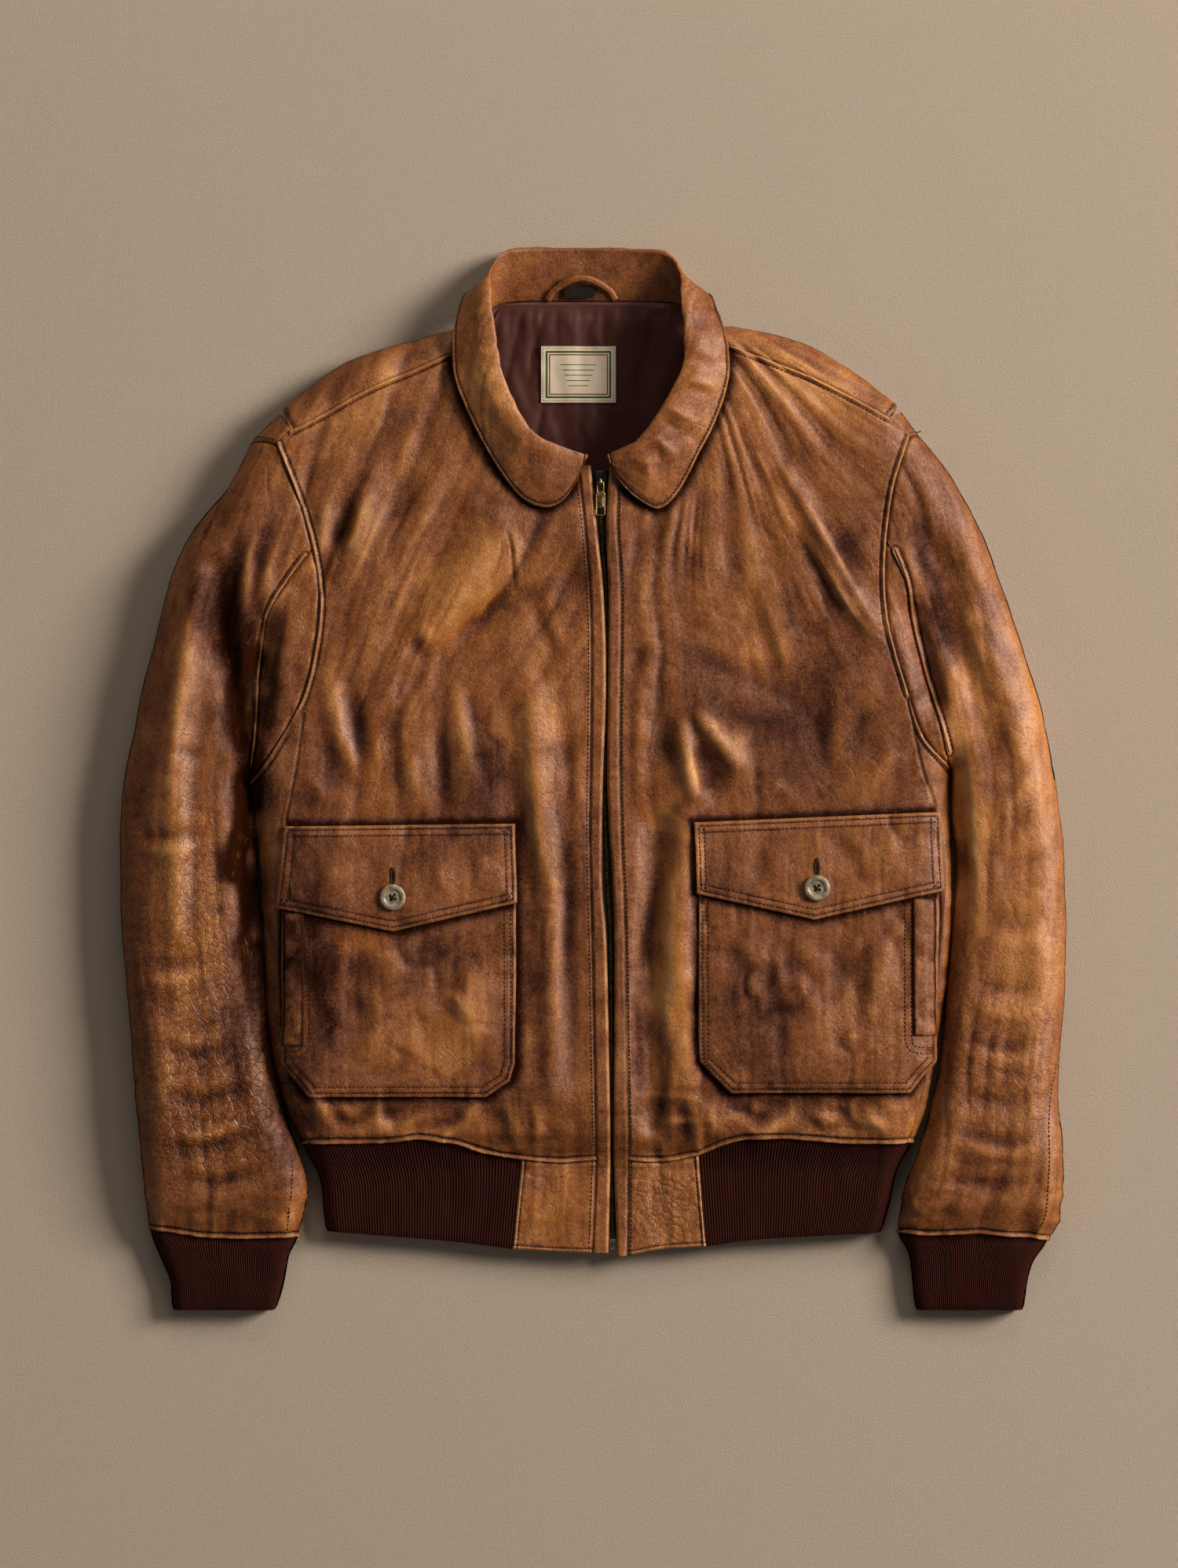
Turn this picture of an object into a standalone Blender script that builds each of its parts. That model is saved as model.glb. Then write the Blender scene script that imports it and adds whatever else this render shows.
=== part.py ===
"""A worn leather flight jacket lying flat on its back, zipped up to the collar.

Blender 4.5, metres, +Z up.  X runs across the chest, Y from the hem to the collar, and the
jacket rests on z = 0.  Every panel is its own cut piece: a thin wall on one of two skins, the
front skin (the height of the upper side over each point of the plan) and the back skin (the
side that lies on the floor), which meet along the outline.  All tables are in millimetres.
"""
import math

import bmesh
import bpy
import numpy as np
from mathutils import Vector

LEFT, RIGHT = 0, 1

# Walls and gaps
LEATHER = 2.0          # leather with its lining, one layer
KNIT = 2.6             # folded rib knit
PLEAT_DEPTH = 20.0     # how far the pleat's deeper layer reaches in under the back
PLEAT_START = -1.2     # the same at the shoulder, where the layer starts beside the fold
PLEAT_OPENS = (5, 7)   # rows from the shoulder between which the pleat opens to its depth
PLEAT_SINKS = (3, 5)   # rows between which the deeper layer goes in under the back
PLEAT_STEPS = (-1.5, -7.0)                  # columns beside the folded edge
PLEAT_SHARES = (0.35, 0.65, 0.85, 1)        # columns from there to the armhole
COLLAR_WALL = 1.4
POCKET_WALL = 1.6
FLAP_WALL = 1.8
LINING_WALL = 1.0
TAPE_WALL = 0.9
SEAM_GAP = 0.4         # between two pieces sewn edge to edge
LAY_GAP = 0.8          # between a piece and the one that it lies on

# The two skins
EDGE_SHARE = 0.40      # height of the outline, as a share of the height inside it
FRONT_ROUND = 0.72     # how far in the front skin is rounded, as a share of the height
BACK_ROUND = 0.42      # the same on the back skin
ON_LINE = 1.0          # points this near to the outline lie on it
NECK_LIFT = 2.4        # the back lies this much higher, over the folded collar
NECK_LIFT_FROM, NECK_LIFT_TO = 318.0, 350.0

# Height of the upper side: y, body, sleeve
HEIGHTS = (
    (-410, 17, 16),
    (-352, 17, 17),
    (-342, 17, 22),
    (-325, 18, 29),
    (-296, 19, 33),
    (-284, 23, 34),
    (-270, 31, 35),
    (-252, 36, 35),
    (-232, 38, 36),
    (-60, 38, 37),
    (0, 38, 38),
    (220, 38, 38),
    (300, 34, 34),
    (360, 29, 29),
)

# Largest folds of the upper side: x and y of both ends, half width, height
FOLDS = {
    "left armpit valley": (-249, 122, -254, 46, 10, -12),
    "right armpit valley": (245, 126, 262, 60, 9, -8),
    "left chest band": (-84, 194, -132, 92, 24, 4),
    "left chest hollow": (-20, 156, -134, 78, 16, -5),
    "left zip ridge": (-46, 66, -28, -236, 13, 4),
    "right zip valley": (50, -36, 46, -262, 11, -7),
    "right zip ridge": (72, -20, 68, -150, 10, 3),
    "right tent, left leg": (69, 40, 80, -10, 8, 5),
    "right tent, right leg": (86, 46, 108, 12, 9, 5),
    "right chest drag": (150, 232, 218, 112, 9, 3),
    "left chest drag": (-168, 232, -192, 160, 10, 3),
    "left sleeve ridge": (-297, 176, -318, 20, 12, 4),
    "left sleeve hollow": (-286, 160, -269, 34, 10, -6),
    "left elbow ridge": (-318, 20, -316, -110, 14, 3),
    "right sleeve hollow": (262, 170, 300, 62, 13, -4),
    "right sleeve ridge": (292, 160, 322, 20, 14, 3),
}

# Seams and outlines, a row for each station: left x, left y, right x, right y
SHOULDER_FOLD = (
    (-86, 349, 90, 350),
    (-127, 339, 122, 345),
    (-184, 321, 163, 335),
    (-219, 299, 205, 311),
    (-237, 285, 235, 287),
)
PLEAT_FOLD = (
    (-238.5, 280, 237, 281.5),
    (-247, 270, 243, 274),
    (-259, 258, 252, 263),
)
SHOULDER_SEAM = (
    (-88, 335, 94, 336),
    (-127, 317, 122, 326),
    (-173, 297, 168, 308),
    (-207, 278, 202, 291),
    (-228, 267, 227, 277),
)
SHOULDER_TIP = (
    (-228, 267, 227, 277),
    (-234, 261, 235, 270),
    (-239, 256, 243, 262),
)
SLEEVE_HEAD = (
    (-239, 256, 243, 262),
    (-249, 259, 248, 264),
    (-259, 258, 252, 263),
)
ARMHOLE = (
    (-239, 256, 243, 262),
    (-219, 203, 230, 221),
    (-208, 155, 224, 165),
    (-208, 115, 227, 120),
    (-219, 65, 240, 72),
    (-241, 24, 253, 34),
    (-261, -3, 275, 9),
)
BACK_ARMHOLE = (
    (-249, 246, 246, 250),
    (-236, 215, 240, 222),
    (-228, 160, 234, 165),
    (-229, 110, 236, 112),
    (-237, 60, 246, 66),
    (-248, 22, 261, 32),
    (-261, -3, 275, 9),
)
GUSSET_SEAM = (
    (-216, 173, 230, 178),
    (-232, 151, 240, 152),
    (-247, 124, 245, 122),
    (-253, 82, 254, 84),
    (-255, 42, 265, 48),
    (-258, 7, 273, 19),
)
SLEEVE_OUTER = (
    (-259, 258, 252, 263),
    (-276, 226, 276, 232),
    (-304, 191, 300, 188),
    (-320, 158, 316, 142),
    (-335, 104, 332, 96),
    (-346, 55, 346, 46),
    (-357, -2, 358, -18),
    (-360, -60, 362, -84),
    (-357, -130, 362, -150),
    (-350, -228, 357, -238),
    (-345, -280, 361, -275),
    (-341, -325, 360, -330),
    (-339, -343, 350, -352),
)
SLEEVE_INNER = (
    (-261, -3, 275, 9),
    (-257, -34, 275.4, -24),
    (-253.4, -88, 278, -72),
    (-249.3, -150, 274.3, -134),
    (-245.2, -204, 266.3, -208),
    (-233, -256, 257.6, -254),
    (-223, -284, 248, -284),
    (-217, -312, 237, -316),
    (-223, -349, 233, -346),
)
CUFF_SEAM = (
    (-339, -343, 350, -352),
    (-301, -349, 300, -347),
    (-262, -350, 262, -348),
    (-223, -349, 233, -346),
)
CUFF_OUTER = (
    (-339, -343, 350, -352),
    (-330, -362, 338, -368),
    (-321, -384, 333, -386),
    (-320, -405, 331, -405),
)
CUFF_INNER = (
    (-223, -349, 233, -346),
    (-231, -362, 243, -362),
    (-235, -384, 246, -384),
    (-241, -405, 248, -405),
)
BODY_EDGE = (
    (-261, -3, 275, 9),
    (-255.7, -34, 274, -24),
    (-252, -88, 276.6, -72),
    (-248, -150, 273, -134),
    (-244, -204, 265, -208),
    (-231, -256, 256, -254),
    (-221, -278, 247, -277),
)
SIDE_SEAM = (
    (-219, 50, 242, 60),
    (-225, 8, 252, 10),
    (-233, -36, 265, -26),
    (-238, -100, 270, -80),
    (-238, -154, 266, -133),
    (-235, -204, 259, -212),
    (-226, -252, 250, -256),
    (-215, -277, 241, -277),
)
BACK_SIDE = (
    (-212, -8, 224, -2),
    (-206, -90, 220, -90),
    (-200, -190, 214, -190),
    (-190, -278, 208, -278),
)
BACK_FOLD = (
    (-237, 285, 235, 287),
    (-214, 240, 218, 246),
    (-203, 170, 210, 176),
    (-202, 100, 210, 100),
    (-207, 40, 217, 44),
    (-212, -8, 224, -2),
)
WAIST_TAB_TOP = (
    (4, -290, 29, -290),
    (-25, -292, 55, -291),
    (-53, -289, 82, -286),
)
WAIST_KNIT_TOP = (
    (-53, -289, 82, -286),
    (-79, -285, 106, -277),
    (-105, -277, 130, -273),
    (-132, -274, 152, -274),
    (-160, -277, 196, -277),
    (-215, -277, 241, -277),
)
WAIST_SIDE_TOP = (
    (-215, -277, 241, -277),
    (-221, -278, 247, -277),
)
TAB_HEM = (
    (1, -361, 28, -363),
    (-28, -360, 55, -358),
    (-60, -358, 88, -356),
)
KNIT_HEM = (
    (-60, -358, 88, -356),
    (-110, -352, 126, -351),
    (-159, -348, 176, -348),
    (-197, -345, 216, -346),
)
WAIST_EDGE = (
    (-221, -278, 247, -277),
    (-207, -304, 234, -298),
    (-204, -330, 229, -322),
    (-202, -345, 222, -346),
)
BACK_NECK = (
    (-86, 349, 90, 350),
    (-77, 360, 77, 360),
    (-54, 365.5, 52, 365.5),
    (0, 366, 0, 366),
)
PLACKET_SEAM = (
    (-10, 240, 22, 240),
    (-5, 197, 20, 197),
    (0, 127, 23, 140),
    (0, 31, 22, 31),
    (-1, -40, 23, -40),
    (1, -128, 26, -118),
    (4, -290, 29, -290),
)
PLACKET_EDGE = (
    (0, 240, 14, 240),
    (4.5, 193, 11.5, 193),
    (10, 136, 13.5, 140),
    (11.5, 70, 13.2, 70),
    (9, -7, 12.5, -7),
    (8.5, -78, 16.5, -78),
    (12, -128, 18, -128),
    (14.5, -247, 17.5, -247),
    (15, -290, 17.5, -290),
)
TAB_EDGE = (
    (15, -290, 17.5, -290),
    (13.5, -361, 20, -364),
)
TAB_SEAM = (
    (4, -290, 29, -290),
    (1, -361, 28, -363),
)

# Folded collar, a row for each station from the front end to the middle of the back:
# neck seam x, y, z; roll crest x, y, z; height of the leaf's bend; leaf edge x, y, z
COLLAR_LEFT = (
    (-8, 241, 36, -3, 247, 41.5, 44.5, -4.5, 241.5, 43),
    (-15, 243, 36, -9, 250, 44, 46, -12, 226, 41),
    (-24, 247, 36, -20, 254, 46.5, 49, -23, 212, 41),
    (-33, 251, 36, -32, 258, 48, 51, -37, 208, 41),
    (-46, 259, 36, -43, 265, 49, 52, -54, 216, 41),
    (-60, 272, 35.5, -54, 278, 49, 53, -71, 238, 41),
    (-73, 290, 34, -62, 295, 49, 53, -90, 272, 40.5),
    (-82, 312, 32, -69, 316, 49, 53, -104, 307, 39),
    (-84, 332, 27, -73, 341, 47, 51, -106, 334, 36),
    (-82, 350, 17, -76, 369, 39, 43, -103, 356, 26),
    (-76, 361.5, 8, -76, 388, 27, 28, -95, 372, 12),
    (-64, 366, 5.4, -66, 402, 17, 2, -78, 360, 0),
    (-40, 367, 5.2, -40, 404.5, 12, 0.6, -52, 350, 0),
    (0, 367, 5.2, 0, 405, 11, 0, 0, 346, 0),
)
COLLAR_RIGHT = (
    (20, 241, 36, 13, 247, 41.5, 44.5, 14.5, 241, 43),
    (26, 243, 36, 19, 250, 44, 46, 22, 228, 41),
    (34, 247, 36, 27, 254, 46.5, 49, 36, 214, 41),
    (42, 253, 36, 35, 258, 48, 51, 52, 207, 41),
    (54, 262, 36, 45, 270, 49, 52, 67, 220, 41),
    (66, 274, 35.5, 54, 284, 49, 53, 83, 250, 41),
    (79, 290, 34, 63, 300, 49, 53, 96, 276, 40.5),
    (88, 312, 32, 71, 319, 49, 53, 105, 305, 39),
    (89, 333, 27, 71, 345, 47, 51, 105, 332, 36),
    (84, 350, 17, 68, 369, 39, 43, 99, 354, 26),
    (76, 361.5, 8, 68, 386, 27, 30, 91, 372, 13),
    (62, 366, 5.4, 59, 400, 16.5, 1, 72, 359, 0),
    (38, 367, 5.2, 34, 404, 12, 0.6, 46, 350, 0),
)
NECK_CLEAR = 1.5           # between the stand and the fronts, in plan
ROLL_OVER = 5.0            # how far the leaf's first bend stands beyond the roll crest
BEND_ASIDE = 10.0          # how far its second bend lies towards the leaf's edge
LONG_RUN = 0.07            # stations further apart than this share get one more between them
BEND_SHARE = 0.18          # the bend takes this share of the leaf below the roll
STAND_ROWS = (0, 0.4, 0.75, 1)
LEAF_BEND_ROWS = (0.25, 0.5, 0.75, 1)
LEAF_FALL_ROWS = (0.5, 1)

# Patch pockets: y, left edge, right edge, top row to bottom row
POCKET_LEFT = (
    (-46, -233, -58),
    (-95, -234, -57),
    (-150, -235, -57),
    (-200, -234, -58),
    (-216, -234, -58),
    (-229, -224, -62),
    (-241, -214, -80),
)
POCKET_RIGHT = (
    (-40, 81, 264),
    (-95, 82, 264),
    (-150, 82, 263),
    (-196, 82, 262),
    (-214, 83, 262),
    (-226, 94, 252),
    (-238, 107, 243),
)
# Flaps: top inner and outer corner, bottom outer corner, point, bottom inner corner
FLAP_LEFT = ((-58, -33), (-233, -35), (-238, -97), (-151, -115), (-56, -93))
FLAP_RIGHT = ((78, -32), (265, -24), (267, -84), (170, -106), (80, -86))
FLAP_FOLD = 0.9            # where the flap bends down to its sewn edge, as a share of its height
FLAP_SEWN_LIFT = 0.3       # its sewn edge lies this much above the front's lay gap
FLAP_COLUMNS = (0, 0.03, 0.07, 0.13, 0.24, 0.5, 0.74, 0.9, 1)
POCKET_COLUMNS = (0, 0.03, 0.07, 0.12, 0.2, 0.4, 0.7, 0.92, 1)
POCKET_LIFT = POCKET_WALL + LAY_GAP + 0.2
WELT_WALL = 1.4
WELT_LEFT = (-219, -233, -101, -202)      # inner x, outer x, top y, bottom y
WELT_RIGHT = (244.5, 261, -90, -194)
BUTTON_LEFT = (-151, -89)
BUTTON_RIGHT = (172, -82)
BUTTON_RADIUS, BUTTON_THICK = 10.0, 3.4

# Zip
CHAIN_WIDTH, CHAIN_THICK, CHAIN_DEPTH = 4.2, 2.0, 2.9
TAPE_WIDTH = 10.0
ZIP_TOP, ZIP_BOTTOM = 236.0, -350.0
SLIDER_Y, SLIDER_WIDTH, SLIDER_LENGTH, SLIDER_THICK = 230.0, 8.6, 12.0, 3.0
SLIDER_RAISE = 0.6         # top of the slider over the skin
PIN_Y = 227.5
BRIDGE_GAP, BRIDGE_HEIGHT, BRIDGE_BAR, BRIDGE_WIDTH = 3.4, 2.4, 1.2, 2.2
PIN_HEIGHT = 1.2           # hinge axis over the slider
PULL_WIDTH, PULL_LENGTH, PULL_THICK = 7.6, 27.0, 1.4
EYE_WIDTH, EYE_LENGTH, EYE_BAR = 3.4, 7.0, 1.2
BOX_WIDTH, BOX_LENGTH, BOX_THICK, BOX_DEPTH = 4.4, 8.0, 4.0, 0.6

# Inside the neck
LINING_HEIGHTS = (150, 200, 240, 278, 300, 318, 326, 334, 342, 350, 364)
LINING_HALVES = (104.0, 72.0, 56.0)      # half widths at the bottom, below the neck, at the top
LABEL = (-38, 19, 289, 332)              # left, right, bottom, top
LABEL_WALL = 0.7
SIZE_TAG = (-20, 2, 369, 378)
LOOP_FEET, LOOP_FOOT_Y, LOOP_CREST, LOOP_WIDTH = (-33.0, 19.0), 371.0, 13.0, 5.0
LOOP_WALL, LOOP_LIFT = 1.4, 3.0
SNAP_X, SNAP_Y = (-33.0, 37.0), 256.0
SNAP_RADIUS, SNAP_THICK, SNAP_GAP = 4.2, 2.4, 0.7

COLOURS = {   # red, green, blue, roughness, metallic
    "leather": (0.22, 0.085, 0.030, 0.52, 0.0),
    "leather_trim": (0.19, 0.070, 0.025, 0.50, 0.0),
    "knit": (0.045, 0.012, 0.007, 0.95, 0.0),
    "satin": (0.14, 0.040, 0.026, 0.45, 0.0),
    "label": (0.62, 0.55, 0.40, 0.85, 0.0),
    "tape": (0.06, 0.028, 0.018, 0.9, 0.0),
    "brass": (0.42, 0.30, 0.14, 0.38, 1.0),
    "horn": (0.30, 0.24, 0.16, 0.35, 0.0),
    "snap": (0.03, 0.028, 0.026, 0.35, 0.6),
}


# ---------------------------------------------------------------- curves and patches

def station_line(table, side):
    """The plan points of one side from a table of stations."""
    rows = np.array(table, dtype=float)
    return rows[:, 0:2] if side == LEFT else rows[:, 2:4]


def smooth_line(points, shares):
    """Points at shares of the length of a smooth curve through the given points."""
    points = np.asarray(points, dtype=float)
    if len(points) == 2:
        fine = points[0] + np.linspace(0, 1, 24)[:, None] * (points[1] - points[0])
    else:
        steps = np.linspace(0, 1, 12, endpoint=False)[:, None]
        before = np.vstack([2 * points[0] - points[1], points[:-2]])
        after = np.vstack([points[2:], 2 * points[-1] - points[-2]])
        start, end = points[:-1], points[1:]
        runs = []
        for p, a, b, q in zip(before, start, end, after):
            runs.append(a + 0.5 * steps * (b - p)
                        + steps ** 2 * (p - 2.5 * a + 2 * b - 0.5 * q)
                        + steps ** 3 * (1.5 * a - 0.5 * p - 1.5 * b + 0.5 * q))
        fine = np.vstack(runs + [points[-1:]])
    reach = np.concatenate([[0], np.cumsum(np.linalg.norm(np.diff(fine, axis=0), axis=1))])
    shares = np.asarray(shares, dtype=float) * reach[-1]
    return np.stack([np.interp(shares, reach, fine[:, k]) for k in range(fine.shape[1])], axis=1)


def straight_line(points, shares):
    """Points at shares of the length of a line of straight runs."""
    points = np.asarray(points, dtype=float)
    return np.stack([np.interp(shares, share_of(points), points[:, k])
                     for k in range(points.shape[1])], axis=1)


def even(count):
    return np.linspace(0, 1, count + 1)


def closing(count, power=1.6):
    """Shares that lie closer together towards 1."""
    return 1 - (1 - even(count)) ** power



def seam(table, side, shares):
    return smooth_line(station_line(table, side), shares)


def patch(bottom, top, start, end):
    """Coons patch between four lines: rows run from bottom to top, columns from start to end."""
    v = 0.5 * (share_of(start) + share_of(end))[:, None, None]
    u = 0.5 * (share_of(bottom) + share_of(top))[None, :, None]
    across = (1 - u) * start[:, None] + u * end[:, None]
    along = (1 - v) * bottom[None, :] + v * top[None, :]
    corners = ((1 - u) * (1 - v) * bottom[0] + u * (1 - v) * bottom[-1]
               + (1 - u) * v * top[0] + u * v * top[-1])
    return across + along - corners


def share_of(line):
    """Share of the length at each point of a line."""
    steps = np.linalg.norm(np.diff(line, axis=0), axis=1)
    reach = np.concatenate([[0], np.cumsum(steps)])
    return reach / reach[-1]


def nearest_on_line(points, line):
    """Distance in plan to a line of straight runs, and the direction towards it."""
    best = np.full(points.shape[:-1], 1e9)
    toward = np.zeros(points.shape)
    for a, b in zip(line[:-1], line[1:]):
        run = b - a
        length = float(np.linalg.norm(run))
        if length < 1e-6:
            continue
        t = np.clip(((points - a) @ run) / length ** 2, 0, 1)
        gap = a + t[..., None] * run - points
        away = np.linalg.norm(gap, axis=-1)
        across = np.array((run[1], -run[0])) / length
        step = np.where(away[..., None] > ON_LINE, gap / np.maximum(away, 1e-9)[..., None], across)
        closer = away < best
        toward[closer] = step[closer]
        best = np.minimum(best, away)
    return best, toward


# ---------------------------------------------------------------- the two skins

def outlines(kind, side):
    """The lines that bound the body or a sleeve, each running with the outside on its right."""
    over = np.vstack([seam(SHOULDER_FOLD, side, even(24)), seam(PLEAT_FOLD, side, even(6)),
                      seam(SLEEVE_OUTER, side, even(60)), seam(CUFF_OUTER, side, even(8))])
    if kind == "sleeve":
        under = np.vstack([seam(SLEEVE_INNER, side, even(40)), seam(CUFF_INNER, side, even(8))])
        under = under[::-1]
    else:
        under = np.vstack([seam(BODY_EDGE, side, even(40)), seam(WAIST_EDGE, side, even(10))])
    return [over, under] if side == LEFT else [over[::-1], under[::-1]]


OUTLINES = {kind: outlines(kind, LEFT) + outlines(kind, RIGHT) for kind in ("body", "sleeve")}


def open_height(plan, kind):
    """Height of the upper side away from the outline, with its large folds."""
    table = np.array(HEIGHTS, dtype=float)
    total = np.interp(plan[..., 1], table[:, 0], table[:, 1 if kind == "body" else 2])
    for x1, y1, x2, y2, half, rise in FOLDS.values():
        away, _ = nearest_on_line(plan, np.array([(x1, y1), (x2, y2)], dtype=float))
        total = total + rise * np.exp(-(away / half) ** 2)
    return total


def skin(plan, kind="body", face="front"):
    """Points of a skin over plan points, and its normals there, which point outwards."""
    table = np.array(HEIGHTS, dtype=float)
    height = np.interp(plan[..., 1], table[:, 0], table[:, 1 if kind == "body" else 2])
    edge = EDGE_SHARE * height
    away = np.full(plan.shape[:-1], 1e9)
    outward = np.zeros(plan.shape)
    for line in OUTLINES[kind]:
        gap, toward = nearest_on_line(plan, line)
        closer = gap < away
        outward[closer] = toward[closer]
        away = np.minimum(away, gap)
    away = np.where(away < ON_LINE, 0, away)
    reach = (FRONT_ROUND if face == "front" else BACK_ROUND) * height
    share = np.clip(away / reach, 0, 1)
    bow = np.sqrt(1 - (1 - share) ** 2)
    lean = ((1 - share) / reach)[..., None] * outward
    if face == "front":
        top = open_height(plan, kind)
        level = edge + (top - edge) * bow
        slope = [(open_height(plan + step, kind) - open_height(plan - step, kind)) / 2
                 for step in (np.array((1.0, 0)), np.array((0, 1.0)))]
        rise = bow / (top - edge)
        lean = lean - (rise * bow)[..., None] * np.stack(slope, axis=-1)
    else:
        level = edge * (1 - bow)
        rise = -bow / edge
        if kind == "body":
            step = np.clip((plan[..., 1] - NECK_LIFT_FROM) / (NECK_LIFT_TO - NECK_LIFT_FROM), 0, 1)
            level = np.maximum(level, NECK_LIFT * step * step * (3 - 2 * step))
    normals = np.concatenate([lean, rise[..., None]], axis=-1)
    normals /= np.linalg.norm(normals, axis=-1, keepdims=True)
    return np.concatenate([plan, level[..., None]], axis=-1), normals


def skin_height(x, y, kind="body"):
    return float(skin(np.array([[x, y]], dtype=float), kind)[0][0, 2])


# ---------------------------------------------------------------- building objects

def material(name):
    known = bpy.data.materials.get(name)
    if known:
        return known
    red, green, blue, roughness, metallic = COLOURS[name]
    made = bpy.data.materials.new(name)
    made.use_nodes = True
    shader = made.node_tree.nodes["Principled BSDF"]
    shader.inputs["Base Color"].default_value = (red, green, blue, 1)
    shader.inputs["Roughness"].default_value = roughness
    shader.inputs["Metallic"].default_value = metallic
    made.diffuse_color = (red, green, blue, 1)
    return made


def parts_collection():
    known = bpy.data.collections.get("leather_jacket")
    if known is None:
        known = bpy.data.collections.new("leather_jacket")
        bpy.context.scene.collection.children.link(known)
    return known


def place(name, mesh, colour):
    thing = bpy.data.objects.new(name, mesh)
    mesh.materials.append(material(colour))
    parts_collection().objects.link(thing)
    return thing


def inset(grid, sides):
    """Moves the named edges of a grid in by half a seam gap, along its own lines."""
    grid = grid.copy()
    moves = {"start": (np.s_[:, 0], np.s_[:, 1]), "end": (np.s_[:, -1], np.s_[:, -2]),
             "bottom": (np.s_[0], np.s_[1]), "top": (np.s_[-1], np.s_[-2])}
    for side in sides.split():
        edge, inner = moves[side]
        step = grid[inner] - grid[edge]
        length = np.maximum(np.linalg.norm(step, axis=-1, keepdims=True), 1e-6)
        grid[edge] += step / length * np.minimum(0.5 * SEAM_GAP, 0.4 * length)
    return grid


def grid_faces(rows, columns, first, flip):
    faces = []
    for r in range(rows - 1):
        for c in range(columns - 1):
            corner = first + r * columns + c
            face = (corner, corner + 1, corner + columns + 1, corner + columns)
            faces.append(face[::-1] if flip else face)
    return faces


def welded(points, faces):
    """Index of the first vertex at each place, and the faces through those."""
    keys, first, use = {}, [], []
    for index, point in enumerate(points):
        key = tuple(np.round(point * 500).astype(int))
        if key not in keys:
            keys[key] = len(first)
            first.append(index)
        use.append(keys[key])
    kept = []
    for face in faces:
        corners = []
        for index in face:
            if use[index] not in corners:
                corners.append(use[index])
        if len(corners) > 2:
            kept.append(tuple(corners))
    return first, kept


def rim_faces(a, b, count, points):
    """The two triangles that close a wall along its open edge. The diagonal depends only on
    the place, so that two pieces sewn together are cut alike."""
    order_a, order_b = (points[k, 1] + 0.37 * points[k, 0] for k in (a, b))
    if order_a < order_b:
        return [(b, a, b + count), (a, a + count, b + count)]
    return [(b, a, a + count), (b, a + count, b + count)]


def shell(name, grids, wall, colour, side=LEFT, lift=0.0):
    """A wall on grids of skin points: its outer side is moved out by lift along the normals."""
    points, normals, faces = [], [], []
    for grid, normal in grids:
        rows, columns = grid.shape[:2]
        faces += grid_faces(rows, columns, sum(len(p) for p in points), side == RIGHT)
        points.append(grid.reshape(-1, 3))
        normals.append(normal.reshape(-1, 3))
    points, normals = np.vstack(points), np.vstack(normals)
    first, faces = welded(points, faces)
    points, normals = points[first], normals[first]
    outer = points + normals * np.broadcast_to(lift, (len(points),))[:, None]
    inner = outer - normals * wall
    count = len(outer)
    runs = {}
    for face in faces:
        for a, b in zip(face, face[1:] + face[:1]):
            runs[(a, b)] = True
    rims = []
    for a, b in runs:
        if (b, a) not in runs:
            rims += rim_faces(a, b, count, points)
    backs = [tuple(index + count for index in face[::-1]) for face in faces]
    mesh = bpy.data.meshes.new(name)
    mesh.from_pydata((np.vstack([outer, inner]) * 0.001).tolist(), [], faces + backs + rims)
    mesh.shade_smooth()
    mesh.set_sharp_from_angle(angle=math.radians(50))
    return place(name, mesh, colour)


def cloth(name, grid, wall, colour, even_wall=True):
    """A free strip or sheet of cloth on a grid of points, its wall on the inner side."""
    rows, columns = grid.shape[:2]
    mesh = bpy.data.meshes.new(name)
    first, faces = welded(grid.reshape(-1, 3), grid_faces(rows, columns, 0, False))
    mesh.from_pydata((grid.reshape(-1, 3)[first] * 0.001).tolist(), [], faces)
    mesh.shade_smooth()
    thing = place(name, mesh, colour)
    thick = thing.modifiers.new("wall", "SOLIDIFY")
    thick.thickness = wall * 0.001
    thick.offset = -1
    thick.use_even_offset = even_wall
    return thing


def block(name, centre, size, colour, bevel=0.0):
    """A box, its edges rounded where bevel is given; sizes and places in millimetres."""
    form = bmesh.new()
    bmesh.ops.create_cube(form, size=1)
    for corner in form.verts:
        corner.co = [corner.co[k] * size[k] * 0.001 for k in range(3)]
    mesh = bpy.data.meshes.new(name)
    form.to_mesh(mesh)
    form.free()
    thing = place(name, mesh, colour)
    thing.location = [value * 0.001 for value in centre]
    if bevel:
        round_off = thing.modifiers.new("edges", "BEVEL")
        round_off.width = bevel * 0.001
        round_off.segments = 2
    return thing


def disc(name, centre, radius, thick, colour, segments=24, bevel=0.6):
    form = bmesh.new()
    bmesh.ops.create_cone(form, cap_ends=True, segments=segments, radius1=radius * 0.001,
                          radius2=radius * 0.001, depth=thick * 0.001)
    mesh = bpy.data.meshes.new(name)
    form.to_mesh(mesh)
    form.free()
    thing = place(name, mesh, colour)
    thing.location = [value * 0.001 for value in centre]
    round_off = thing.modifiers.new("edges", "BEVEL")
    round_off.width = bevel * 0.001
    round_off.segments = 2
    round_off.limit_method = "ANGLE"
    return thing


# ---------------------------------------------------------------- shared seams

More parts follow.
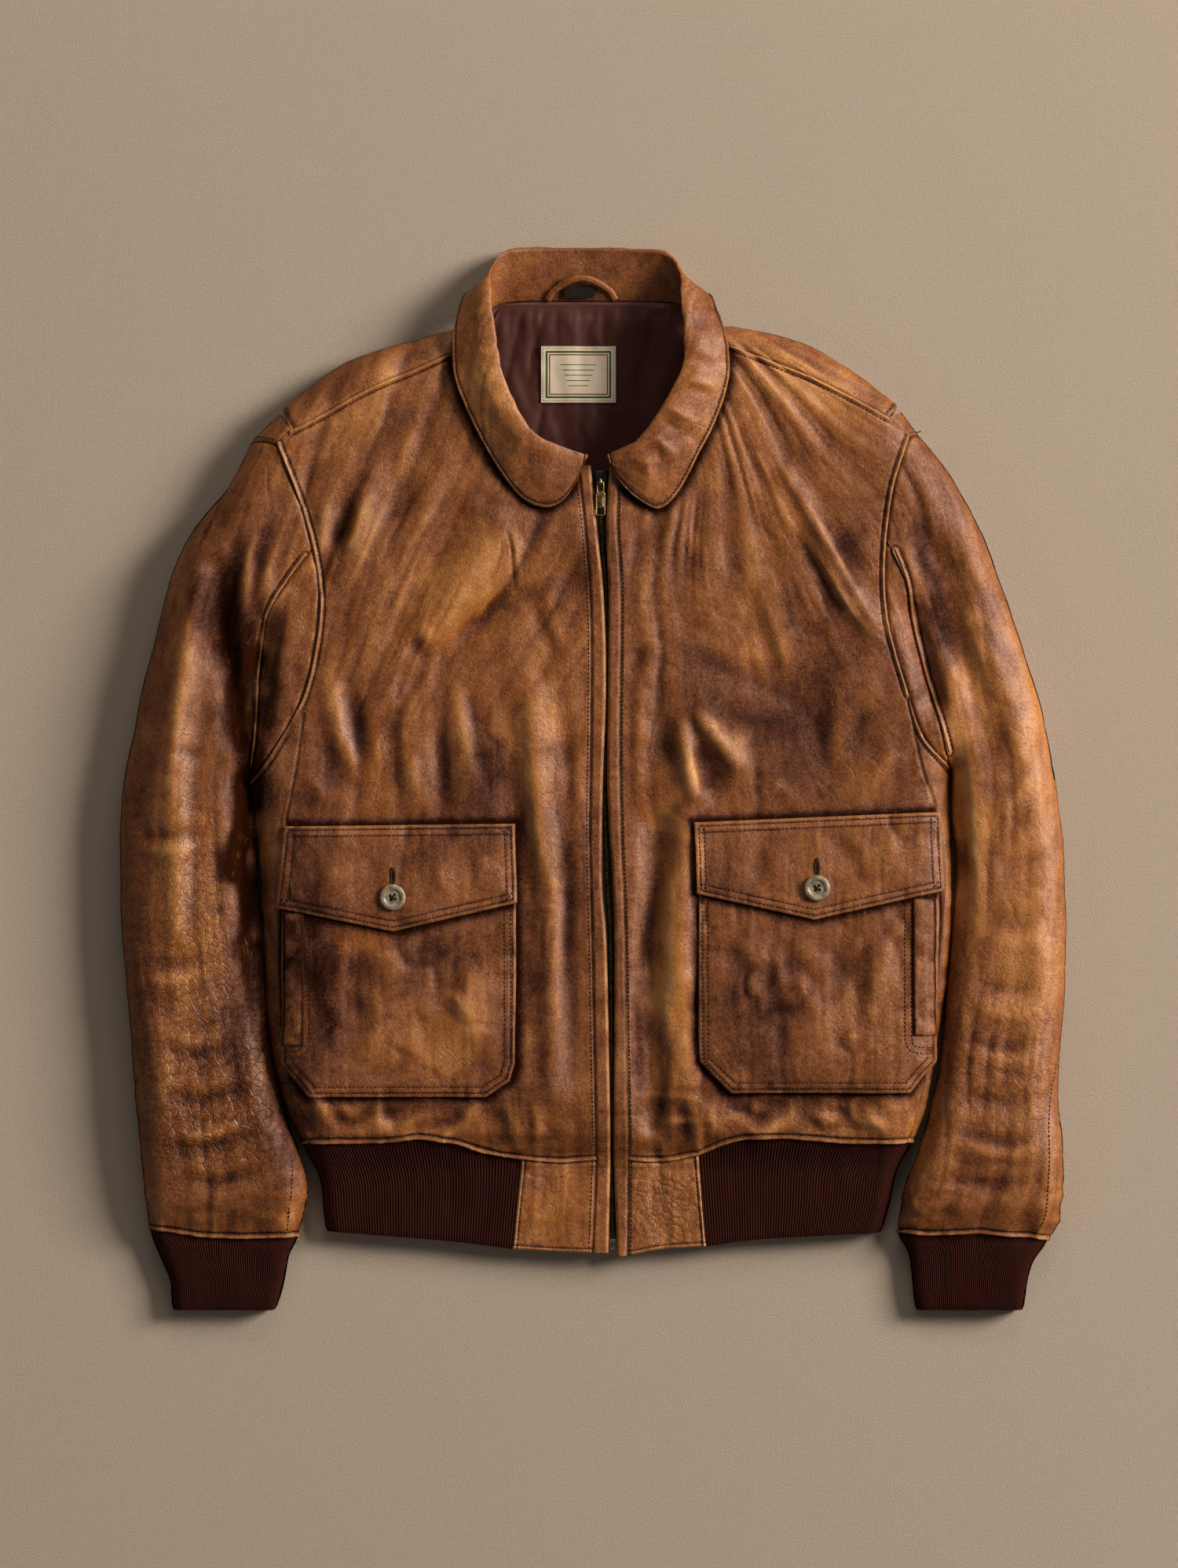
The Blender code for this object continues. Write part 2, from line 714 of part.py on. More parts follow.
ARMHOLE_TOP = (0, 0.15, 0.30)
ARMHOLE_MIDDLE = (0.30, 0.34, 0.45, 0.6, 0.75)
ARMHOLE_LOW = (0.75, 0.86, 0.95, 1.0)
BACK_ARMHOLE_ROWS = 9
SLEEVE_HEAD_BACK = (0, 0.4, 0.7, 0.9, 1)
BACK_UPPER_ROWS = (0, 0.05, 0.14, 0.3, 0.5, 0.75, 1)
BELOW_ARMPIT = 9           # rows of the body and the sleeves below the armpit
FRONT_COLUMNS = (0, 0.2, 0.4, 0.6, 0.78, 0.91, 1)      # knit part of the waist seam
SIDE_COLUMNS = np.array((0, 0.25, 0.6, 1))
CUFF_FRONT = (0, 0.04, 0.13, 0.27, 0.5, 0.73, 0.87, 0.96, 1)
CUFF_BACK = (0, 0.05, 0.14, 0.86, 0.95, 1)


def side_rows(table, side):
    """A line from the armpit to the waist, its points closer together at the waist."""
    return seam(table, side, closing(BELOW_ARMPIT, 1.35))


def join(*lines):
    """One line from several that meet end to end."""
    return np.vstack([lines[0]] + [line[1:] for line in lines[1:]])


def outer_side(side):
    """From the waist to the shoulder, along the side seam and the armhole."""
    upper = join(seam(ARMHOLE, side, ARMHOLE_TOP), seam(ARMHOLE, side, ARMHOLE_MIDDLE))
    lower = side_rows(SIDE_SEAM, side)
    return join(upper, np.vstack([upper[-1:], lower[1:]]))[::-1]


def opening_rows():
    """Shares along the zip opening, from the waist up, in step with the rows of the front."""
    return 1 - share_of(outer_side(LEFT))


def waist_front(side):
    """Waist seam of the front, from the zip to the side seam."""
    return join(seam(WAIST_TAB_TOP, side, even(3)), seam(WAIST_KNIT_TOP, side, FRONT_COLUMNS))


def waist_side(side):
    """Waist seam of the side panel on the front, from the side seam to the outline."""
    return seam(WAIST_SIDE_TOP, side, 1 - SIDE_COLUMNS[::-1])


def waist_back_side(side):
    """Waist seam of the side panel on the back, from the outline inwards."""
    edge = station_line(WAIST_SIDE_TOP, side)[-1]
    return smooth_line([edge, station_line(BACK_SIDE, side)[-1]], (0, 0.08, 0.25, 1))


def waist_back():
    """Waist seam of the back, from right to left."""
    return smooth_line([station_line(BACK_SIDE, RIGHT)[-1], station_line(BACK_SIDE, LEFT)[-1]],
                       even(14))


def front_neck(side):
    """Neck seam of the front, from the shoulder to the zip, just outside the collar stand."""
    table = np.array(COLLAR_LEFT if side == LEFT else COLLAR_RIGHT, dtype=float)
    line = table[8::-1, 0:2]
    fine = smooth_line(line, even(4))
    run = np.gradient(fine, axis=0)
    run /= np.linalg.norm(run, axis=1, keepdims=True)
    out = np.stack([run[:, 1], -run[:, 0]], axis=1) * (1 if side == LEFT else -1)
    return fine + out * (COLLAR_WALL + NECK_CLEAR)


# ---------------------------------------------------------------- leather panels

def turned(back, front):
    """One grid from a back part and a front part that share the outline."""
    return tuple(np.concatenate([b, f[:, 1:]], axis=1) for b, f in zip(back, front))


def front_panel(side):
    """Front: from the side seam and armhole to the zip, and from the waist to the neck."""
    outer = outer_side(side)
    inner = seam(PLACKET_SEAM, side, opening_rows())
    shoulder = join(seam(SHOULDER_TIP, side, even(1))[::-1],
                    seam(SHOULDER_SEAM, side, even(4))[::-1])
    neck = front_neck(side)
    shoulder[-1] = neck[0]
    neck[-1] = inner[-1]
    points, normals = skin(patch(waist_front(side)[::-1], join(shoulder, neck), outer, inner))
    shell(("front_l", "front_r")[side], [(inset(points, "start end bottom top"), normals)],
          LEATHER, "leather", side)


def side_panel(side):
    """Narrow panel that turns round the side edge, from the back to the front."""
    edge = side_rows(BODY_EDGE, side)[::-1]
    front_seam = outer_side(side)[:len(edge)]
    back_seam = side_rows(BACK_SIDE, side)[::-1]
    armhole_low = seam(ARMHOLE, side, ARMHOLE_LOW)[::-1]
    ruled = edge[:, None] + SIDE_COLUMNS[:, None] * (front_seam - edge)[:, None]
    front = skin(np.concatenate([ruled[:-1], armhole_low[None]]))
    back_top = smooth_line([back_seam[-1], edge[-1]], (0, 0.68, 0.89, 1))
    back = skin(patch(waist_back_side(side)[::-1], back_top, back_seam, edge), face="back")
    points, normals = turned(back, front)
    shell(("side_l", "side_r")[side], [(inset(points, "start end bottom top"), normals)],
          LEATHER, "leather", side)


def back_panel():
    """Back, from the waist up, and over both shoulders to the shoulder seams."""
    edges = []
    for side in (RIGHT, LEFT):
        upper = seam(BACK_FOLD, side, BACK_UPPER_ROWS)
        edges.append(join(upper, side_rows(BACK_SIDE, side))[::-1])
    shoulders = [seam(SHOULDER_FOLD, side, even(4)) for side in (RIGHT, LEFT)]
    necks = [seam(BACK_NECK, side, even(3)) for side in (RIGHT, LEFT)]
    top = join(shoulders[0][::-1], necks[0], necks[1][::-1], shoulders[1])
    points, normals = skin(patch(waist_back(), top, edges[0], edges[1]), face="back")
    points = inset(points, "start end bottom")
    grids = [(points, normals)]
    for side, columns in ((RIGHT, np.s_[:5]), (LEFT, np.s_[-5:])):
        fold, fold_normals = points[-1, columns], normals[-1, columns]
        seam_line = seam(SHOULDER_SEAM, side, even(4))
        seam_line = seam_line[::-1] if side == RIGHT else seam_line
        shares = np.array((0, 0.12, 0.35, 0.65, 1.0))[:, None, None]
        plan = fold[None, :, :2] + shares * (seam_line - fold[:, :2])[None]
        strip, strip_normals = skin(plan)
        strip = inset(strip, "top start end")
        strip[0], strip_normals[0] = fold, fold_normals
        grids.append((strip, strip_normals))
    shell("back", grids, LEATHER, "leather")



def back_armhole(side):
    return seam(BACK_ARMHOLE, side, even(BACK_ARMHOLE_ROWS))


def pleat(side):
    """Deeper layer of the action pleat: from the armhole in under the edge of the back, and
    over the tip of the shoulder to the end of the shoulder seam."""
    fold = seam(PLEAT_FOLD, side, even(6))
    armhole_line = join(back_head(side)[::-1], back_armhole(side))
    inward = 1 if side == LEFT else -1
    edge = seam(BACK_FOLD, side, 0.04 + 0.96 * share_of(armhole_line))
    order = np.arange(len(edge))
    depth = np.interp(order, PLEAT_OPENS, (PLEAT_START, PLEAT_DEPTH))
    steps = np.stack([inward * depth, np.zeros(len(edge))], axis=1)
    lines = [edge + steps] + [edge + np.array((inward * step, 0)) for step in PLEAT_STEPS]
    lines += [lines[-1] + (armhole_line - lines[-1]) * share for share in PLEAT_SHARES]
    plan = np.stack(lines, axis=1)[::-1]
    plan[-1] = fold
    low, high = station_line(BACK_FOLD, side)[-1], armhole_line[-1]
    plan[0, 1:, 1] = low[1] + (high[1] - low[1]) * (plan[0, 1:, 0] - low[0]) / (high[0] - low[0])
    points, normals = skin(plan, face="back")
    under = np.zeros(points.shape[:2])
    under[:, :2] = (LEATHER + LAY_GAP) * np.interp(order[::-1], PLEAT_SINKS, (0, 1))[:, None]
    points = inset(points, "start end bottom")
    points = points - normals * under[..., None]
    tip = station_line(SHOULDER_TIP, side)
    head = station_line(SLEEVE_HEAD, side)
    seam_line = np.vstack([tip[:1], head[:1], straight_line(head[1:], SLEEVE_HEAD_BACK)])
    shares = np.array((0, 0.25, 0.6, 1.0))[:, None, None]
    plan = points[-1][None, :, :2] + shares * (seam_line - points[-1][:, :2])[None]
    over, over_normals = skin(plan)
    over = inset(over, "top start")
    over[0], over_normals[0] = points[-1], normals[-1]
    over[:, -1], over_normals[:, -1] = points[-1, -1], normals[-1, -1]
    shell(("pleat_l", "pleat_r")[side], [(points, normals), (over, over_normals)],
          LEATHER, "leather", side)


def back_head(side):
    """Short seam at the top of the sleeve, from the back of the armhole to the outline."""
    return smooth_line([station_line(BACK_ARMHOLE, side)[0], station_line(SLEEVE_HEAD, side)[-1]],
                       even(5))


def share_at(line, y):
    """Share of a falling line's length at which it reaches the height y in plan."""
    return float(np.interp(-y, -line[:, 1], share_of(line)))


def sleeve(side):
    """Sleeve: closed round the arm below the armpit, open to the armhole above it."""
    armpit = station_line(ARMHOLE, side)[-1]
    split = share_at(seam(SLEEVE_OUTER, side, even(60)), armpit[1])
    shares = np.concatenate([split * even(BACK_ARMHOLE_ROWS),
                             split + (1 - split) * closing(BELOW_ARMPIT, 1.35)[1:]])
    outer = seam(SLEEVE_OUTER, side, shares)[::-1]
    below = side_rows(SLEEVE_INNER, side)
    front_inner = join(seam(ARMHOLE, side, ARMHOLE_TOP), gusset_seam(side), below)[::-1]
    back_inner = join(back_armhole(side), below)[::-1]
    cuff_line = seam(CUFF_SEAM, side, CUFF_FRONT)
    stations = station_line(SLEEVE_HEAD, side)
    head = join(straight_line(stations[:2], (0, 0.1, 0.3, 0.6, 1)),
                straight_line(stations[1:], SLEEVE_HEAD_BACK))[::-1]
    front = skin(patch(cuff_line, head, outer, front_inner), "sleeve")
    cuff_back = seam(CUFF_SEAM, side, CUFF_BACK)[::-1]
    back = skin(patch(cuff_back, back_head(side), back_inner, outer), "sleeve", "back")
    points, normals = turned(back, front)
    points = inset(points, "bottom top")
    opened = inset(points, "start end")
    points[BELOW_ARMPIT + 1:] = opened[BELOW_ARMPIT + 1:]
    normals[:BELOW_ARMPIT + 1, -1] = normals[:BELOW_ARMPIT + 1, 0]
    shell(("sleeve_l", "sleeve_r")[side], [(points, normals)], LEATHER, "leather", side)


def gusset_seam(side):
    """Seam between the sleeve and the underarm gusset, from the armhole to the armpit."""
    start = ARMHOLE_TOP[-1]
    marks = np.array(ARMHOLE_MIDDLE + ARMHOLE_LOW[1:])
    line = seam(GUSSET_SEAM, side, (marks - start) / (1 - start))
    line[0] = seam(ARMHOLE, side, ARMHOLE_TOP)[-1]
    line[-1] = station_line(ARMHOLE, side)[-1]
    return line


def gusset(side):
    """Lens of leather between the sleeve's deep fold and the armhole."""
    outer = gusset_seam(side)[1:-1][::-1]
    armhole_line = join(seam(ARMHOLE, side, ARMHOLE_MIDDLE), seam(ARMHOLE, side, ARMHOLE_LOW))
    inner = armhole_line[1:-1][::-1]
    bottom = smooth_line([outer[0], inner[0]], even(3))
    top = smooth_line([outer[-1], inner[-1]], even(3))
    points, normals = skin(patch(bottom, top, outer, inner), "sleeve")
    shell(("gusset_l", "gusset_r")[side], [(inset(points, "start end bottom top"), normals)],
          LEATHER, "leather", side)


# ---------------------------------------------------------------- knit cuffs and waistband

def cuff(side):
    """Rib knit tube below the sleeve."""
    outer = seam(CUFF_OUTER, side, even(3))[::-1]
    inner = seam(CUFF_INNER, side, even(3))[::-1]
    hem = smooth_line([outer[0], inner[0]], CUFF_FRONT)
    front = skin(patch(hem, seam(CUFF_SEAM, side, CUFF_FRONT), outer, inner), "sleeve")
    back_hem = smooth_line([inner[0], outer[0]], CUFF_BACK)
    back_top = seam(CUFF_SEAM, side, CUFF_BACK)[::-1]
    back = skin(patch(back_hem, back_top, inner, outer), "sleeve", "back")
    points, normals = turned(back, front)
    normals[:, -1] = normals[:, 0]
    points = inset(points, "top")
    shell(("cuff_l", "cuff_r")[side], [(points, normals)], KNIT, "knit", side)


def waist_knit():
    """Rib knit waistband, from one leather tab round the back to the other."""
    rows = even(3)
    fronts, edges = [], []
    for side in (LEFT, RIGHT):
        top = join(seam(WAIST_KNIT_TOP, side, FRONT_COLUMNS), waist_side(side))
        hem = smooth_line(station_line(KNIT_HEM + WAIST_EDGE[-1:], side), share_of(top))
        tab_side = smooth_line([top[0], hem[0]], rows)[::-1]
        edge = seam(WAIST_EDGE, side, rows)[::-1]
        edges.append(edge)
        fronts.append(skin(patch(hem[::-1], top[::-1], edge, tab_side)))
    top = join(waist_back_side(RIGHT), waist_back(), waist_back_side(LEFT)[::-1])
    hem = smooth_line([edges[RIGHT][0], edges[LEFT][0]], share_of(top))
    back = skin(patch(hem, top, edges[RIGHT], edges[LEFT]), face="back")
    right = tuple(part[:, ::-1] for part in fronts[RIGHT])
    points, normals = turned(turned(right, back), fronts[LEFT])
    shell("waist_knit", [(inset(points, "start end top"), normals)], KNIT, "knit")


def waist_tab(side):
    """Leather tab that closes the waistband beside the zip."""
    top = seam(WAIST_TAB_TOP, side, even(3))[::-1]
    hem = seam(TAB_HEM, side, even(3))[::-1]
    inner = seam(TAB_SEAM, side, even(3))[::-1]
    outer = smooth_line([top[0], hem[0]], even(3))[::-1]
    points, normals = skin(patch(hem, top, outer, inner))
    shell(("waist_tab_l", "waist_tab_r")[side], [(inset(points, "start end top"), normals)],
          LEATHER, "leather_trim", side)


def strip(name, seam_table, edge_table, side, shares, colour):
    """Folded strip between a stitched seam and the opening edge, from the bottom up."""
    outer = seam(seam_table, side, shares)
    inner = seam(edge_table, side, shares)
    bottom = smooth_line([outer[0], inner[0]], even(2))
    top = smooth_line([outer[-1], inner[-1]], even(2))
    points, normals = skin(patch(bottom, top, outer, inner))
    shell(name, [(inset(points, "start end bottom top"), normals)], LEATHER, colour, side)


# ---------------------------------------------------------------- collar

def with_mid_stations(stations):
    """The stations, with one half way along each of the longer runs of the roll."""
    marks = share_of(stations[:, 3:6])
    rows = [stations[0]]
    for k in range(1, len(stations)):
        if marks[k] - marks[k - 1] > LONG_RUN:
            rows.append(0.5 * (stations[k - 1] + stations[k]))
        rows.append(stations[k])
    return np.array(rows)


def grid_normals(grid):
    """Unit normals of a grid, columns crossed with rows."""
    sides = []
    for axis in (1, 0):
        step = np.diff(grid, axis=axis)
        step /= np.linalg.norm(step, axis=-1, keepdims=True)
        step = np.concatenate([step.take([0], axis=axis), step, step.take([-1], axis=axis)],
                              axis=axis)
        count = grid.shape[axis]
        sides.append(step.take(range(count), axis=axis) + step.take(range(1, count + 1), axis=axis))
    normals = np.cross(sides[0], sides[1])
    return normals / np.linalg.norm(normals, axis=-1, keepdims=True)


def collar():
    """Stand from the neck seam to the roll, and leaf over the roll to the outer edge. Both
    come from one grid, parted at the roll."""
    stations = with_mid_stations(np.array(COLLAR_LEFT + COLLAR_RIGHT[::-1], dtype=float))
    neck, roll, edge = stations[:, 0:3], stations[:, 3:6], stations[:, 7:10]
    bend_height = stations[:, 6:7]
    out = roll - neck
    out /= np.linalg.norm(out, axis=1, keepdims=True)
    fall = np.clip((roll[:, 2:3] - bend_height) / roll[:, 2:3], 0, 1)
    aside = edge[:, :2] - roll[:, :2]
    length = np.linalg.norm(aside, axis=1, keepdims=True)
    aside *= np.minimum(BEND_ASIDE, 0.5 * length) / length
    first = roll + ROLL_OVER * out
    second = roll[:, :2] + fall * ROLL_OVER * out[:, :2] + (1 - fall) * aside
    second = np.concatenate([second, bend_height], axis=1)
    low = second + (edge - second) * BEND_SHARE
    rows = [neck + (roll - neck) * share for share in STAND_ROWS]
    rows += [(1 - t) ** 3 * roll + 3 * t * (1 - t) ** 2 * first + 3 * t ** 2 * (1 - t) * second
             + t ** 3 * low for t in LEAF_BEND_ROWS]
    rows += [low + (edge - low) * share for share in LEAF_FALL_ROWS]
    grid = np.stack(rows)
    grid[..., 2] = np.maximum(grid[..., 2], 0)
    normals = grid_normals(grid)
    split = len(STAND_ROWS)
    stand, leaf = inset(grid[:split], "top"), inset(grid[split - 1:], "bottom")
    shell("collar_stand", [(stand, normals[:split])], COLLAR_WALL, "leather_trim")
    shell("collar_leaf", [(leaf, normals[split - 1:])], COLLAR_WALL, "leather")
    return stand, normals[:split]


# ---------------------------------------------------------------- pockets

def from_rows(table, shares):
    """Plan points from rows of a height, a left edge and a right edge, bottom row first."""
    rows = np.array(table, dtype=float)[::-1]
    x = rows[:, 1:2] + (rows[:, 2:3] - rows[:, 1:2]) * np.asarray(shares)[None, :]
    return np.stack([x, np.repeat(rows[:, 0:1], len(shares), axis=1)], axis=-1)


def pocket(side):
    """Patch pocket with cut-off lower corners, lying on the front."""
    table = POCKET_LEFT if side == LEFT else POCKET_RIGHT
    shares = POCKET_COLUMNS if side == LEFT else 1 - np.array(POCKET_COLUMNS)[::-1]
    grid = skin(from_rows(table, shares))
    shell(("pocket_l", "pocket_r")[side], [grid], POCKET_WALL, "leather",
          lift=POCKET_LIFT)


def welt(side):
    """Narrow welt of the hand pocket, lying on the outer edge of the patch pocket."""
    inner, outer, top, bottom = WELT_LEFT if side == LEFT else WELT_RIGHT
    left, right = min(inner, outer), max(inner, outer)
    rows = [(top + (bottom - top) * share, left, right) for share in even(4)]
    grid = skin(from_rows(rows, (0, 0.4, 0.7, 1)))
    shell(("welt_l", "welt_r")[side], [grid], WELT_WALL, "leather_trim",
          lift=POCKET_LIFT + LAY_GAP + WELT_WALL)


def flap(side):
    """Pointed flap: its top edge is sewn to the front, and the rest lies on the pocket."""
    corners = np.array(FLAP_LEFT if side == LEFT else FLAP_RIGHT, dtype=float)
    top_inner, top_outer, low_outer, point, low_inner = corners
    top = smooth_line([top_outer, top_inner], FLAP_COLUMNS)
    shares = np.array(FLAP_COLUMNS)
    mid = FLAP_COLUMNS.index(0.5)
    low = join(smooth_line([low_outer, point], shares[:mid + 1] / 0.5),
               smooth_line([point, low_inner], shares[mid:] / 0.5 - 1))
    reach = (0, 0.45, 0.82, FLAP_FOLD, 1)
    outer_edge = smooth_line([low_outer, top_outer], reach)
    inner_edge = smooth_line([low_inner, top_inner], reach)
    points, normals = skin(patch(low, top, outer_edge, inner_edge))
    lying = POCKET_LIFT + LAY_GAP + FLAP_WALL
    lift = np.full(points.shape[:2], lying)
    lift[-1] = LAY_GAP + FLAP_WALL + FLAP_SEWN_LIFT
    shell(("flap_l", "flap_r")[side], [(points, normals)], FLAP_WALL, "leather", side,
          lift=lift.reshape(-1))
    x, y = BUTTON_LEFT if side == LEFT else BUTTON_RIGHT
    level = skin_height(x, y) + lying + LAY_GAP + 0.5 * BUTTON_THICK
    disc(("button_l", "button_r")[side], (x, y, level), BUTTON_RADIUS, BUTTON_THICK, "horn")


# ---------------------------------------------------------------- zip

def zip_line(side):
    """One opening edge of the zip, from the collar down the placket and the tab, at heights
    in step with the rows of the fronts."""
    placket = seam(PLACKET_EDGE, side, even(60))
    edge = join(placket, seam(TAB_EDGE, side, even(6)))
    rows = seam(PLACKET_SEAM, LEFT, opening_rows())[::-1, 1]
    tab = seam(TAB_SEAM, LEFT, even(3))[1:-1, 1]
    heights = np.concatenate([[ZIP_TOP], rows[1:], tab, [ZIP_BOTTOM]])
    return np.stack([np.interp(-heights, -edge[:, 1], edge[:, 0]), heights], axis=1)


def zip_parts():
    """Tapes, teeth, slider with its bridge, and the box at the bottom end."""
    middle = 0.5 * (zip_line(LEFT) + zip_line(RIGHT))
    across = np.array((1.0, 0.0))
    half = 0.5 * CHAIN_WIDTH

    def laid(lines, name, wall, colour):
        points, _ = skin(np.stack(lines, axis=1)[::-1])
        points[..., 2] = np.minimum(points[:, :1, 2], points[:, -1:, 2]) - CHAIN_DEPTH
        cloth(name, points, wall, colour)

    laid([middle - half * across, middle + half * across], "zip_chain", CHAIN_THICK, "brass")
    gap = half + SEAM_GAP
    laid([middle - (gap + TAPE_WIDTH) * across, middle - gap * across], "zip_tape_l",
         TAPE_WALL, "tape")
    laid([middle + gap * across, middle + (gap + TAPE_WIDTH) * across], "zip_tape_r",
         TAPE_WALL, "tape")
    x = float(np.interp(-SLIDER_Y, -middle[:, 1], middle[:, 0]))
    top = skin_height(x, SLIDER_Y) + SLIDER_RAISE
    slider(x, top)
    pull(x, top + PIN_HEIGHT)
    x_box = float(middle[-1, 0])
    block("zip_box", (x_box, ZIP_BOTTOM - 0.5 * BOX_LENGTH - SEAM_GAP,
                      skin_height(x_box, ZIP_BOTTOM) - 0.5 * BOX_THICK - BOX_DEPTH),
          (BOX_WIDTH, BOX_LENGTH, BOX_THICK), "brass", bevel=0.5)


def slider(x, top):
    """Slider body with the bridge that holds the pull."""
    body = block("zip_slider", (x, SLIDER_Y, top - 0.5 * SLIDER_THICK),
                 (SLIDER_WIDTH, SLIDER_LENGTH, SLIDER_THICK), "brass", bevel=0.7)
    near, far = PIN_Y - 0.5 * BRIDGE_GAP, PIN_Y + 0.5 * BRIDGE_GAP
    posts = ((near - BRIDGE_BAR, near), (far, far + BRIDGE_BAR))
    pieces = [(0.5 * (low + high), high - low, top + 0.5 * BRIDGE_HEIGHT - 0.4,
               BRIDGE_HEIGHT + 0.8) for low, high in posts]
    pieces.append((0.5 * (near + far), far - near + 2 * BRIDGE_BAR,
                   top + BRIDGE_HEIGHT + 0.5 * BRIDGE_BAR, BRIDGE_BAR + 0.02))
    for number, (y, length, z, height) in enumerate(pieces):
        tool = block("bridge_%d" % number, (x, y, z), (BRIDGE_WIDTH, length, height), "brass")
        tool.hide_render = True
        tool.display_type = "WIRE"
        cutters_collection().objects.link(tool)
        parts_collection().objects.unlink(tool)
        add = body.modifiers.new("bridge", "BOOLEAN")
        add.operation = "UNION"
        add.object = tool


def pull(x, axis_z):
    """Pull tab: a plate with an eye, its bar under the slider's bridge, on the hinge axis."""
    hinge = bpy.data.objects.new("pull_hinge", None)
    parts_collection().objects.link(hinge)
    hinge.location = (x * 0.001, PIN_Y * 0.001, axis_z * 0.001)
    outline = bpy.data.curves.new("pull_outline", "CURVE")
    outline.dimensions = "2D"
    outline.fill_mode = "BOTH"
    outline.extrude = 0.0005 * PULL_THICK
    half, neck_half = 0.5 * PULL_WIDTH, 0.5 * EYE_WIDTH + EYE_BAR
    bar = 0.5 * PULL_THICK
    rings = (
        ((-neck_half, bar), (-neck_half, -EYE_LENGTH), (-half, -EYE_LENGTH - 3),
         (-half, -PULL_LENGTH + 1.5), (-half + 1.5, -PULL_LENGTH), (half - 1.5, -PULL_LENGTH),
         (half, -PULL_LENGTH + 1.5), (half, -EYE_LENGTH - 3), (neck_half, -EYE_LENGTH),
         (neck_half, bar)),
        ((-0.5 * EYE_WIDTH, -bar), (0.5 * EYE_WIDTH, -bar), (0.5 * EYE_WIDTH, -EYE_LENGTH),
         (-0.5 * EYE_WIDTH, -EYE_LENGTH)),
    )
    for ring in rings:
        spline = outline.splines.new("POLY")
        spline.points.add(len(ring) - 1)
        for point, (px, py) in zip(spline.points, ring):
            point.co = (px * 0.001, py * 0.001, 0, 1)
        spline.use_cyclic_u = True
    flat = bpy.data.objects.new("pull_flat", outline)
    parts_collection().objects.link(flat)
    bpy.context.view_layer.update()
    mesh = bpy.data.meshes.new_from_object(flat.evaluated_get(bpy.context.evaluated_depsgraph_get()))
    bpy.data.objects.remove(flat, do_unlink=True)
    form = bmesh.new()
    form.from_mesh(mesh)
    bmesh.ops.remove_doubles(form, verts=form.verts, dist=0.00001)
    bmesh.ops.recalc_face_normals(form, faces=form.faces)
    form.to_mesh(mesh)
    form.free()
    mesh.materials.clear()
    tab = place("zip_pull", mesh, "brass")
    tab.parent = hinge


def cutters_collection():
    known = bpy.data.collections.get("cutters")
    if known is None:
        known = bpy.data.collections.new("cutters")
        bpy.context.scene.collection.children.link(known)
    return known


# ---------------------------------------------------------------- inside the neck

def on_lining(x, y, gap):
    """Points a gap above the inner side of the back."""
    plan = np.stack([x, y], axis=-1).astype(float)
    points, normals = skin(plan, face="back")
    return points - normals * (LEATHER + gap)


def lining():
    """Back lining, as far down as it shows through the neck."""
    heights = np.array(LINING_HEIGHTS, dtype=float)
    widths = np.interp(heights, (LINING_HEIGHTS[0], 320, LINING_HEIGHTS[-1]), LINING_HALVES)
    columns = np.linspace(-1, 1, 9)
    x = widths[:, None] * columns[None, :]
    y = np.repeat(heights[:, None], len(columns), axis=1)
    cloth("lining", on_lining(x, y, LAY_GAP + LINING_WALL), LINING_WALL, "satin")


def label():
    left, right, bottom, top = LABEL
    y = np.repeat(np.linspace(bottom, top, 9)[:, None], 3, axis=1)
    x = np.repeat(np.linspace(left, right, 3)[None, :], 9, axis=0)
    cloth("label", on_lining(x, y, 2 * LAY_GAP + LINING_WALL + LABEL_WALL), LABEL_WALL, "label")


def stand_height(stand, y):
    """Height of the stand's inner face in the middle of the back."""
    middle = stand[:, stand.shape[1] // 2]
    return float(np.interp(y, middle[:, 1], middle[:, 2]))


def size_tag(stand):
    left, right, bottom, top = SIZE_TAG
    rows = []
    for y in np.linspace(bottom, top, 3):
        z = stand_height(stand, y) + LAY_GAP + LABEL_WALL
        rows.append([(x, y, z) for x in np.linspace(left, right, 3)])
    cloth("size_tag", np.array(rows), LABEL_WALL, "tape")


def hang_loop(stand):
    """Leather loop on the back of the neck, its two feet on the stand."""
    start, end = LOOP_FEET
    rows = []
    for share in even(14):
        bow = math.sin(math.pi * share)
        slope = math.pi * math.cos(math.pi * share) * LOOP_CREST / (end - start)
        x, y = start + (end - start) * share, LOOP_FOOT_Y + LOOP_CREST * bow
        across = np.array((-slope, 1.0)) / math.hypot(slope, 1.0)
        row = []
        for step in (-0.5 * LOOP_WIDTH, 0.5 * LOOP_WIDTH):
            px, py = x + across[0] * step, y + across[1] * step
            pz = stand_height(stand, py) + LAY_GAP + LOOP_WALL + LOOP_LIFT * bow
            row.append((px, py, pz))
        rows.append(row)
    grid = np.array(rows).transpose(1, 0, 2)
    cloth("hang_loop", grid, LOOP_WALL, "leather_trim", even_wall=False)


def snaps(stand, normals):
    """Press studs on the inner face of the stand, one near each front end."""
    for name, x in zip(("snap_l", "snap_r"), SNAP_X):
        row = 2
        column = int(np.argmin(np.abs(stand[row, :, 0] - x) + np.abs(stand[row, :, 1] - SNAP_Y)))
        face = normals[row, column]
        centre = stand[row, column] + face * (0.5 * SNAP_THICK + SNAP_GAP)
        stud = disc(name, centre, SNAP_RADIUS, SNAP_THICK, "snap", segments=20)
        stud.rotation_mode = "QUATERNION"
        stud.rotation_quaternion = Vector(face).to_track_quat("Z", "Y")


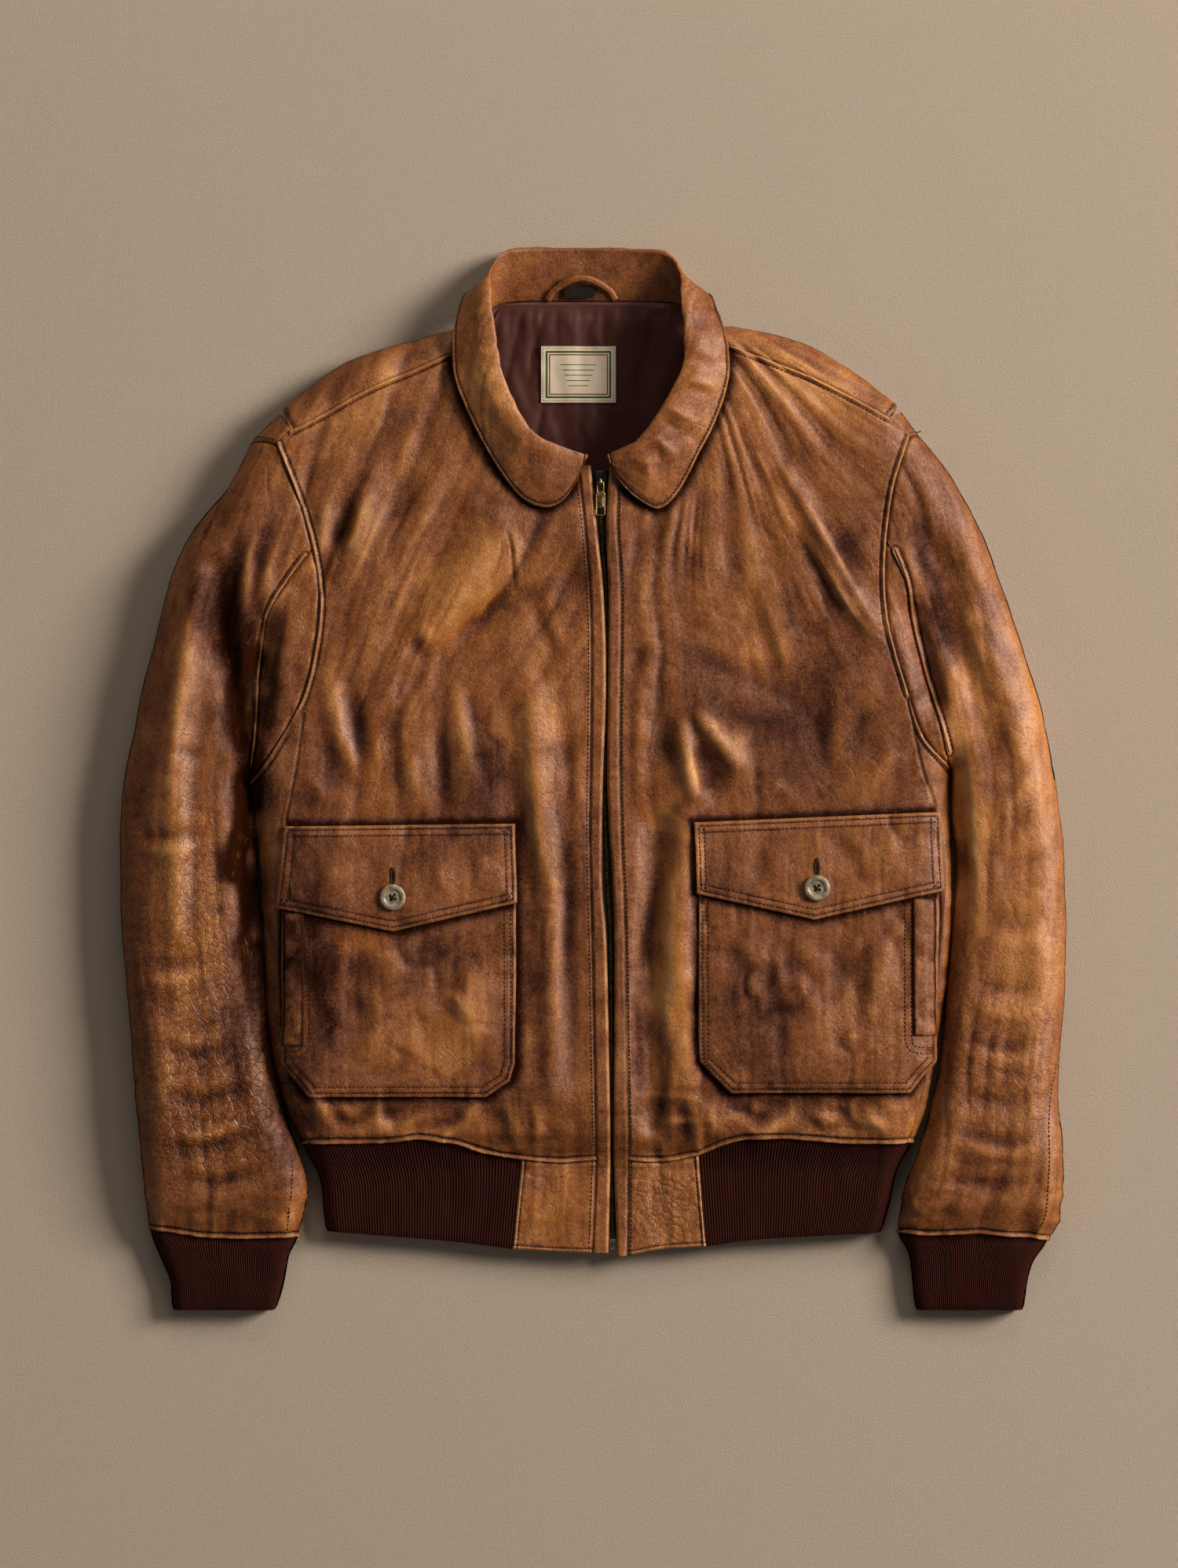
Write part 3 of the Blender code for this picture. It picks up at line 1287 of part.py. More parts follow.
def centre_in_plan():
    """Moves every piece so that the middle of the whole, seen from above, is at the origin."""
    bpy.context.view_layer.update()
    state = bpy.context.evaluated_depsgraph_get()
    low, high = np.full(2, 1e9), np.full(2, -1e9)
    for thing in parts_collection().objects:
        if thing.type != "MESH":
            continue
        shape = thing.evaluated_get(state)
        for corner in shape.bound_box:
            place_of = (shape.matrix_world @ Vector(corner))[:2]
            low, high = np.minimum(low, place_of), np.maximum(high, place_of)
    middle = 0.5 * (low + high)
    for group in (parts_collection(), cutters_collection()):
        for thing in group.objects:
            if thing.parent is None:
                thing.location.x -= middle[0]
                thing.location.y -= middle[1]
    bpy.context.view_layer.update()


def main():
    for thing in list(bpy.data.objects):
        bpy.data.objects.remove(thing, do_unlink=True)
    back_panel()
    for side in (LEFT, RIGHT):
        front_panel(side)
        side_panel(side)
        pleat(side)
        sleeve(side)
        gusset(side)
        cuff(side)
        waist_tab(side)
        strip(("placket_l", "placket_r")[side], PLACKET_SEAM, PLACKET_EDGE, side,
              opening_rows(), "leather")
        strip(("tab_strip_l", "tab_strip_r")[side], TAB_SEAM, TAB_EDGE, side,
              even(3)[::-1], "leather_trim")
        pocket(side)
        welt(side)
        flap(side)
    waist_knit()
    stand, normals = collar()
    zip_parts()
    lining()
    label()
    size_tag(stand)
    hang_loop(stand)
    snaps(stand, normals)
    centre_in_plan()


main()
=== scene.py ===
import bpy
import numpy as np
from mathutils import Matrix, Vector


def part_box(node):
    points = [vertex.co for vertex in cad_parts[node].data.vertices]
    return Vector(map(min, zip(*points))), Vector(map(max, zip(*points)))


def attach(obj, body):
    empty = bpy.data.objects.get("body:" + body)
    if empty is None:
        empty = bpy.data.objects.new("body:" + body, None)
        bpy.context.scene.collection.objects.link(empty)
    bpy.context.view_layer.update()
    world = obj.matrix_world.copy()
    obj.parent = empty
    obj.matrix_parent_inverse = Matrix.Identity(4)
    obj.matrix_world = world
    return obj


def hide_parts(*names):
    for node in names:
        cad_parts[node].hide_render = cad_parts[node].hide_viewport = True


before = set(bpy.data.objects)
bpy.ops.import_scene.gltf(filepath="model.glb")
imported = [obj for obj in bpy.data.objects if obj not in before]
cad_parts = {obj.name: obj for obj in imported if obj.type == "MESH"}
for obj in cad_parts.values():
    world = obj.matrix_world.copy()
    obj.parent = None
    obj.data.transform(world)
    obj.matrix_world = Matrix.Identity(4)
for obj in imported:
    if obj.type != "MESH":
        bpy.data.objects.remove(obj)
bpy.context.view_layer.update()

left, right = 0, 1
sideName = ("l", "r")
turnOf = (1, -1)
leather = {"wall": 2.0, "knitWall": 2.6, "collarWall": 1.4, "pocketWall": 1.6,
           "flapWall": 1.8, "liningWall": 1.0, "layGap": 0.8, "seamGap": 0.4}

# All tables are in millimetres: x across the chest, y from the hem to the collar, z up.
# The two skins: the upper side's height over the plan, and the side that lies on the floor.
skinShape = {"edgeShare": 0.40, "frontRound": 0.72, "backRound": 0.42, "onLine": 1.0,
             "neckLift": 2.4, "neckFrom": 318.0, "neckTo": 350.0,
             "opening": 13.0}
heights = np.array((
    (-410, 17, 16), (-352, 17, 17), (-342, 17, 22), (-325, 18, 29), (-296, 19, 33),
    (-284, 23, 34), (-270, 31, 35), (-252, 36, 35), (-232, 38, 36), (-60, 38, 37),
    (0, 38, 38), (220, 38, 38), (300, 34, 34), (360, 29, 29)), dtype=float)

# Largest folds, which the frame has too: x and y of both ends, half width, height
bigFolds = {
    "left armpit valley": (-249, 122, -254, 46, 10, -12),
    "right armpit valley": (245, 126, 262, 60, 9, -8),
    "left chest band": (-84, 194, -132, 92, 24, 4),
    "left chest hollow": (-20, 156, -134, 78, 16, -5),
    "left zip ridge": (-46, 66, -28, -236, 13, 4),
    "right zip valley": (50, -36, 46, -262, 11, -7),
    "right zip ridge": (72, -20, 68, -150, 10, 3),
    "right tent, left leg": (69, 40, 80, -10, 8, 5),
    "right tent, right leg": (86, 46, 108, 12, 9, 5),
    "right chest drag": (150, 232, 218, 112, 9, 3),
    "left chest drag": (-168, 232, -192, 160, 10, 3),
    "left sleeve ridge": (-297, 176, -318, 20, 12, 4),
    "left sleeve hollow": (-286, 160, -269, 34, 10, -6),
    "left elbow ridge": (-318, 20, -316, -110, 14, 3),
    "right sleeve hollow": (262, 170, 300, 62, 13, -4),
    "right sleeve ridge": (292, 160, 322, 20, 14, 3),
}

# Seams and outlines, a row for each station: left x, left y, right x, right y
seams = {
    "shoulderFold": ((-86, 349, 90, 350), (-127, 339, 122, 345), (-184, 321, 163, 335),
                     (-219, 299, 205, 311), (-237, 285, 235, 287)),
    "pleatFold": ((-238.5, 280, 237, 281.5), (-247, 270, 243, 274), (-259, 258, 252, 263)),
    "shoulderSeam": ((-88, 335, 94, 336), (-127, 317, 122, 326), (-173, 297, 168, 308),
                     (-207, 278, 202, 291), (-228, 267, 227, 277)),
    "shoulderTip": ((-228, 267, 227, 277), (-234, 261, 235, 270), (-239, 256, 243, 262)),
    "sleeveHead": ((-239, 256, 243, 262), (-249, 259, 248, 264), (-259, 258, 252, 263)),
    "armhole": ((-239, 256, 243, 262), (-219, 203, 230, 221), (-208, 155, 224, 165),
                (-208, 115, 227, 120), (-219, 65, 240, 72), (-241, 24, 253, 34),
                (-261, -3, 275, 9)),
    "backArmhole": ((-249, 246, 246, 250), (-236, 215, 240, 222), (-228, 160, 234, 165),
                    (-229, 110, 236, 112), (-237, 60, 246, 66), (-248, 22, 261, 32),
                    (-261, -3, 275, 9)),
    "gussetSeam": ((-216, 173, 230, 178), (-232, 151, 240, 152), (-247, 124, 245, 122),
                   (-253, 82, 254, 84), (-255, 42, 265, 48), (-258, 7, 273, 19)),
    "sleeveOuter": ((-259, 258, 252, 263), (-276, 226, 276, 232), (-304, 191, 300, 188),
                    (-320, 158, 316, 142), (-335, 104, 332, 96), (-346, 55, 346, 46),
                    (-357, -2, 358, -18), (-360, -60, 362, -84), (-357, -130, 362, -150),
                    (-350, -228, 357, -238), (-345, -280, 361, -275), (-341, -325, 360, -330),
                    (-339, -343, 350, -352)),
    "sleeveInner": ((-261, -3, 275, 9), (-257, -34, 275.4, -24), (-253.4, -88, 278, -72),
                    (-249.3, -150, 274.3, -134), (-245.2, -204, 266.3, -208),
                    (-233, -256, 257.6, -254), (-223, -284, 248, -284),
                    (-217, -312, 237, -316), (-223, -349, 233, -346)),
    "cuffSeam": ((-339, -343, 350, -352), (-301, -349, 300, -347), (-262, -350, 262, -348),
                 (-223, -349, 233, -346)),
    "cuffOuter": ((-339, -343, 350, -352), (-330, -362, 338, -368), (-321, -384, 333, -386),
                  (-320, -405, 331, -405)),
    "cuffInner": ((-223, -349, 233, -346), (-231, -362, 243, -362), (-235, -384, 246, -384),
                  (-241, -405, 248, -405)),
    "bodyEdge": ((-261, -3, 275, 9), (-255.7, -34, 274, -24), (-252, -88, 276.6, -72),
                 (-248, -150, 273, -134), (-244, -204, 265, -208), (-231, -256, 256, -254),
                 (-221, -278, 247, -277)),
    "sideSeam": ((-219, 50, 242, 60), (-225, 8, 252, 10), (-233, -36, 265, -26),
                 (-238, -100, 270, -80), (-238, -154, 266, -133), (-235, -204, 259, -212),
                 (-226, -252, 250, -256), (-215, -277, 241, -277)),
    "backSide": ((-212, -8, 224, -2), (-206, -90, 220, -90), (-200, -190, 214, -190),
                 (-190, -278, 208, -278)),
    "backFold": ((-237, 285, 235, 287), (-214, 240, 218, 246), (-203, 170, 210, 176),
                 (-202, 100, 210, 100), (-207, 40, 217, 44), (-212, -8, 224, -2)),
    "tabTop": ((4, -290, 29, -290), (-25, -292, 55, -291), (-53, -289, 82, -286)),
    "knitTop": ((-53, -289, 82, -286), (-79, -285, 106, -277), (-105, -277, 130, -273),
                (-132, -274, 152, -274), (-160, -277, 196, -277), (-215, -277, 241, -277)),
    "waistSideTop": ((-215, -277, 241, -277), (-221, -278, 247, -277)),
    "tabHem": ((1, -361, 28, -363), (-28, -360, 55, -358), (-60, -358, 88, -356)),
    "knitHem": ((-60, -358, 88, -356), (-110, -352, 126, -351), (-159, -348, 176, -348),
                (-197, -345, 216, -346)),
    "waistEdge": ((-221, -278, 247, -277), (-207, -304, 234, -298), (-204, -330, 229, -322),
                  (-202, -345, 222, -346)),
    "backNeck": ((-86, 349, 90, 350), (-77, 360, 77, 360), (-54, 365.5, 52, 365.5),
                 (0, 366, 0, 366)),
    "placketSeam": ((-10, 240, 22, 240), (-5, 197, 20, 197), (0, 127, 23, 140),
                    (0, 31, 22, 31), (-1, -40, 23, -40), (1, -128, 26, -118),
                    (4, -290, 29, -290)),
    "placketEdge": ((0, 240, 14, 240), (4.5, 193, 11.5, 193), (10, 136, 13.5, 140),
                    (11.5, 70, 13.2, 70), (9, -7, 12.5, -7), (8.5, -78, 16.5, -78),
                    (12, -128, 18, -128), (14.5, -247, 17.5, -247), (15, -290, 17.5, -290)),
    "tabEdge": ((15, -290, 17.5, -290), (13.5, -361, 20, -364)),
    "tabSeam": ((4, -290, 29, -290), (1, -361, 28, -363)),
}

# Folded collar, a row for each station from the front end to the middle of the back:
# neck seam x, y, z; roll crest x, y, z; height of the leaf's bend; leaf edge x, y, z
collarRows = {
    left: (
        (-8, 241, 36, -3, 247, 41.5, 44.5, -4.5, 241.5, 43),
        (-15, 243, 36, -9, 250, 44, 46, -12, 226, 41),
        (-24, 247, 36, -20, 254, 46.5, 49, -23, 212, 41),
        (-33, 251, 36, -32, 258, 48, 51, -37, 208, 41),
        (-46, 259, 36, -43, 265, 49, 52, -54, 216, 41),
        (-60, 272, 35.5, -54, 278, 49, 53, -71, 238, 41),
        (-73, 290, 34, -62, 295, 49, 53, -90, 272, 40.5),
        (-82, 312, 32, -69, 316, 49, 53, -104, 307, 39),
        (-84, 332, 27, -73, 341, 47, 51, -106, 334, 36),
        (-82, 350, 17, -76, 369, 39, 43, -103, 356, 26),
        (-76, 361.5, 8, -76, 388, 27, 28, -95, 372, 12),
        (-64, 366, 5.4, -66, 402, 17, 2, -78, 360, 0),
        (-40, 367, 5.2, -40, 404.5, 12, 0.6, -52, 350, 0),
        (0, 367, 5.2, 0, 405, 11, 0, 0, 346, 0)),
    right: (
        (20, 241, 36, 13, 247, 41.5, 44.5, 14.5, 241, 43),
        (26, 243, 36, 19, 250, 44, 46, 22, 228, 41),
        (34, 247, 36, 27, 254, 46.5, 49, 36, 214, 41),
        (42, 253, 36, 35, 258, 48, 51, 52, 207, 41),
        (54, 262, 36, 45, 270, 49, 52, 67, 220, 41),
        (66, 274, 35.5, 54, 284, 49, 53, 83, 250, 41),
        (79, 290, 34, 63, 300, 49, 53, 96, 276, 40.5),
        (88, 312, 32, 71, 319, 49, 53, 105, 305, 39),
        (89, 333, 27, 71, 345, 47, 51, 105, 332, 36),
        (84, 350, 17, 68, 369, 39, 43, 99, 354, 26),
        (76, 361.5, 8, 68, 386, 27, 30, 91, 372, 13),
        (62, 366, 5.4, 59, 400, 16.5, 1, 72, 359, 0),
        (38, 367, 5.2, 34, 404, 12, 0.6, 46, 350, 0)),
}

# Patch pockets: y, inner or left edge, right edge, top row to bottom row
pocketRows = {
    left: ((-46, -233, -58), (-95, -234, -57), (-150, -235, -57), (-200, -234, -58),
           (-216, -234, -58), (-229, -224, -62), (-241, -214, -80)),
    right: ((-40, 81, 264), (-95, 82, 264), (-150, 82, 263), (-196, 82, 262),
            (-214, 83, 262), (-226, 94, 252), (-238, 107, 243)),
}
# Flaps: top inner and outer corner, bottom outer corner, point, bottom inner corner
flapCorners = {
    left: ((-58, -33), (-233, -35), (-238, -97), (-151, -115), (-56, -93)),
    right: ((78, -32), (265, -24), (267, -84), (170, -106), (80, -86)),
}

labelBox = (-38, 19, 289, 332)
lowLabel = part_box("label")[0]
planShift = np.array((lowLabel[0] * 1000 - labelBox[0], lowLabel[1] * 1000 - labelBox[2], 0.0))


def lineOf(name, side):
    rows = np.array(seams[name], dtype=float)
    return rows[:, 2 * side:2 * side + 2]


def runOf(points):
    # Length along a line at each of its points.
    steps = np.linalg.norm(np.diff(points, axis=0), axis=1)
    return np.concatenate([[0], np.cumsum(steps)])


def smooth(points, shares):
    # Points at shares of the length of the smooth cubic curve through the given points.
    p = np.asarray(points, dtype=float)
    if len(p) == 2:
        fine = p[0] + np.linspace(0, 1, 24)[:, None] * (p[1] - p[0])
    else:
        t = np.linspace(0, 1, 24, endpoint=False)[None, :, None]
        a, b = p[:-1, None], p[1:, None]
        before = np.vstack([2 * p[0] - p[1], p[:-2]])[:, None]
        after = np.vstack([p[2:], 2 * p[-1] - p[-2]])[:, None]
        fine = (a + 0.5 * t * (b - before) + t ** 2 * (before - 2.5 * a + 2 * b - 0.5 * after)
                + t ** 3 * (1.5 * a - 0.5 * before - 1.5 * b + 0.5 * after))
        fine = np.vstack([fine.reshape(-1, p.shape[1]), p[-1:]])
    return resampled(fine, shares)


def resampled(line, shares):
    # Points at shares of the length of a line of short straight runs.
    run = runOf(line)
    at = np.asarray(shares, dtype=float) * run[-1]
    return np.stack([np.interp(at, run, line[:, k]) for k in range(line.shape[1])], axis=1)


def even(count):
    return np.linspace(0, 1, count + 1)


def dense(length, pitch, edgePitch=0.7, reach=7.0, ends="both"):
    # Shares along a line, pitch apart, and edgePitch apart within reach of its ends.
    low = reach if ends in ("both", "start") else 0.0
    high = reach if ends in ("both", "end") else 0.0
    middle = max(length - low - high, pitch)
    parts = [np.linspace(0, low, int(low / edgePitch) + 1)] if low else [np.zeros(1)]
    parts.append(low + np.linspace(0, middle, int(middle / pitch) + 1)[1:])
    if high:
        parts.append(low + middle + np.linspace(0, high, int(high / edgePitch) + 1)[1:])
    run = np.concatenate(parts)
    return run / run[-1]


def seam(name, side, shares):
    return smooth(lineOf(name, side), shares)


def joined(*lines):
    return np.vstack([lines[0]] + [line[1:] for line in lines[1:]])


def coons(bottom, top, start, end):
    # Coons patch between four lines: rows from bottom to top, columns from start to end.
    v = (0.5 * (runOf(start) / runOf(start)[-1] + runOf(end) / runOf(end)[-1]))[:, None, None]
    u = (0.5 * (runOf(bottom) / runOf(bottom)[-1] + runOf(top) / runOf(top)[-1]))[None, :, None]
    return ((1 - u) * start[:, None] + u * end[:, None] + (1 - v) * bottom[None]
            + v * top[None] - ((1 - u) * (1 - v) * bottom[0] + u * (1 - v) * bottom[-1]
                               + (1 - u) * v * top[0] + u * v * top[-1]))


def nearest(plan, line, reach):
    # Distance of plan points from a line, which side they lie on, share along it and the
    # direction towards it. Points further off than reach keep a very large distance.
    flat = plan.reshape(-1, 2)
    away = np.full(len(flat), 1e9)
    signed = np.zeros(len(flat))
    share = np.zeros(len(flat))
    toward = np.zeros((len(flat), 2))
    run = runOf(line)
    for first in range(0, len(line) - 1, 6):
        chunk = line[first:first + 7]
        low, high = chunk.min(axis=0) - reach, chunk.max(axis=0) + reach
        near = np.nonzero(((flat >= low) & (flat <= high)).all(axis=1))[0]
        if not len(near):
            continue
        points = flat[near]
        for k, (a, b) in enumerate(zip(chunk[:-1], chunk[1:])):
            step = b - a
            length = max(float(np.hypot(*step)), 1e-6)
            t = np.clip(((points - a) @ step) / length ** 2, 0, 1)
            gap = a + t[:, None] * step - points
            far = np.hypot(gap[:, 0], gap[:, 1])
            closer = far < away[near]
            at = near[closer]
            away[at] = far[closer]
            cross = (step[0] * -gap[closer, 1] + step[1] * gap[closer, 0]) / length
            signed[at] = np.where(cross < 0, -far[closer], far[closer])
            share[at] = (run[first + k] + t[closer] * length) / run[-1]
            across = np.array((step[1], -step[0])) / length
            unit = gap[closer] / np.maximum(far[closer], 1e-9)[:, None]
            toward[at] = np.where(far[closer][:, None] > skinShape["onLine"], unit, across)
    shape = plan.shape[:-1]
    return (away.reshape(shape), signed.reshape(shape), share.reshape(shape),
            toward.reshape(shape + (2,)))


def outlines(kind, side):
    over = np.vstack([seam("shoulderFold", side, even(24)), seam("pleatFold", side, even(6)),
                      seam("sleeveOuter", side, even(60)), seam("cuffOuter", side, even(8))])
    names = (("sleeveInner", 40), ("cuffInner", 8)) if kind == "sleeve" else (
        ("bodyEdge", 40), ("waistEdge", 10))
    under = np.vstack([seam(name, side, even(count)) for name, count in names])
    under = under[::-1] if kind == "sleeve" else under
    return [over, under] if side == left else [over[::-1], under[::-1]]


outlineOf = {kind: outlines(kind, left) + outlines(kind, right) for kind in ("body", "sleeve")}


def openHeight(plan, kind):
    # Height of the upper side away from its outline, with the largest folds as soft bells.
    total = np.interp(plan[..., 1], heights[:, 0], heights[:, 1 if kind == "body" else 2])
    for x1, y1, x2, y2, half, rise in bigFolds.values():
        away = nearest(plan, np.array([(x1, y1), (x2, y2)], dtype=float), 3.2 * half)[0]
        total = total + rise * np.exp(-(np.minimum(away, 1e3) / half) ** 2)
    return total


def skin(plan, kind="body", face="front"):
    # Points and outward normals of a skin: a quarter round at the outline that runs into
    # the open height on the front, and into the floor at the back. Gives the distance in too.
    height = np.interp(plan[..., 1], heights[:, 0], heights[:, 1 if kind == "body" else 2])
    edge = skinShape["edgeShare"] * height
    away, outward = np.full(plan.shape[:-1], 1e9), np.zeros(plan.shape)
    for line in outlineOf[kind]:
        gap, _, _, toward = nearest(plan, line, 32.0)
        closer = gap < away
        outward[closer] = toward[closer]
        away = np.minimum(away, gap)
    away = np.where(away < skinShape["onLine"], 0, away)
    reach = skinShape["frontRound" if face == "front" else "backRound"] * height
    share = np.clip(away / reach, 0, 1)
    bow = np.sqrt(1 - (1 - share) ** 2)
    lean = ((1 - share) / reach)[..., None] * outward
    if face == "front":
        top = openHeight(plan, kind)
        level = edge + (top - edge) * bow
        slope = [(openHeight(plan + step, kind) - openHeight(plan - step, kind)) / 2
                 for step in (np.array((1.0, 0)), np.array((0, 1.0)))]
        rise = bow / (top - edge)
        lean = lean - (rise * bow)[..., None] * np.stack(slope, axis=-1)
    else:
        level = edge * (1 - bow)
        rise = -bow / edge
        if kind == "body":
            low, high = skinShape["neckFrom"], skinShape["neckTo"]
            step = np.clip((plan[..., 1] - low) / (high - low), 0, 1)
            level = np.maximum(level, skinShape["neckLift"] * step * step * (3 - 2 * step))
    normal = np.concatenate([lean, rise[..., None]], axis=-1)
    normal /= np.linalg.norm(normal, axis=-1, keepdims=True)
    return np.concatenate([plan, level[..., None]], axis=-1), normal, away


print("tables and skins ready")

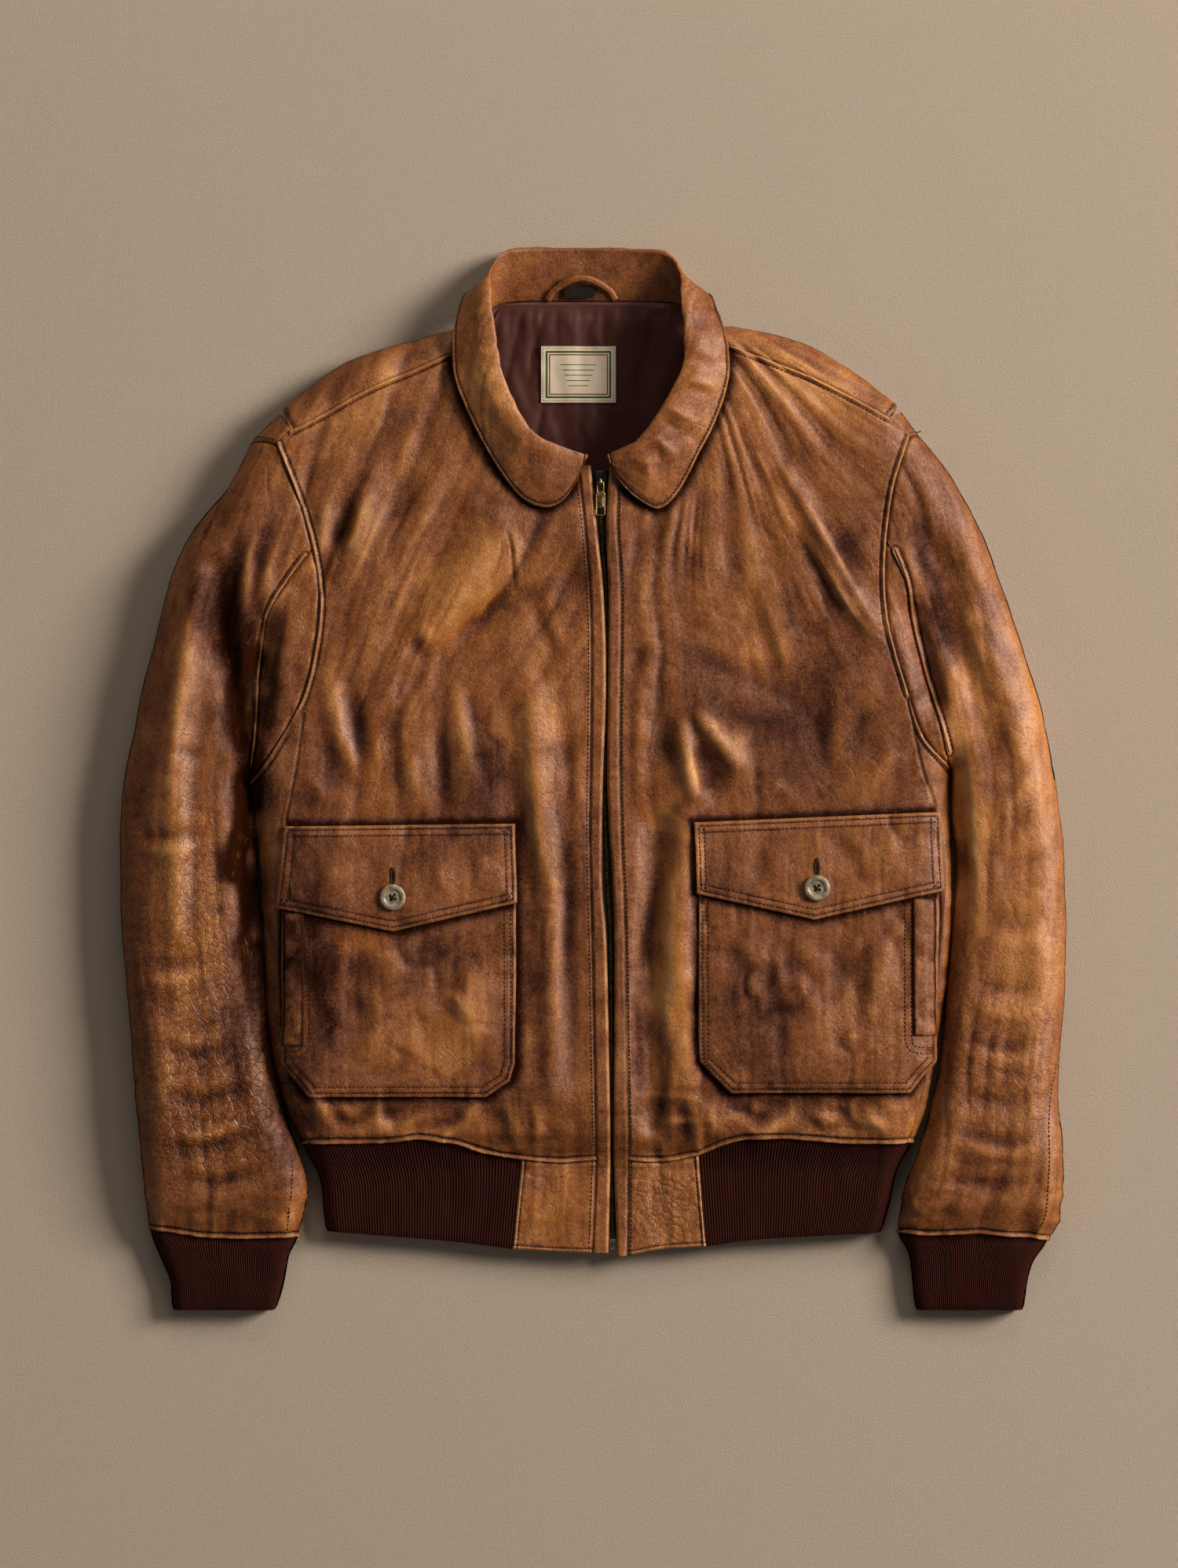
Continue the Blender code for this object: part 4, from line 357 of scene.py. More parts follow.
# Creases on the leather: kind, half width, height, points of its line.
# ridge and trough are soft bells, fold is high on its left and low on its right,
# crack is a narrow V. A line tapers off over its first and last fifth.
creases = {
    "frontLeft": (
        ("ridge", 7, 2.6, (-168, 231), (-178, 195), (-189, 163)),
        ("trough", 5, 2.0, (-178, 226), (-187, 196), (-197, 168)),
        ("ridge", 6, 2.2, (-199, 219), (-204, 190), (-208, 163)),
        ("ridge", 8, 2.2, (-150, 228), (-168, 186), (-186, 140)),
        ("fold", 9, 1.6, (-120, 240), (-140, 190), (-152, 150)),
        ("fold", 16, 2.4, (-66, 219), (-104, 160), (-136, 78)),
        ("trough", 10, 3.0, (-13, 159), (-57, 136), (-92, 116), (-134, 76)),
        ("crack", 2.2, 1.5, (-66, 196), (-61, 178), (-58, 148), (-55, 138)),
        ("ridge", 3, 1.0, (-62, 196), (-57, 176), (-54, 148)),
        ("ridge", 8, 1.6, (-134, 126), (-126, 112), (-117, 97)),
        ("trough", 6, 1.6, (-141, 118), (-134, 104), (-120, 90)),
        ("ridge", 8, 2.6, (-186, 104), (-195, 78), (-189, 34), (-177, -1), (-165, -24)),
        ("trough", 7, 2.4, (-176, 92), (-183, 66), (-178, 30), (-170, 4)),
        ("ridge", 8, 2.2, (-107, 91), (-98, 43), (-93, 20), (-78, -26)),
        ("trough", 6, 2.0, (-98, 88), (-88, 44), (-84, 18), (-70, -20)),
        ("fold", 8, 1.8, (-149, 69), (-147, 20), (-149, -19)),
        ("ridge", 6, 1.6, (-138, 29), (-131, -10), (-128, -28)),
        ("trough", 6, 1.8, (-122, 60), (-115, 20), (-108, -22)),
        ("trough", 8, 2.2, (-62, 60), (-58, 0), (-48, -70), (-44, -140)),
        ("ridge", 8, 2.0, (-49, 78), (-40, -38), (-30, -78), (-28, -145), (-28, -196),
         (-34, -238)),
        ("fold", 6, 1.4, (-18, 110), (-14, 20), (-12, -80), (-10, -190)),
        ("trough", 5, 1.5, (-20, -30), (-17, -110), (-14, -200), (-12, -262)),
        ("ridge", 5, 1.4, (-52, -150), (-48, -200), (-52, -256)),
        ("fold", 6, 1.5, (-40, 150), (-34, 120), (-20, 90)),
        ("crack", 1.6, 0.8, (-136, 96), (-128, 104), (-117, 100)),
        ("trough", 9, 2.2, (-216, 30), (-190, 12), (-176, -20)),
        ("ridge", 6, 1.4, (-222, 10), (-206, -8), (-196, -26)),
    ),
    "frontRight": (
        ("ridge", 6, 2.6, (155, 227), (188, 170), (223, 108)),
        ("trough", 5, 2.6, (164, 222), (194, 168), (222, 118)),
        ("ridge", 5, 2.2, (162, 191), (184, 154), (206, 117)),
        ("trough", 4.5, 1.8, (153, 196), (176, 154), (196, 120)),
        ("ridge", 5, 2.0, (176, 163), (200, 128), (221, 101)),
        ("fold", 6, 1.4, (184, 210), (206, 172), (222, 146)),
        ("fold", 7, 1.6, (127, 157), (133, 126), (144, 89), (150, 71)),
        ("crack", 2.0, 1.4, (74, 200), (73, 182), (71, 163)),
        ("ridge", 3.5, 1.2, (77, 202), (76, 180), (74, 160)),
        ("trough", 6, 1.8, (84, 236), (78, 188), (63, 117)),
        ("trough", 5, 1.8, (43, 200), (34, 170), (27, 145)),
        ("ridge", 6, 1.6, (52, 186), (42, 150), (34, 110)),
        ("trough", 6, 2.2, (47, 108), (36, 92), (25, 75)),
        ("ridge", 7, 3.0, (71, 56), (69, 38), (74, 16), (80, -11), (80, -24)),
        ("ridge", 7, 3.0, (73, 58), (87, 44), (102, 25), (107, 12)),
        ("trough", 7, 3.0, (84, 34), (86, 8), (96, -20)),
        ("trough", 8, 2.0, (56, 62), (56, 36), (58, 8)),
        ("ridge", 8, 2.0, (115, 44), (114, 24), (116, 4)),
        ("trough", 10, 2.2, (41, 126), (96, 88), (152, 62), (172, 40), (174, 0)),
        ("fold", 8, 1.8, (188, 84), (182, 40), (184, -6)),
        ("trough", 9, 3.4, (50, -38), (47, -70), (42, -128), (39, -179), (39, -221), (45, -270)),
        ("ridge", 9, 2.4, (66, -10), (62, -80), (58, -150), (62, -220), (64, -262)),
        ("fold", 5, 1.3, (34, 90), (33, 30), (32, -40)),
        ("trough", 5, 1.4, (31, -150), (33, -200), (34, -262)),
        ("ridge", 7, 1.6, (140, 236), (150, 200), (160, 176)),
        ("fold", 9, 1.6, (106, 220), (112, 170), (108, 120)),
        ("trough", 7, 1.8, (226, 60), (206, 44), (198, 8)),
        ("ridge", 6, 1.6, (240, 30), (220, 6), (212, -18)),
        ("ridge", 6, 1.4, (132, 4), (146, -6), (160, -22)),
    ),
    "waistLeft": (
        ("ridge", 6, 2.6, (-132, -265), (-114, -272), (-95, -256), (-80, -240)),
        ("trough", 5, 2.4, (-120, -252), (-108, -262), (-92, -246)),
        ("fold", 5, 2.0, (-200, -246), (-184, -258), (-170, -250)),
        ("ridge", 5, 2.2, (-222, -232), (-206, -248), (-196, -266)),
        ("trough", 6, 2.2, (-160, -246), (-150, -262), (-142, -272)),
        ("ridge", 6, 1.8, (-168, -248), (-158, -262), (-152, -274)),
        ("fold", 6, 1.8, (-70, -246), (-62, -264), (-60, -282)),
        ("ridge", 4, 1.4, (-44, -240), (-40, -262), (-42, -284)),
        ("trough", 8, 1.6, (-214, -250), (-170, -254), (-120, -250), (-70, -250)),
    ),
    "waistRight": (
        ("ridge", 6, 2.6, (110, -259), (128, -269), (146, -259), (157, -253)),
        ("trough", 5, 2.4, (96, -246), (112, -250), (128, -258), (146, -248)),
        ("fold", 5, 2.0, (160, -250), (176, -262), (196, -258)),
        ("ridge", 5, 2.0, (206, -246), (214, -258), (226, -270)),
        ("trough", 6, 1.8, (184, -246), (196, -260), (204, -274)),
        ("ridge", 6, 2.0, (86, -244), (94, -262), (96, -276)),
        ("fold", 5, 1.6, (70, -240), (76, -262), (74, -284)),
        ("trough", 8, 1.6, (230, -248), (180, -250), (130, -246), (86, -246)),
    ),
    "sleeveLeft": (
        ("ridge", 8, 3.0, (-293, 175), (-306, 121), (-312, 69), (-318, 17), (-316, -64),
         (-316, -184)),
        ("trough", 6, 2.4, (-283, 176), (-280, 120), (-272, 60), (-268, 20)),
        ("crack", 2.5, 1.6, (-271, 235), (-293, 193), (-304, 166)),
        ("ridge", 6, 2.2, (-254, 214), (-263, 152), (-260, 110)),
        ("trough", 6, 2.0, (-266, 200), (-272, 160), (-270, 118)),
        ("trough", 10, 4.0, (-266, 68), (-264, -10), (-262, -90), (-258, -170), (-254, -240)),
        ("ridge", 5, 2.0, (-246, 140), (-252, 112), (-250, 90)),
        ("fold", 5, 1.8, (-238, 196), (-250, 158), (-254, 120)),
        ("ridge", 5, 1.8, (-226, 150), (-240, 138), (-252, 112)),
        ("trough", 6, 1.6, (-352, -38), (-318, -42), (-284, -36)),
        ("ridge", 5, 1.2, (-350, -50), (-320, -54), (-290, -50)),
        ("trough", 6, 1.8, (-352, -134), (-320, -140), (-282, -132)),
        ("ridge", 6, 1.4, (-350, -148), (-318, -152), (-286, -144)),
        ("trough", 7, 1.6, (-332, 30), (-306, 20), (-290, 24)),
        ("fold", 7, 1.6, (-336, -190), (-306, -204), (-262, -196)),
        ("fold", 7, 1.8, (-334, -230), (-300, -238), (-256, -226)),
        ("fold", 6, 1.8, (-332, -270), (-300, -276), (-250, -262)),
        ("trough", 5, 1.6, (-320, -300), (-286, -306), (-246, -296)),
        ("ridge", 9, 2.0, (-330, -160), (-326, -230), (-322, -290)),
        ("trough", 8, 2.0, (-276, -120), (-272, -190), (-266, -270)),
        ("fold", 8, 1.6, (-340, 40), (-336, -40), (-338, -120)),
        ("crack", 1.8, 1.4, (-236, -314), (-229, -322), (-233, -334), (-227, -340)),
    ),
    "sleeveRight": (
        ("trough", 11, 3.4, (286, 164), (296, 136), (302, 112), (318, 88)),
        ("trough", 9, 2.4, (262, 150), (272, 110), (284, 70)),
        ("ridge", 9, 2.4, (272, 176), (284, 130), (300, 88), (316, 40)),
        ("fold", 12, 2.0, (330, 90), (322, 30), (330, -40)),
        ("trough", 9, 1.8, (344, 40), (334, 10), (312, -4)),
        ("ridge", 8, 1.6, (340, 14), (320, -18), (296, -22)),
        ("trough", 9, 1.8, (356, -50), (330, -62), (300, -56)),
        ("fold", 9, 1.6, (352, -110), (322, -116), (288, -108)),
        ("trough", 7, 1.6, (352, -150), (320, -160), (284, -150)),
        ("ridge", 7, 1.4, (350, -170), (318, -180), (286, -172)),
        ("fold", 6, 1.6, (350, -200), (316, -208), (276, -198)),
        ("trough", 6, 1.6, (352, -236), (320, -246), (270, -236)),
        ("fold", 6, 1.8, (352, -270), (316, -280), (262, -268)),
        ("trough", 5, 1.6, (350, -302), (310, -308), (256, -300)),
        ("ridge", 8, 2.0, (286, 60), (292, -10), (290, -80)),
        ("trough", 8, 2.0, (278, 10), (282, -60), (280, -130)),
        ("ridge", 7, 1.8, (236, 190), (244, 160), (252, 140)),
        ("fold", 6, 1.6, (250, 226), (256, 196), (268, 168)),
    ),
    "back": (
        ("ridge", 14, 1.0, (-150, 230), (-100, 120), (-70, 20)),
        ("trough", 12, 1.4, (-60, 240), (-50, 130), (-60, 0), (-40, -120)),
        ("trough", 12, 1.4, (70, 230), (56, 110), (70, -10), (50, -130)),
        ("trough", 10, 1.2, (150, 220), (110, 110), (90, 20)),
        ("trough", 9, 1.2, (-180, -40), (-120, -70), (-60, -60)),
        ("trough", 9, 1.2, (180, -50), (120, -80), (50, -70)),
        ("trough", 8, 1.2, (-170, -180), (-140, -230), (-130, -272)),
        ("trough", 8, 1.2, (-80, -190), (-70, -240), (-76, -274)),
        ("trough", 8, 1.2, (20, -180), (14, -230), (20, -274)),
        ("trough", 8, 1.2, (110, -190), (104, -240), (112, -274)),
        ("trough", 8, 1.2, (180, -180), (186, -232), (180, -272)),
        ("trough", 10, 1.2, (-120, -150), (0, -160), (120, -146)),
    ),
    "backSleeves": (
        ("trough", 8, 1.3, (-300, 170), (-306, 90), (-320, 20)),
        ("trough", 8, 1.3, (300, 160), (306, 80), (320, 10)),
        ("trough", 7, 1.3, (-346, -40), (-310, -50), (-270, -44)),
        ("trough", 7, 1.3, (350, -50), (320, -58), (290, -52)),
        ("trough", 7, 1.3, (-340, -150), (-300, -158), (-262, -150)),
        ("trough", 7, 1.3, (350, -160), (320, -168), (284, -158)),
        ("trough", 6, 1.2, (-334, -250), (-296, -256), (-246, -250)),
        ("trough", 6, 1.2, (350, -256), (310, -262), (262, -254)),
    ),
}

# Lighter or darker, glossier and crackled places: x, y, half widths, turn, then how much.
# The lighter and darker patches are partly the leather's own uneven colour and partly painted
# shade and painted highlights: dark where the sleeves meet the body and beside the gussets,
# light along the right sleeve's outer side and on folds beside the zip.
patches = {
    "toneAndShading": (
        (-265, -5, 13, 95, 0, -1.2), (-278, 115, 18, 60, 0, -0.6), (-216, -130, 14, 90, 0, -0.7),
        (-240, -262, 12, 30, 0, -0.9), (-140, -56, 30, 18, 0, -0.4), (-196, -150, 16, 34, 0, -0.5),
        (-168, -140, 12, 40, 0, 0.35), (-80, -160, 16, 40, 0, 0.3), (-110, 155, 28, 50, -20, 0.55),
        (-48, 20, 13, 70, 0, 0.7), (-92, -10, 24, 34, 0, -0.65), (-24, 238, 14, 20, 0, -0.4),
        (-168, 40, 12, 36, 0, -0.45), (-218, 160, 12, 30, 0, 0.35), (72, -40, 10, 60, 0, 0.6),
        (62, -158, 15, 52, 0, 0.95), (128, 120, 30, 40, 0, 0.5), (192, 160, 16, 50, -25, -0.45),
        (138, 40, 44, 30, -20, -0.6), (258, 150, 8, 44, 0, -0.85), (288, 10, 13, 120, 0, 1.2),
        (290, -70, 11, 60, 0, 0.5), (312, 66, 12, 16, 0, 0.5), (336, -20, 16, 180, 0, 0.3),
        (120, -165, 34, 50, 0, -0.6), (100, -66, 20, 30, 0, -0.35), (-312, -160, 14, 50, 0, 0.65),
        (-312, 120, 12, 36, 0, 0.5), (-242, 30, 12, 30, 0, -0.4), (-240, -40, 12, 22, 0, 0.8),
        (-264, 188, 14, 20, 0, -0.4), (-204, -165, 10, 42, 0, -0.5), (-182, -122, 22, 16, 0, 0.5),
        (-112, -132, 34, 20, -28, -0.35), (-115, -196, 46, 24, 0, 0.45),
        (-72, 20, 12, 50, 0, -0.35), (-48, 16, 11, 50, 0, 0.1), (-8, -74, 16, 40, 0, -0.35),
        (48, -160, 12, 50, 0, 0.15), (72, -100, 12, 90, 0, 0.1), (98, -6, 14, 20, 0, -0.4),
        (146, -190, 15, 76, 0, -0.3), (-268, 100, 22, 50, 0, -0.4), (-72, 212, 14, 18, 20, -0.35),
        (-120, 120, 18, 38, -20, 0.4), (-264, -40, 9, 70, 0, -0.6), (-218, -268, 12, 30, 0, -0.4),
        (-290, -60, 50, 200, 0, -0.05), (-230, -328, 6, 12, 0, 0.9), (120, 260, 40, 30, -20, 0.25),
        (190, 60, 40, 60, -30, -0.25), (-60, 70, 50, 40, 20, 0.2), (-302, 100, 22, 70, 10, 0.12),
        (-278, -105, 10, 34, 0, 0.4), (-322, -20, 14, 110, 3, 0.22),
        (-266, -60, 12, 150, 0, -0.55), (-262, 100, 10, 50, 0, -0.45),
        (-236, 130, 20, 70, 0, -0.18), (340, -60, 24, 200, 0, 0.55), (330, 100, 26, 60, 30, 0.35),
        (300, 60, 24, 60, 20, -0.15), (176, 284, 30, 16, -20, 0.45), (140, 300, 50, 20, -10, 0.2),
        (-170, 300, 50, 20, 20, 0.15), (160, 120, 60, 50, 20, 0.02), (60, 90, 60, 60, 0, -0.12),
        (110, 75, 50, 26, -30, -0.2), (-90, 150, 60, 60, 30, 0.1), (-150, 20, 60, 70, 0, 0.02),
        (-20, 180, 40, 60, 0, -0.1), (-20, 40, 22, 120, 0, 0.05), (-50, -200, 16, 90, 0, -0.25),
        (44, -180, 14, 90, 0, -0.35), (-215, -20, 16, 40, 0, -0.25), (-100, -180, 30, 30, 0, 0.22),
        (-200, -150, 30, 40, 0, 0.1), (-130, -140, 60, 40, 0, -0.22), (120, -130, 30, 40, 0, 0.18),
        (200, -190, 50, 40, 0, 0.16), (-190, -66, 30, 22, 0, 0.12), (230, -60, 26, 22, 0, 0.15),
        (-84, 300, 20, 60, 20, 0.85), (90, 300, 16, 60, -10, 0.3), (-30, 225, 30, 16, 0, 0.25),
        (50, 225, 26, 16, 0, 0.3), (-130, -262, 90, 14, 0, 0.35), (150, -262, 90, 14, 0, 0.25),
        (228, -262, 46, 24, 0, 0.4), (176, 300, 54, 16, -28, 0.55), (-176, 292, 54, 14, 28, 0.4),
        (-20, -326, 34, 36, 0, 0.35), (54, -326, 30, 36, 0, 0.35),
    ),
    "gloss": (
        (-100, 240, 40, 26, 0, 0.5), (-170, 10, 34, 60, 10, 0.7), (-316, -60, 30, 110, 0, 0.7),
        (-280, -260, 40, 40, 0, 0.9), (190, 40, 40, 50, 0, 0.4), (50, 10, 20, 60, 0, 0.5),
        (-20, 40, 24, 100, 0, 0.4), (-182, -122, 24, 16, 0, 1.0), (60, -156, 14, 60, 0, 1.0),
        (-110, 110, 30, 40, -20, 0.6), (-20, -330, 30, 30, 0, 0.3),
    ),
    "crackle": (
        (-290, -190, 60, 90, 0, 1.0), (-286, -270, 50, 50, 0, 0.6), (-300, -60, 44, 60, 0, 0.35),
        (320, -220, 50, 80, 0, 0.45), (230, -170, 50, 50, 0, 0.35), (-120, -250, 110, 22, 0, 0.35),
        (150, -250, 110, 22, 0, 0.35), (54, -326, 32, 36, 0, 0.8),
    ),
    "pebble": (
        (-40, 150, 40, 50, 0, 0.9), (-20, 40, 26, 110, 0, 0.8), (20, -200, 60, 90, 0, 0.4),
        (130, 30, 60, 40, 0, 0.4),
    ),
}

noiseSize = 32
noiseTables = np.random.default_rng(41).uniform(-1, 1, (6, noiseSize, noiseSize, noiseSize))


def noise(points, cell, which=0):
    # Smooth value noise: random numbers on a grid of cells, blended with a fifth-degree
    # ease between the eight corners around a point.
    at = np.asarray(points, dtype=float) / np.asarray(cell, dtype=float) + 100.37 + 7.7 * which
    base = np.floor(at).astype(int)
    f = at - base
    f = f * f * f * (f * (f * 6 - 15) + 10)
    lo, hi = base % noiseSize, (base + 1) % noiseSize
    table = noiseTables[which % 6]
    total = 0.0
    for i in (0, 1):
        for j in (0, 1):
            for k in (0, 1):
                x = (hi if i else lo)[..., 0]
                y = (hi if j else lo)[..., 1]
                z = (hi if k else lo)[..., 2]
                weight = ((f[..., 0] if i else 1 - f[..., 0])
                          * (f[..., 1] if j else 1 - f[..., 1])
                          * (f[..., 2] if k else 1 - f[..., 2]))
                total = total + weight * table[x, y, z]
    return total


def borders(plan, cell, which=0):
    # Distance to the nearest border of jittered cells, as a share of the cell: half the
    # difference between the second nearest and the nearest seed.
    at = plan / np.asarray(cell, dtype=float) + 50
    base = np.floor(at).astype(int)
    first = np.full(plan.shape[:-1], 9.0)
    second = first.copy()
    table = noiseTables[which % 6]
    for i in (-1, 0, 1):
        for j in (-1, 0, 1):
            cx, cy = (base[..., 0] + i) % noiseSize, (base[..., 1] + j) % noiseSize
            seed = np.stack([base[..., 0] + i + 0.5 + 0.42 * table[cx, cy, 0],
                             base[..., 1] + j + 0.5 + 0.42 * table[cx, cy, 1]], axis=-1)
            far = np.hypot(*np.moveaxis(at - seed, -1, 0))
            second = np.minimum(second, np.maximum(far, first))
            first = np.minimum(first, far)
    return 0.5 * (second - first)


def ease(value, low, high):
    t = np.clip((value - low) / (high - low), 0, 1)
    return t * t * (3 - 2 * t)


creaseScale = 1.25


def creaseField(plan, groups):
    # Sum of the creases over plan points, each a bell, a step or a V across its line.
    # Cracks keep their size; the others are drawn larger, the collar's in height alone.
    total = np.zeros(plan.shape[:-1])
    for group in groups:
        for kind, half, height, *points in creases[group]:
            half = half * (1 if kind == "crack" or group == "collar" else creaseScale)
            line = smooth(points, even(14))
            away, signed, share, _ = nearest(plan, line, 3 * half)
            near = away < 3 * half
            t = share[near]
            taper = ease(t, -0.02, 0.42) * ease(-t, -1.02, -0.58)
            s = away[near] / half
            if kind == "fold":
                form = 1.4 * (signed[near] / half) * np.exp(-s * s)
            elif kind == "crack":
                form = -np.exp(-1.6 * s)
            else:
                form = np.exp(-s ** 1.6) * (1 if kind == "ridge" else -1)
            total[near] += (height if kind == "crack" else creaseScale * height) * form * taper
    return total


def patchField(plan, name):
    # Sum of soft oval patches over plan points.
    total = np.zeros(plan.shape[:-1])
    for x, y, wide, tall, turn, amount in patches[name]:
        c, s = np.cos(np.radians(turn)), np.sin(np.radians(turn))
        dx, dy = plan[..., 0] - x, plan[..., 1] - y
        u, v = (c * dx + s * dy) / wide, (-s * dx + c * dy) / tall
        total += amount * np.exp(-(u * u + v * v))
    return total


# Seams: bells of height (how high, how far from the seam, half width), one bell of wear,
# and how far from the seam its dark lines of stitches lie
seamStyles = {
    "welt": (((1.1, 1.1, 1.0), (-0.7, 3.8, 0.8)), (0.42, 1.0, 0.8), (3.9,)),
    "sunk": (((-1.2, 0, 1.8),), (0.0, 0, 1.0), ()),
    "edge": (((-0.8, 0, 0.9), (0.45, 1.5, 0.9), (-0.55, 3.0, 0.8)), (0.5, 0.7, 0.9), (3.0,)),
    "doubled": (((-0.8, 0, 0.9), (-0.35, 3.0, 0.8), (-0.3, 7.8, 0.8)), (0.4, 0.5, 0.8),
                (3.0, 7.8)),
    "plain": (((-0.75, 0, 1.3),), (0.25, 0.4, 1.0), ()),
}


def profile(style, s):
    # Height across a seam at distance s from it, and the wear it shows there.
    bells, worn, _ = seamStyles[style]
    rise, rub = (sum(high * np.exp(-((s - at) / half) ** 2) for high, at, half in group)
                 for group in (bells, (worn,)))
    return rise, rub


# Heights of the leather's forms in millimetres, or how strongly they count
relief = {"broad": 1.0, "middle": 0.3, "small": 0.14, "drag": 0.4, "pucker": 0.5,
          "crackle": 0.4, "crumple": 1.3, "wrinkle": 0.45, "fineWrinkle": 0.35, "hollowShading": 0.46,
          "fold": 3.9, "streak": 1.9, "fineStreak": 0.9, "below": 0.6, "across": 0.6,
          "dent": 2.6, "fibre": 0.08, "warp": 3.4}
# Size of each form's noise in millimetres, and the random table that it reads
grain = {"broad": (46, 0), "middle": (19, 1), "small": (8, 2), "drag": ((13, 44, 26), 3),
         "warpX": (14, 4), "warpY": (14, 5), "veins": ((21, 34, 24), 1),
         "fineVeins": ((9, 13, 10), 3), "veined": (58, 2), "sway": (75, 5), "fineSway": (12, 0),
         "strong": (70, 1), "weak": (50, 3), "pulled": (110, 4), "fibre": ((2.6, 34, 50), 1),
         "longFibre": ((5, 60, 50), 3), "fold": ((33, 150, 50), 2), "streak": ((15, 95, 50), 4),
         "fineStreak": ((6.5, 44, 50), 0), "dent": ((38, 46, 60), 0), "slant": (30, 2),
         "across": ((50, 13, 60), 3), "crumple": ((24, 19, 20), 4), "spreadX": (34, 2),
         "spreadY": (34, 3), "toneAndShading": (60, 5), "fineTone": (24, 4), "rub": (9, 5),
         "ripple": ((4.6, 9, 9), 2), "seamRub": ((7, 3, 9), 3), "ridgeRub": (11, 4)}


def grainOf(points, name):
    return noise(points, *grain[name])


def ridges(points, name):
    # Sharp-bottomed noise: its absolute value, less about its mean.
    return np.abs(grainOf(points, name)) - 0.35


pull = {"left": (-407, -469, 700), "right": (66, 383, 250), "chestFrom": 10, "chestTo": 110,
        "sleeveMiddle": ((-340, 285), (-200, 302), (-100, 313), (0, 312), (100, 298), (200, 262),
                         (260, 232))}
rollLine = {side: smooth(np.array(collarRows[side], dtype=float)[:, 3:5], even(40))
            for side in (left, right)}


def pulled(plan, kind):
    # Places across and along the leather's pull: fans about a far point on either half of
    # the chest, straight down below the chest, and along the middle line of a sleeve.
    x, y = plan[..., 0], plan[..., 1]
    half = 90 * np.sign(x - skinShape["opening"])
    if kind == "sleeve":
        low, middle = np.array(pull["sleeveMiddle"], dtype=float).T
        return ((1.0, 0.75, np.stack([np.abs(x) - np.interp(y, low, middle), y, half], -1)),)
    fans = [np.arctan2(cy - y, cx - x) * reach if cy > 0 else np.arctan2(y - cy, x - cx) * reach
            for cx, cy, reach in (pull["left"], pull["right"])]
    chest = ease(y, pull["chestFrom"], pull["chestTo"])
    fan = np.where(x < skinShape["opening"], fans[0], fans[1])
    return ((chest, 1.0, np.stack([fan, y, half], -1)),
            (1 - chest, relief["below"], np.stack([x, y, half], -1)))


def blurred(values, reach):
    # Mean over a square of grid points, by running sums.
    for axis in range(values.ndim):
        size = values.shape[axis]
        spots = np.clip(np.arange(-reach - 1, size + reach), 0, size - 1)
        total = np.cumsum(values.take(spots, axis=axis), axis=axis)
        total = total.take(range(2 * reach + 1, size + 2 * reach + 1), axis=axis) - total.take(
            range(size), axis=axis)
        values = total / (2 * reach + 1)
    return values


def leatherForm(plan, base, away, kind, flatter):
    # Noise drawn out along the leather's pull, thin veins and a crumpled waist. Gives the
    # form, the fibre that runs with the pull, and the warp that the other noise shares.
    form = sum(relief[key] * grainOf(base, key) for key in ("broad", "middle", "small", "drag"))
    warp = np.stack([grainOf(base, "warpX"), grainOf(base, "warpY")], axis=-1) * relief["warp"]
    bent = base.astype(float)
    bent[..., :2] += 2.6 * warp
    veins, fineVeins = (np.clip(1 - 2.6 * np.abs(spots), 0, 1) ** 1.5 for spots in (
        grainOf(bent, "veins"), grainOf(bent + 31, "fineVeins")))
    veined = 0.55 + 0.9 * grainOf(base, "veined")
    form = (form - relief["wrinkle"] * veins * np.clip(veined, 0, 1)
            - relief["fineWrinkle"] * fineVeins * np.clip(1.3 - veined, 0, 1))
    calm = ease(away, 0, 14)
    sway = 7 * grainOf(base, "sway") + 1.0 * grainOf(base, "fineSway")
    strong, weak = 0.75 + grainOf(base, "strong"), np.clip(0.45 + grainOf(base, "weak"), 0, 1)
    hard = 0.7 + 0.9 * grainOf(base, "pulled")
    fibre = 0
    for share, force, along in pulled(plan, kind):
        along[..., 0] += sway
        fibre = fibre + share * (grainOf(along, "fibre") + grainOf(along + 9, "longFibre"))
        form = form + calm * share * force * flatter * (
            relief["fold"] * hard * ridges(along + 5, "fold")
            + relief["streak"] * strong * ridges(along, "streak")
            + relief["fineStreak"] * weak * ridges(along + 17, "fineStreak"))
    if flatter < 1:
        form = form + relief["dent"] * (np.abs(grainOf(bent, "dent")) - 0.28)
    if kind == "sleeve":
        along[..., 1] += 0.22 * along[..., 0] + 8 * grainOf(base, "slant")
        low = 0.25 * ease(-plan[..., 1], -60, 20) + 0.75 * ease(-plan[..., 1], 150, 230)
        form = form + calm * relief["across"] * low * ridges(along, "across")
        waist = 0.8 * ease(-base[..., 1], 296, 330)
    else:
        waist = ease(-base[..., 1], 228, 252) * ease(base[..., 1], -292, -280)
    crumple = relief["crumple"] * waist * (0.6 - 2 * np.abs(grainOf(base, "crumple")))
    return form, crumple, fibre, warp


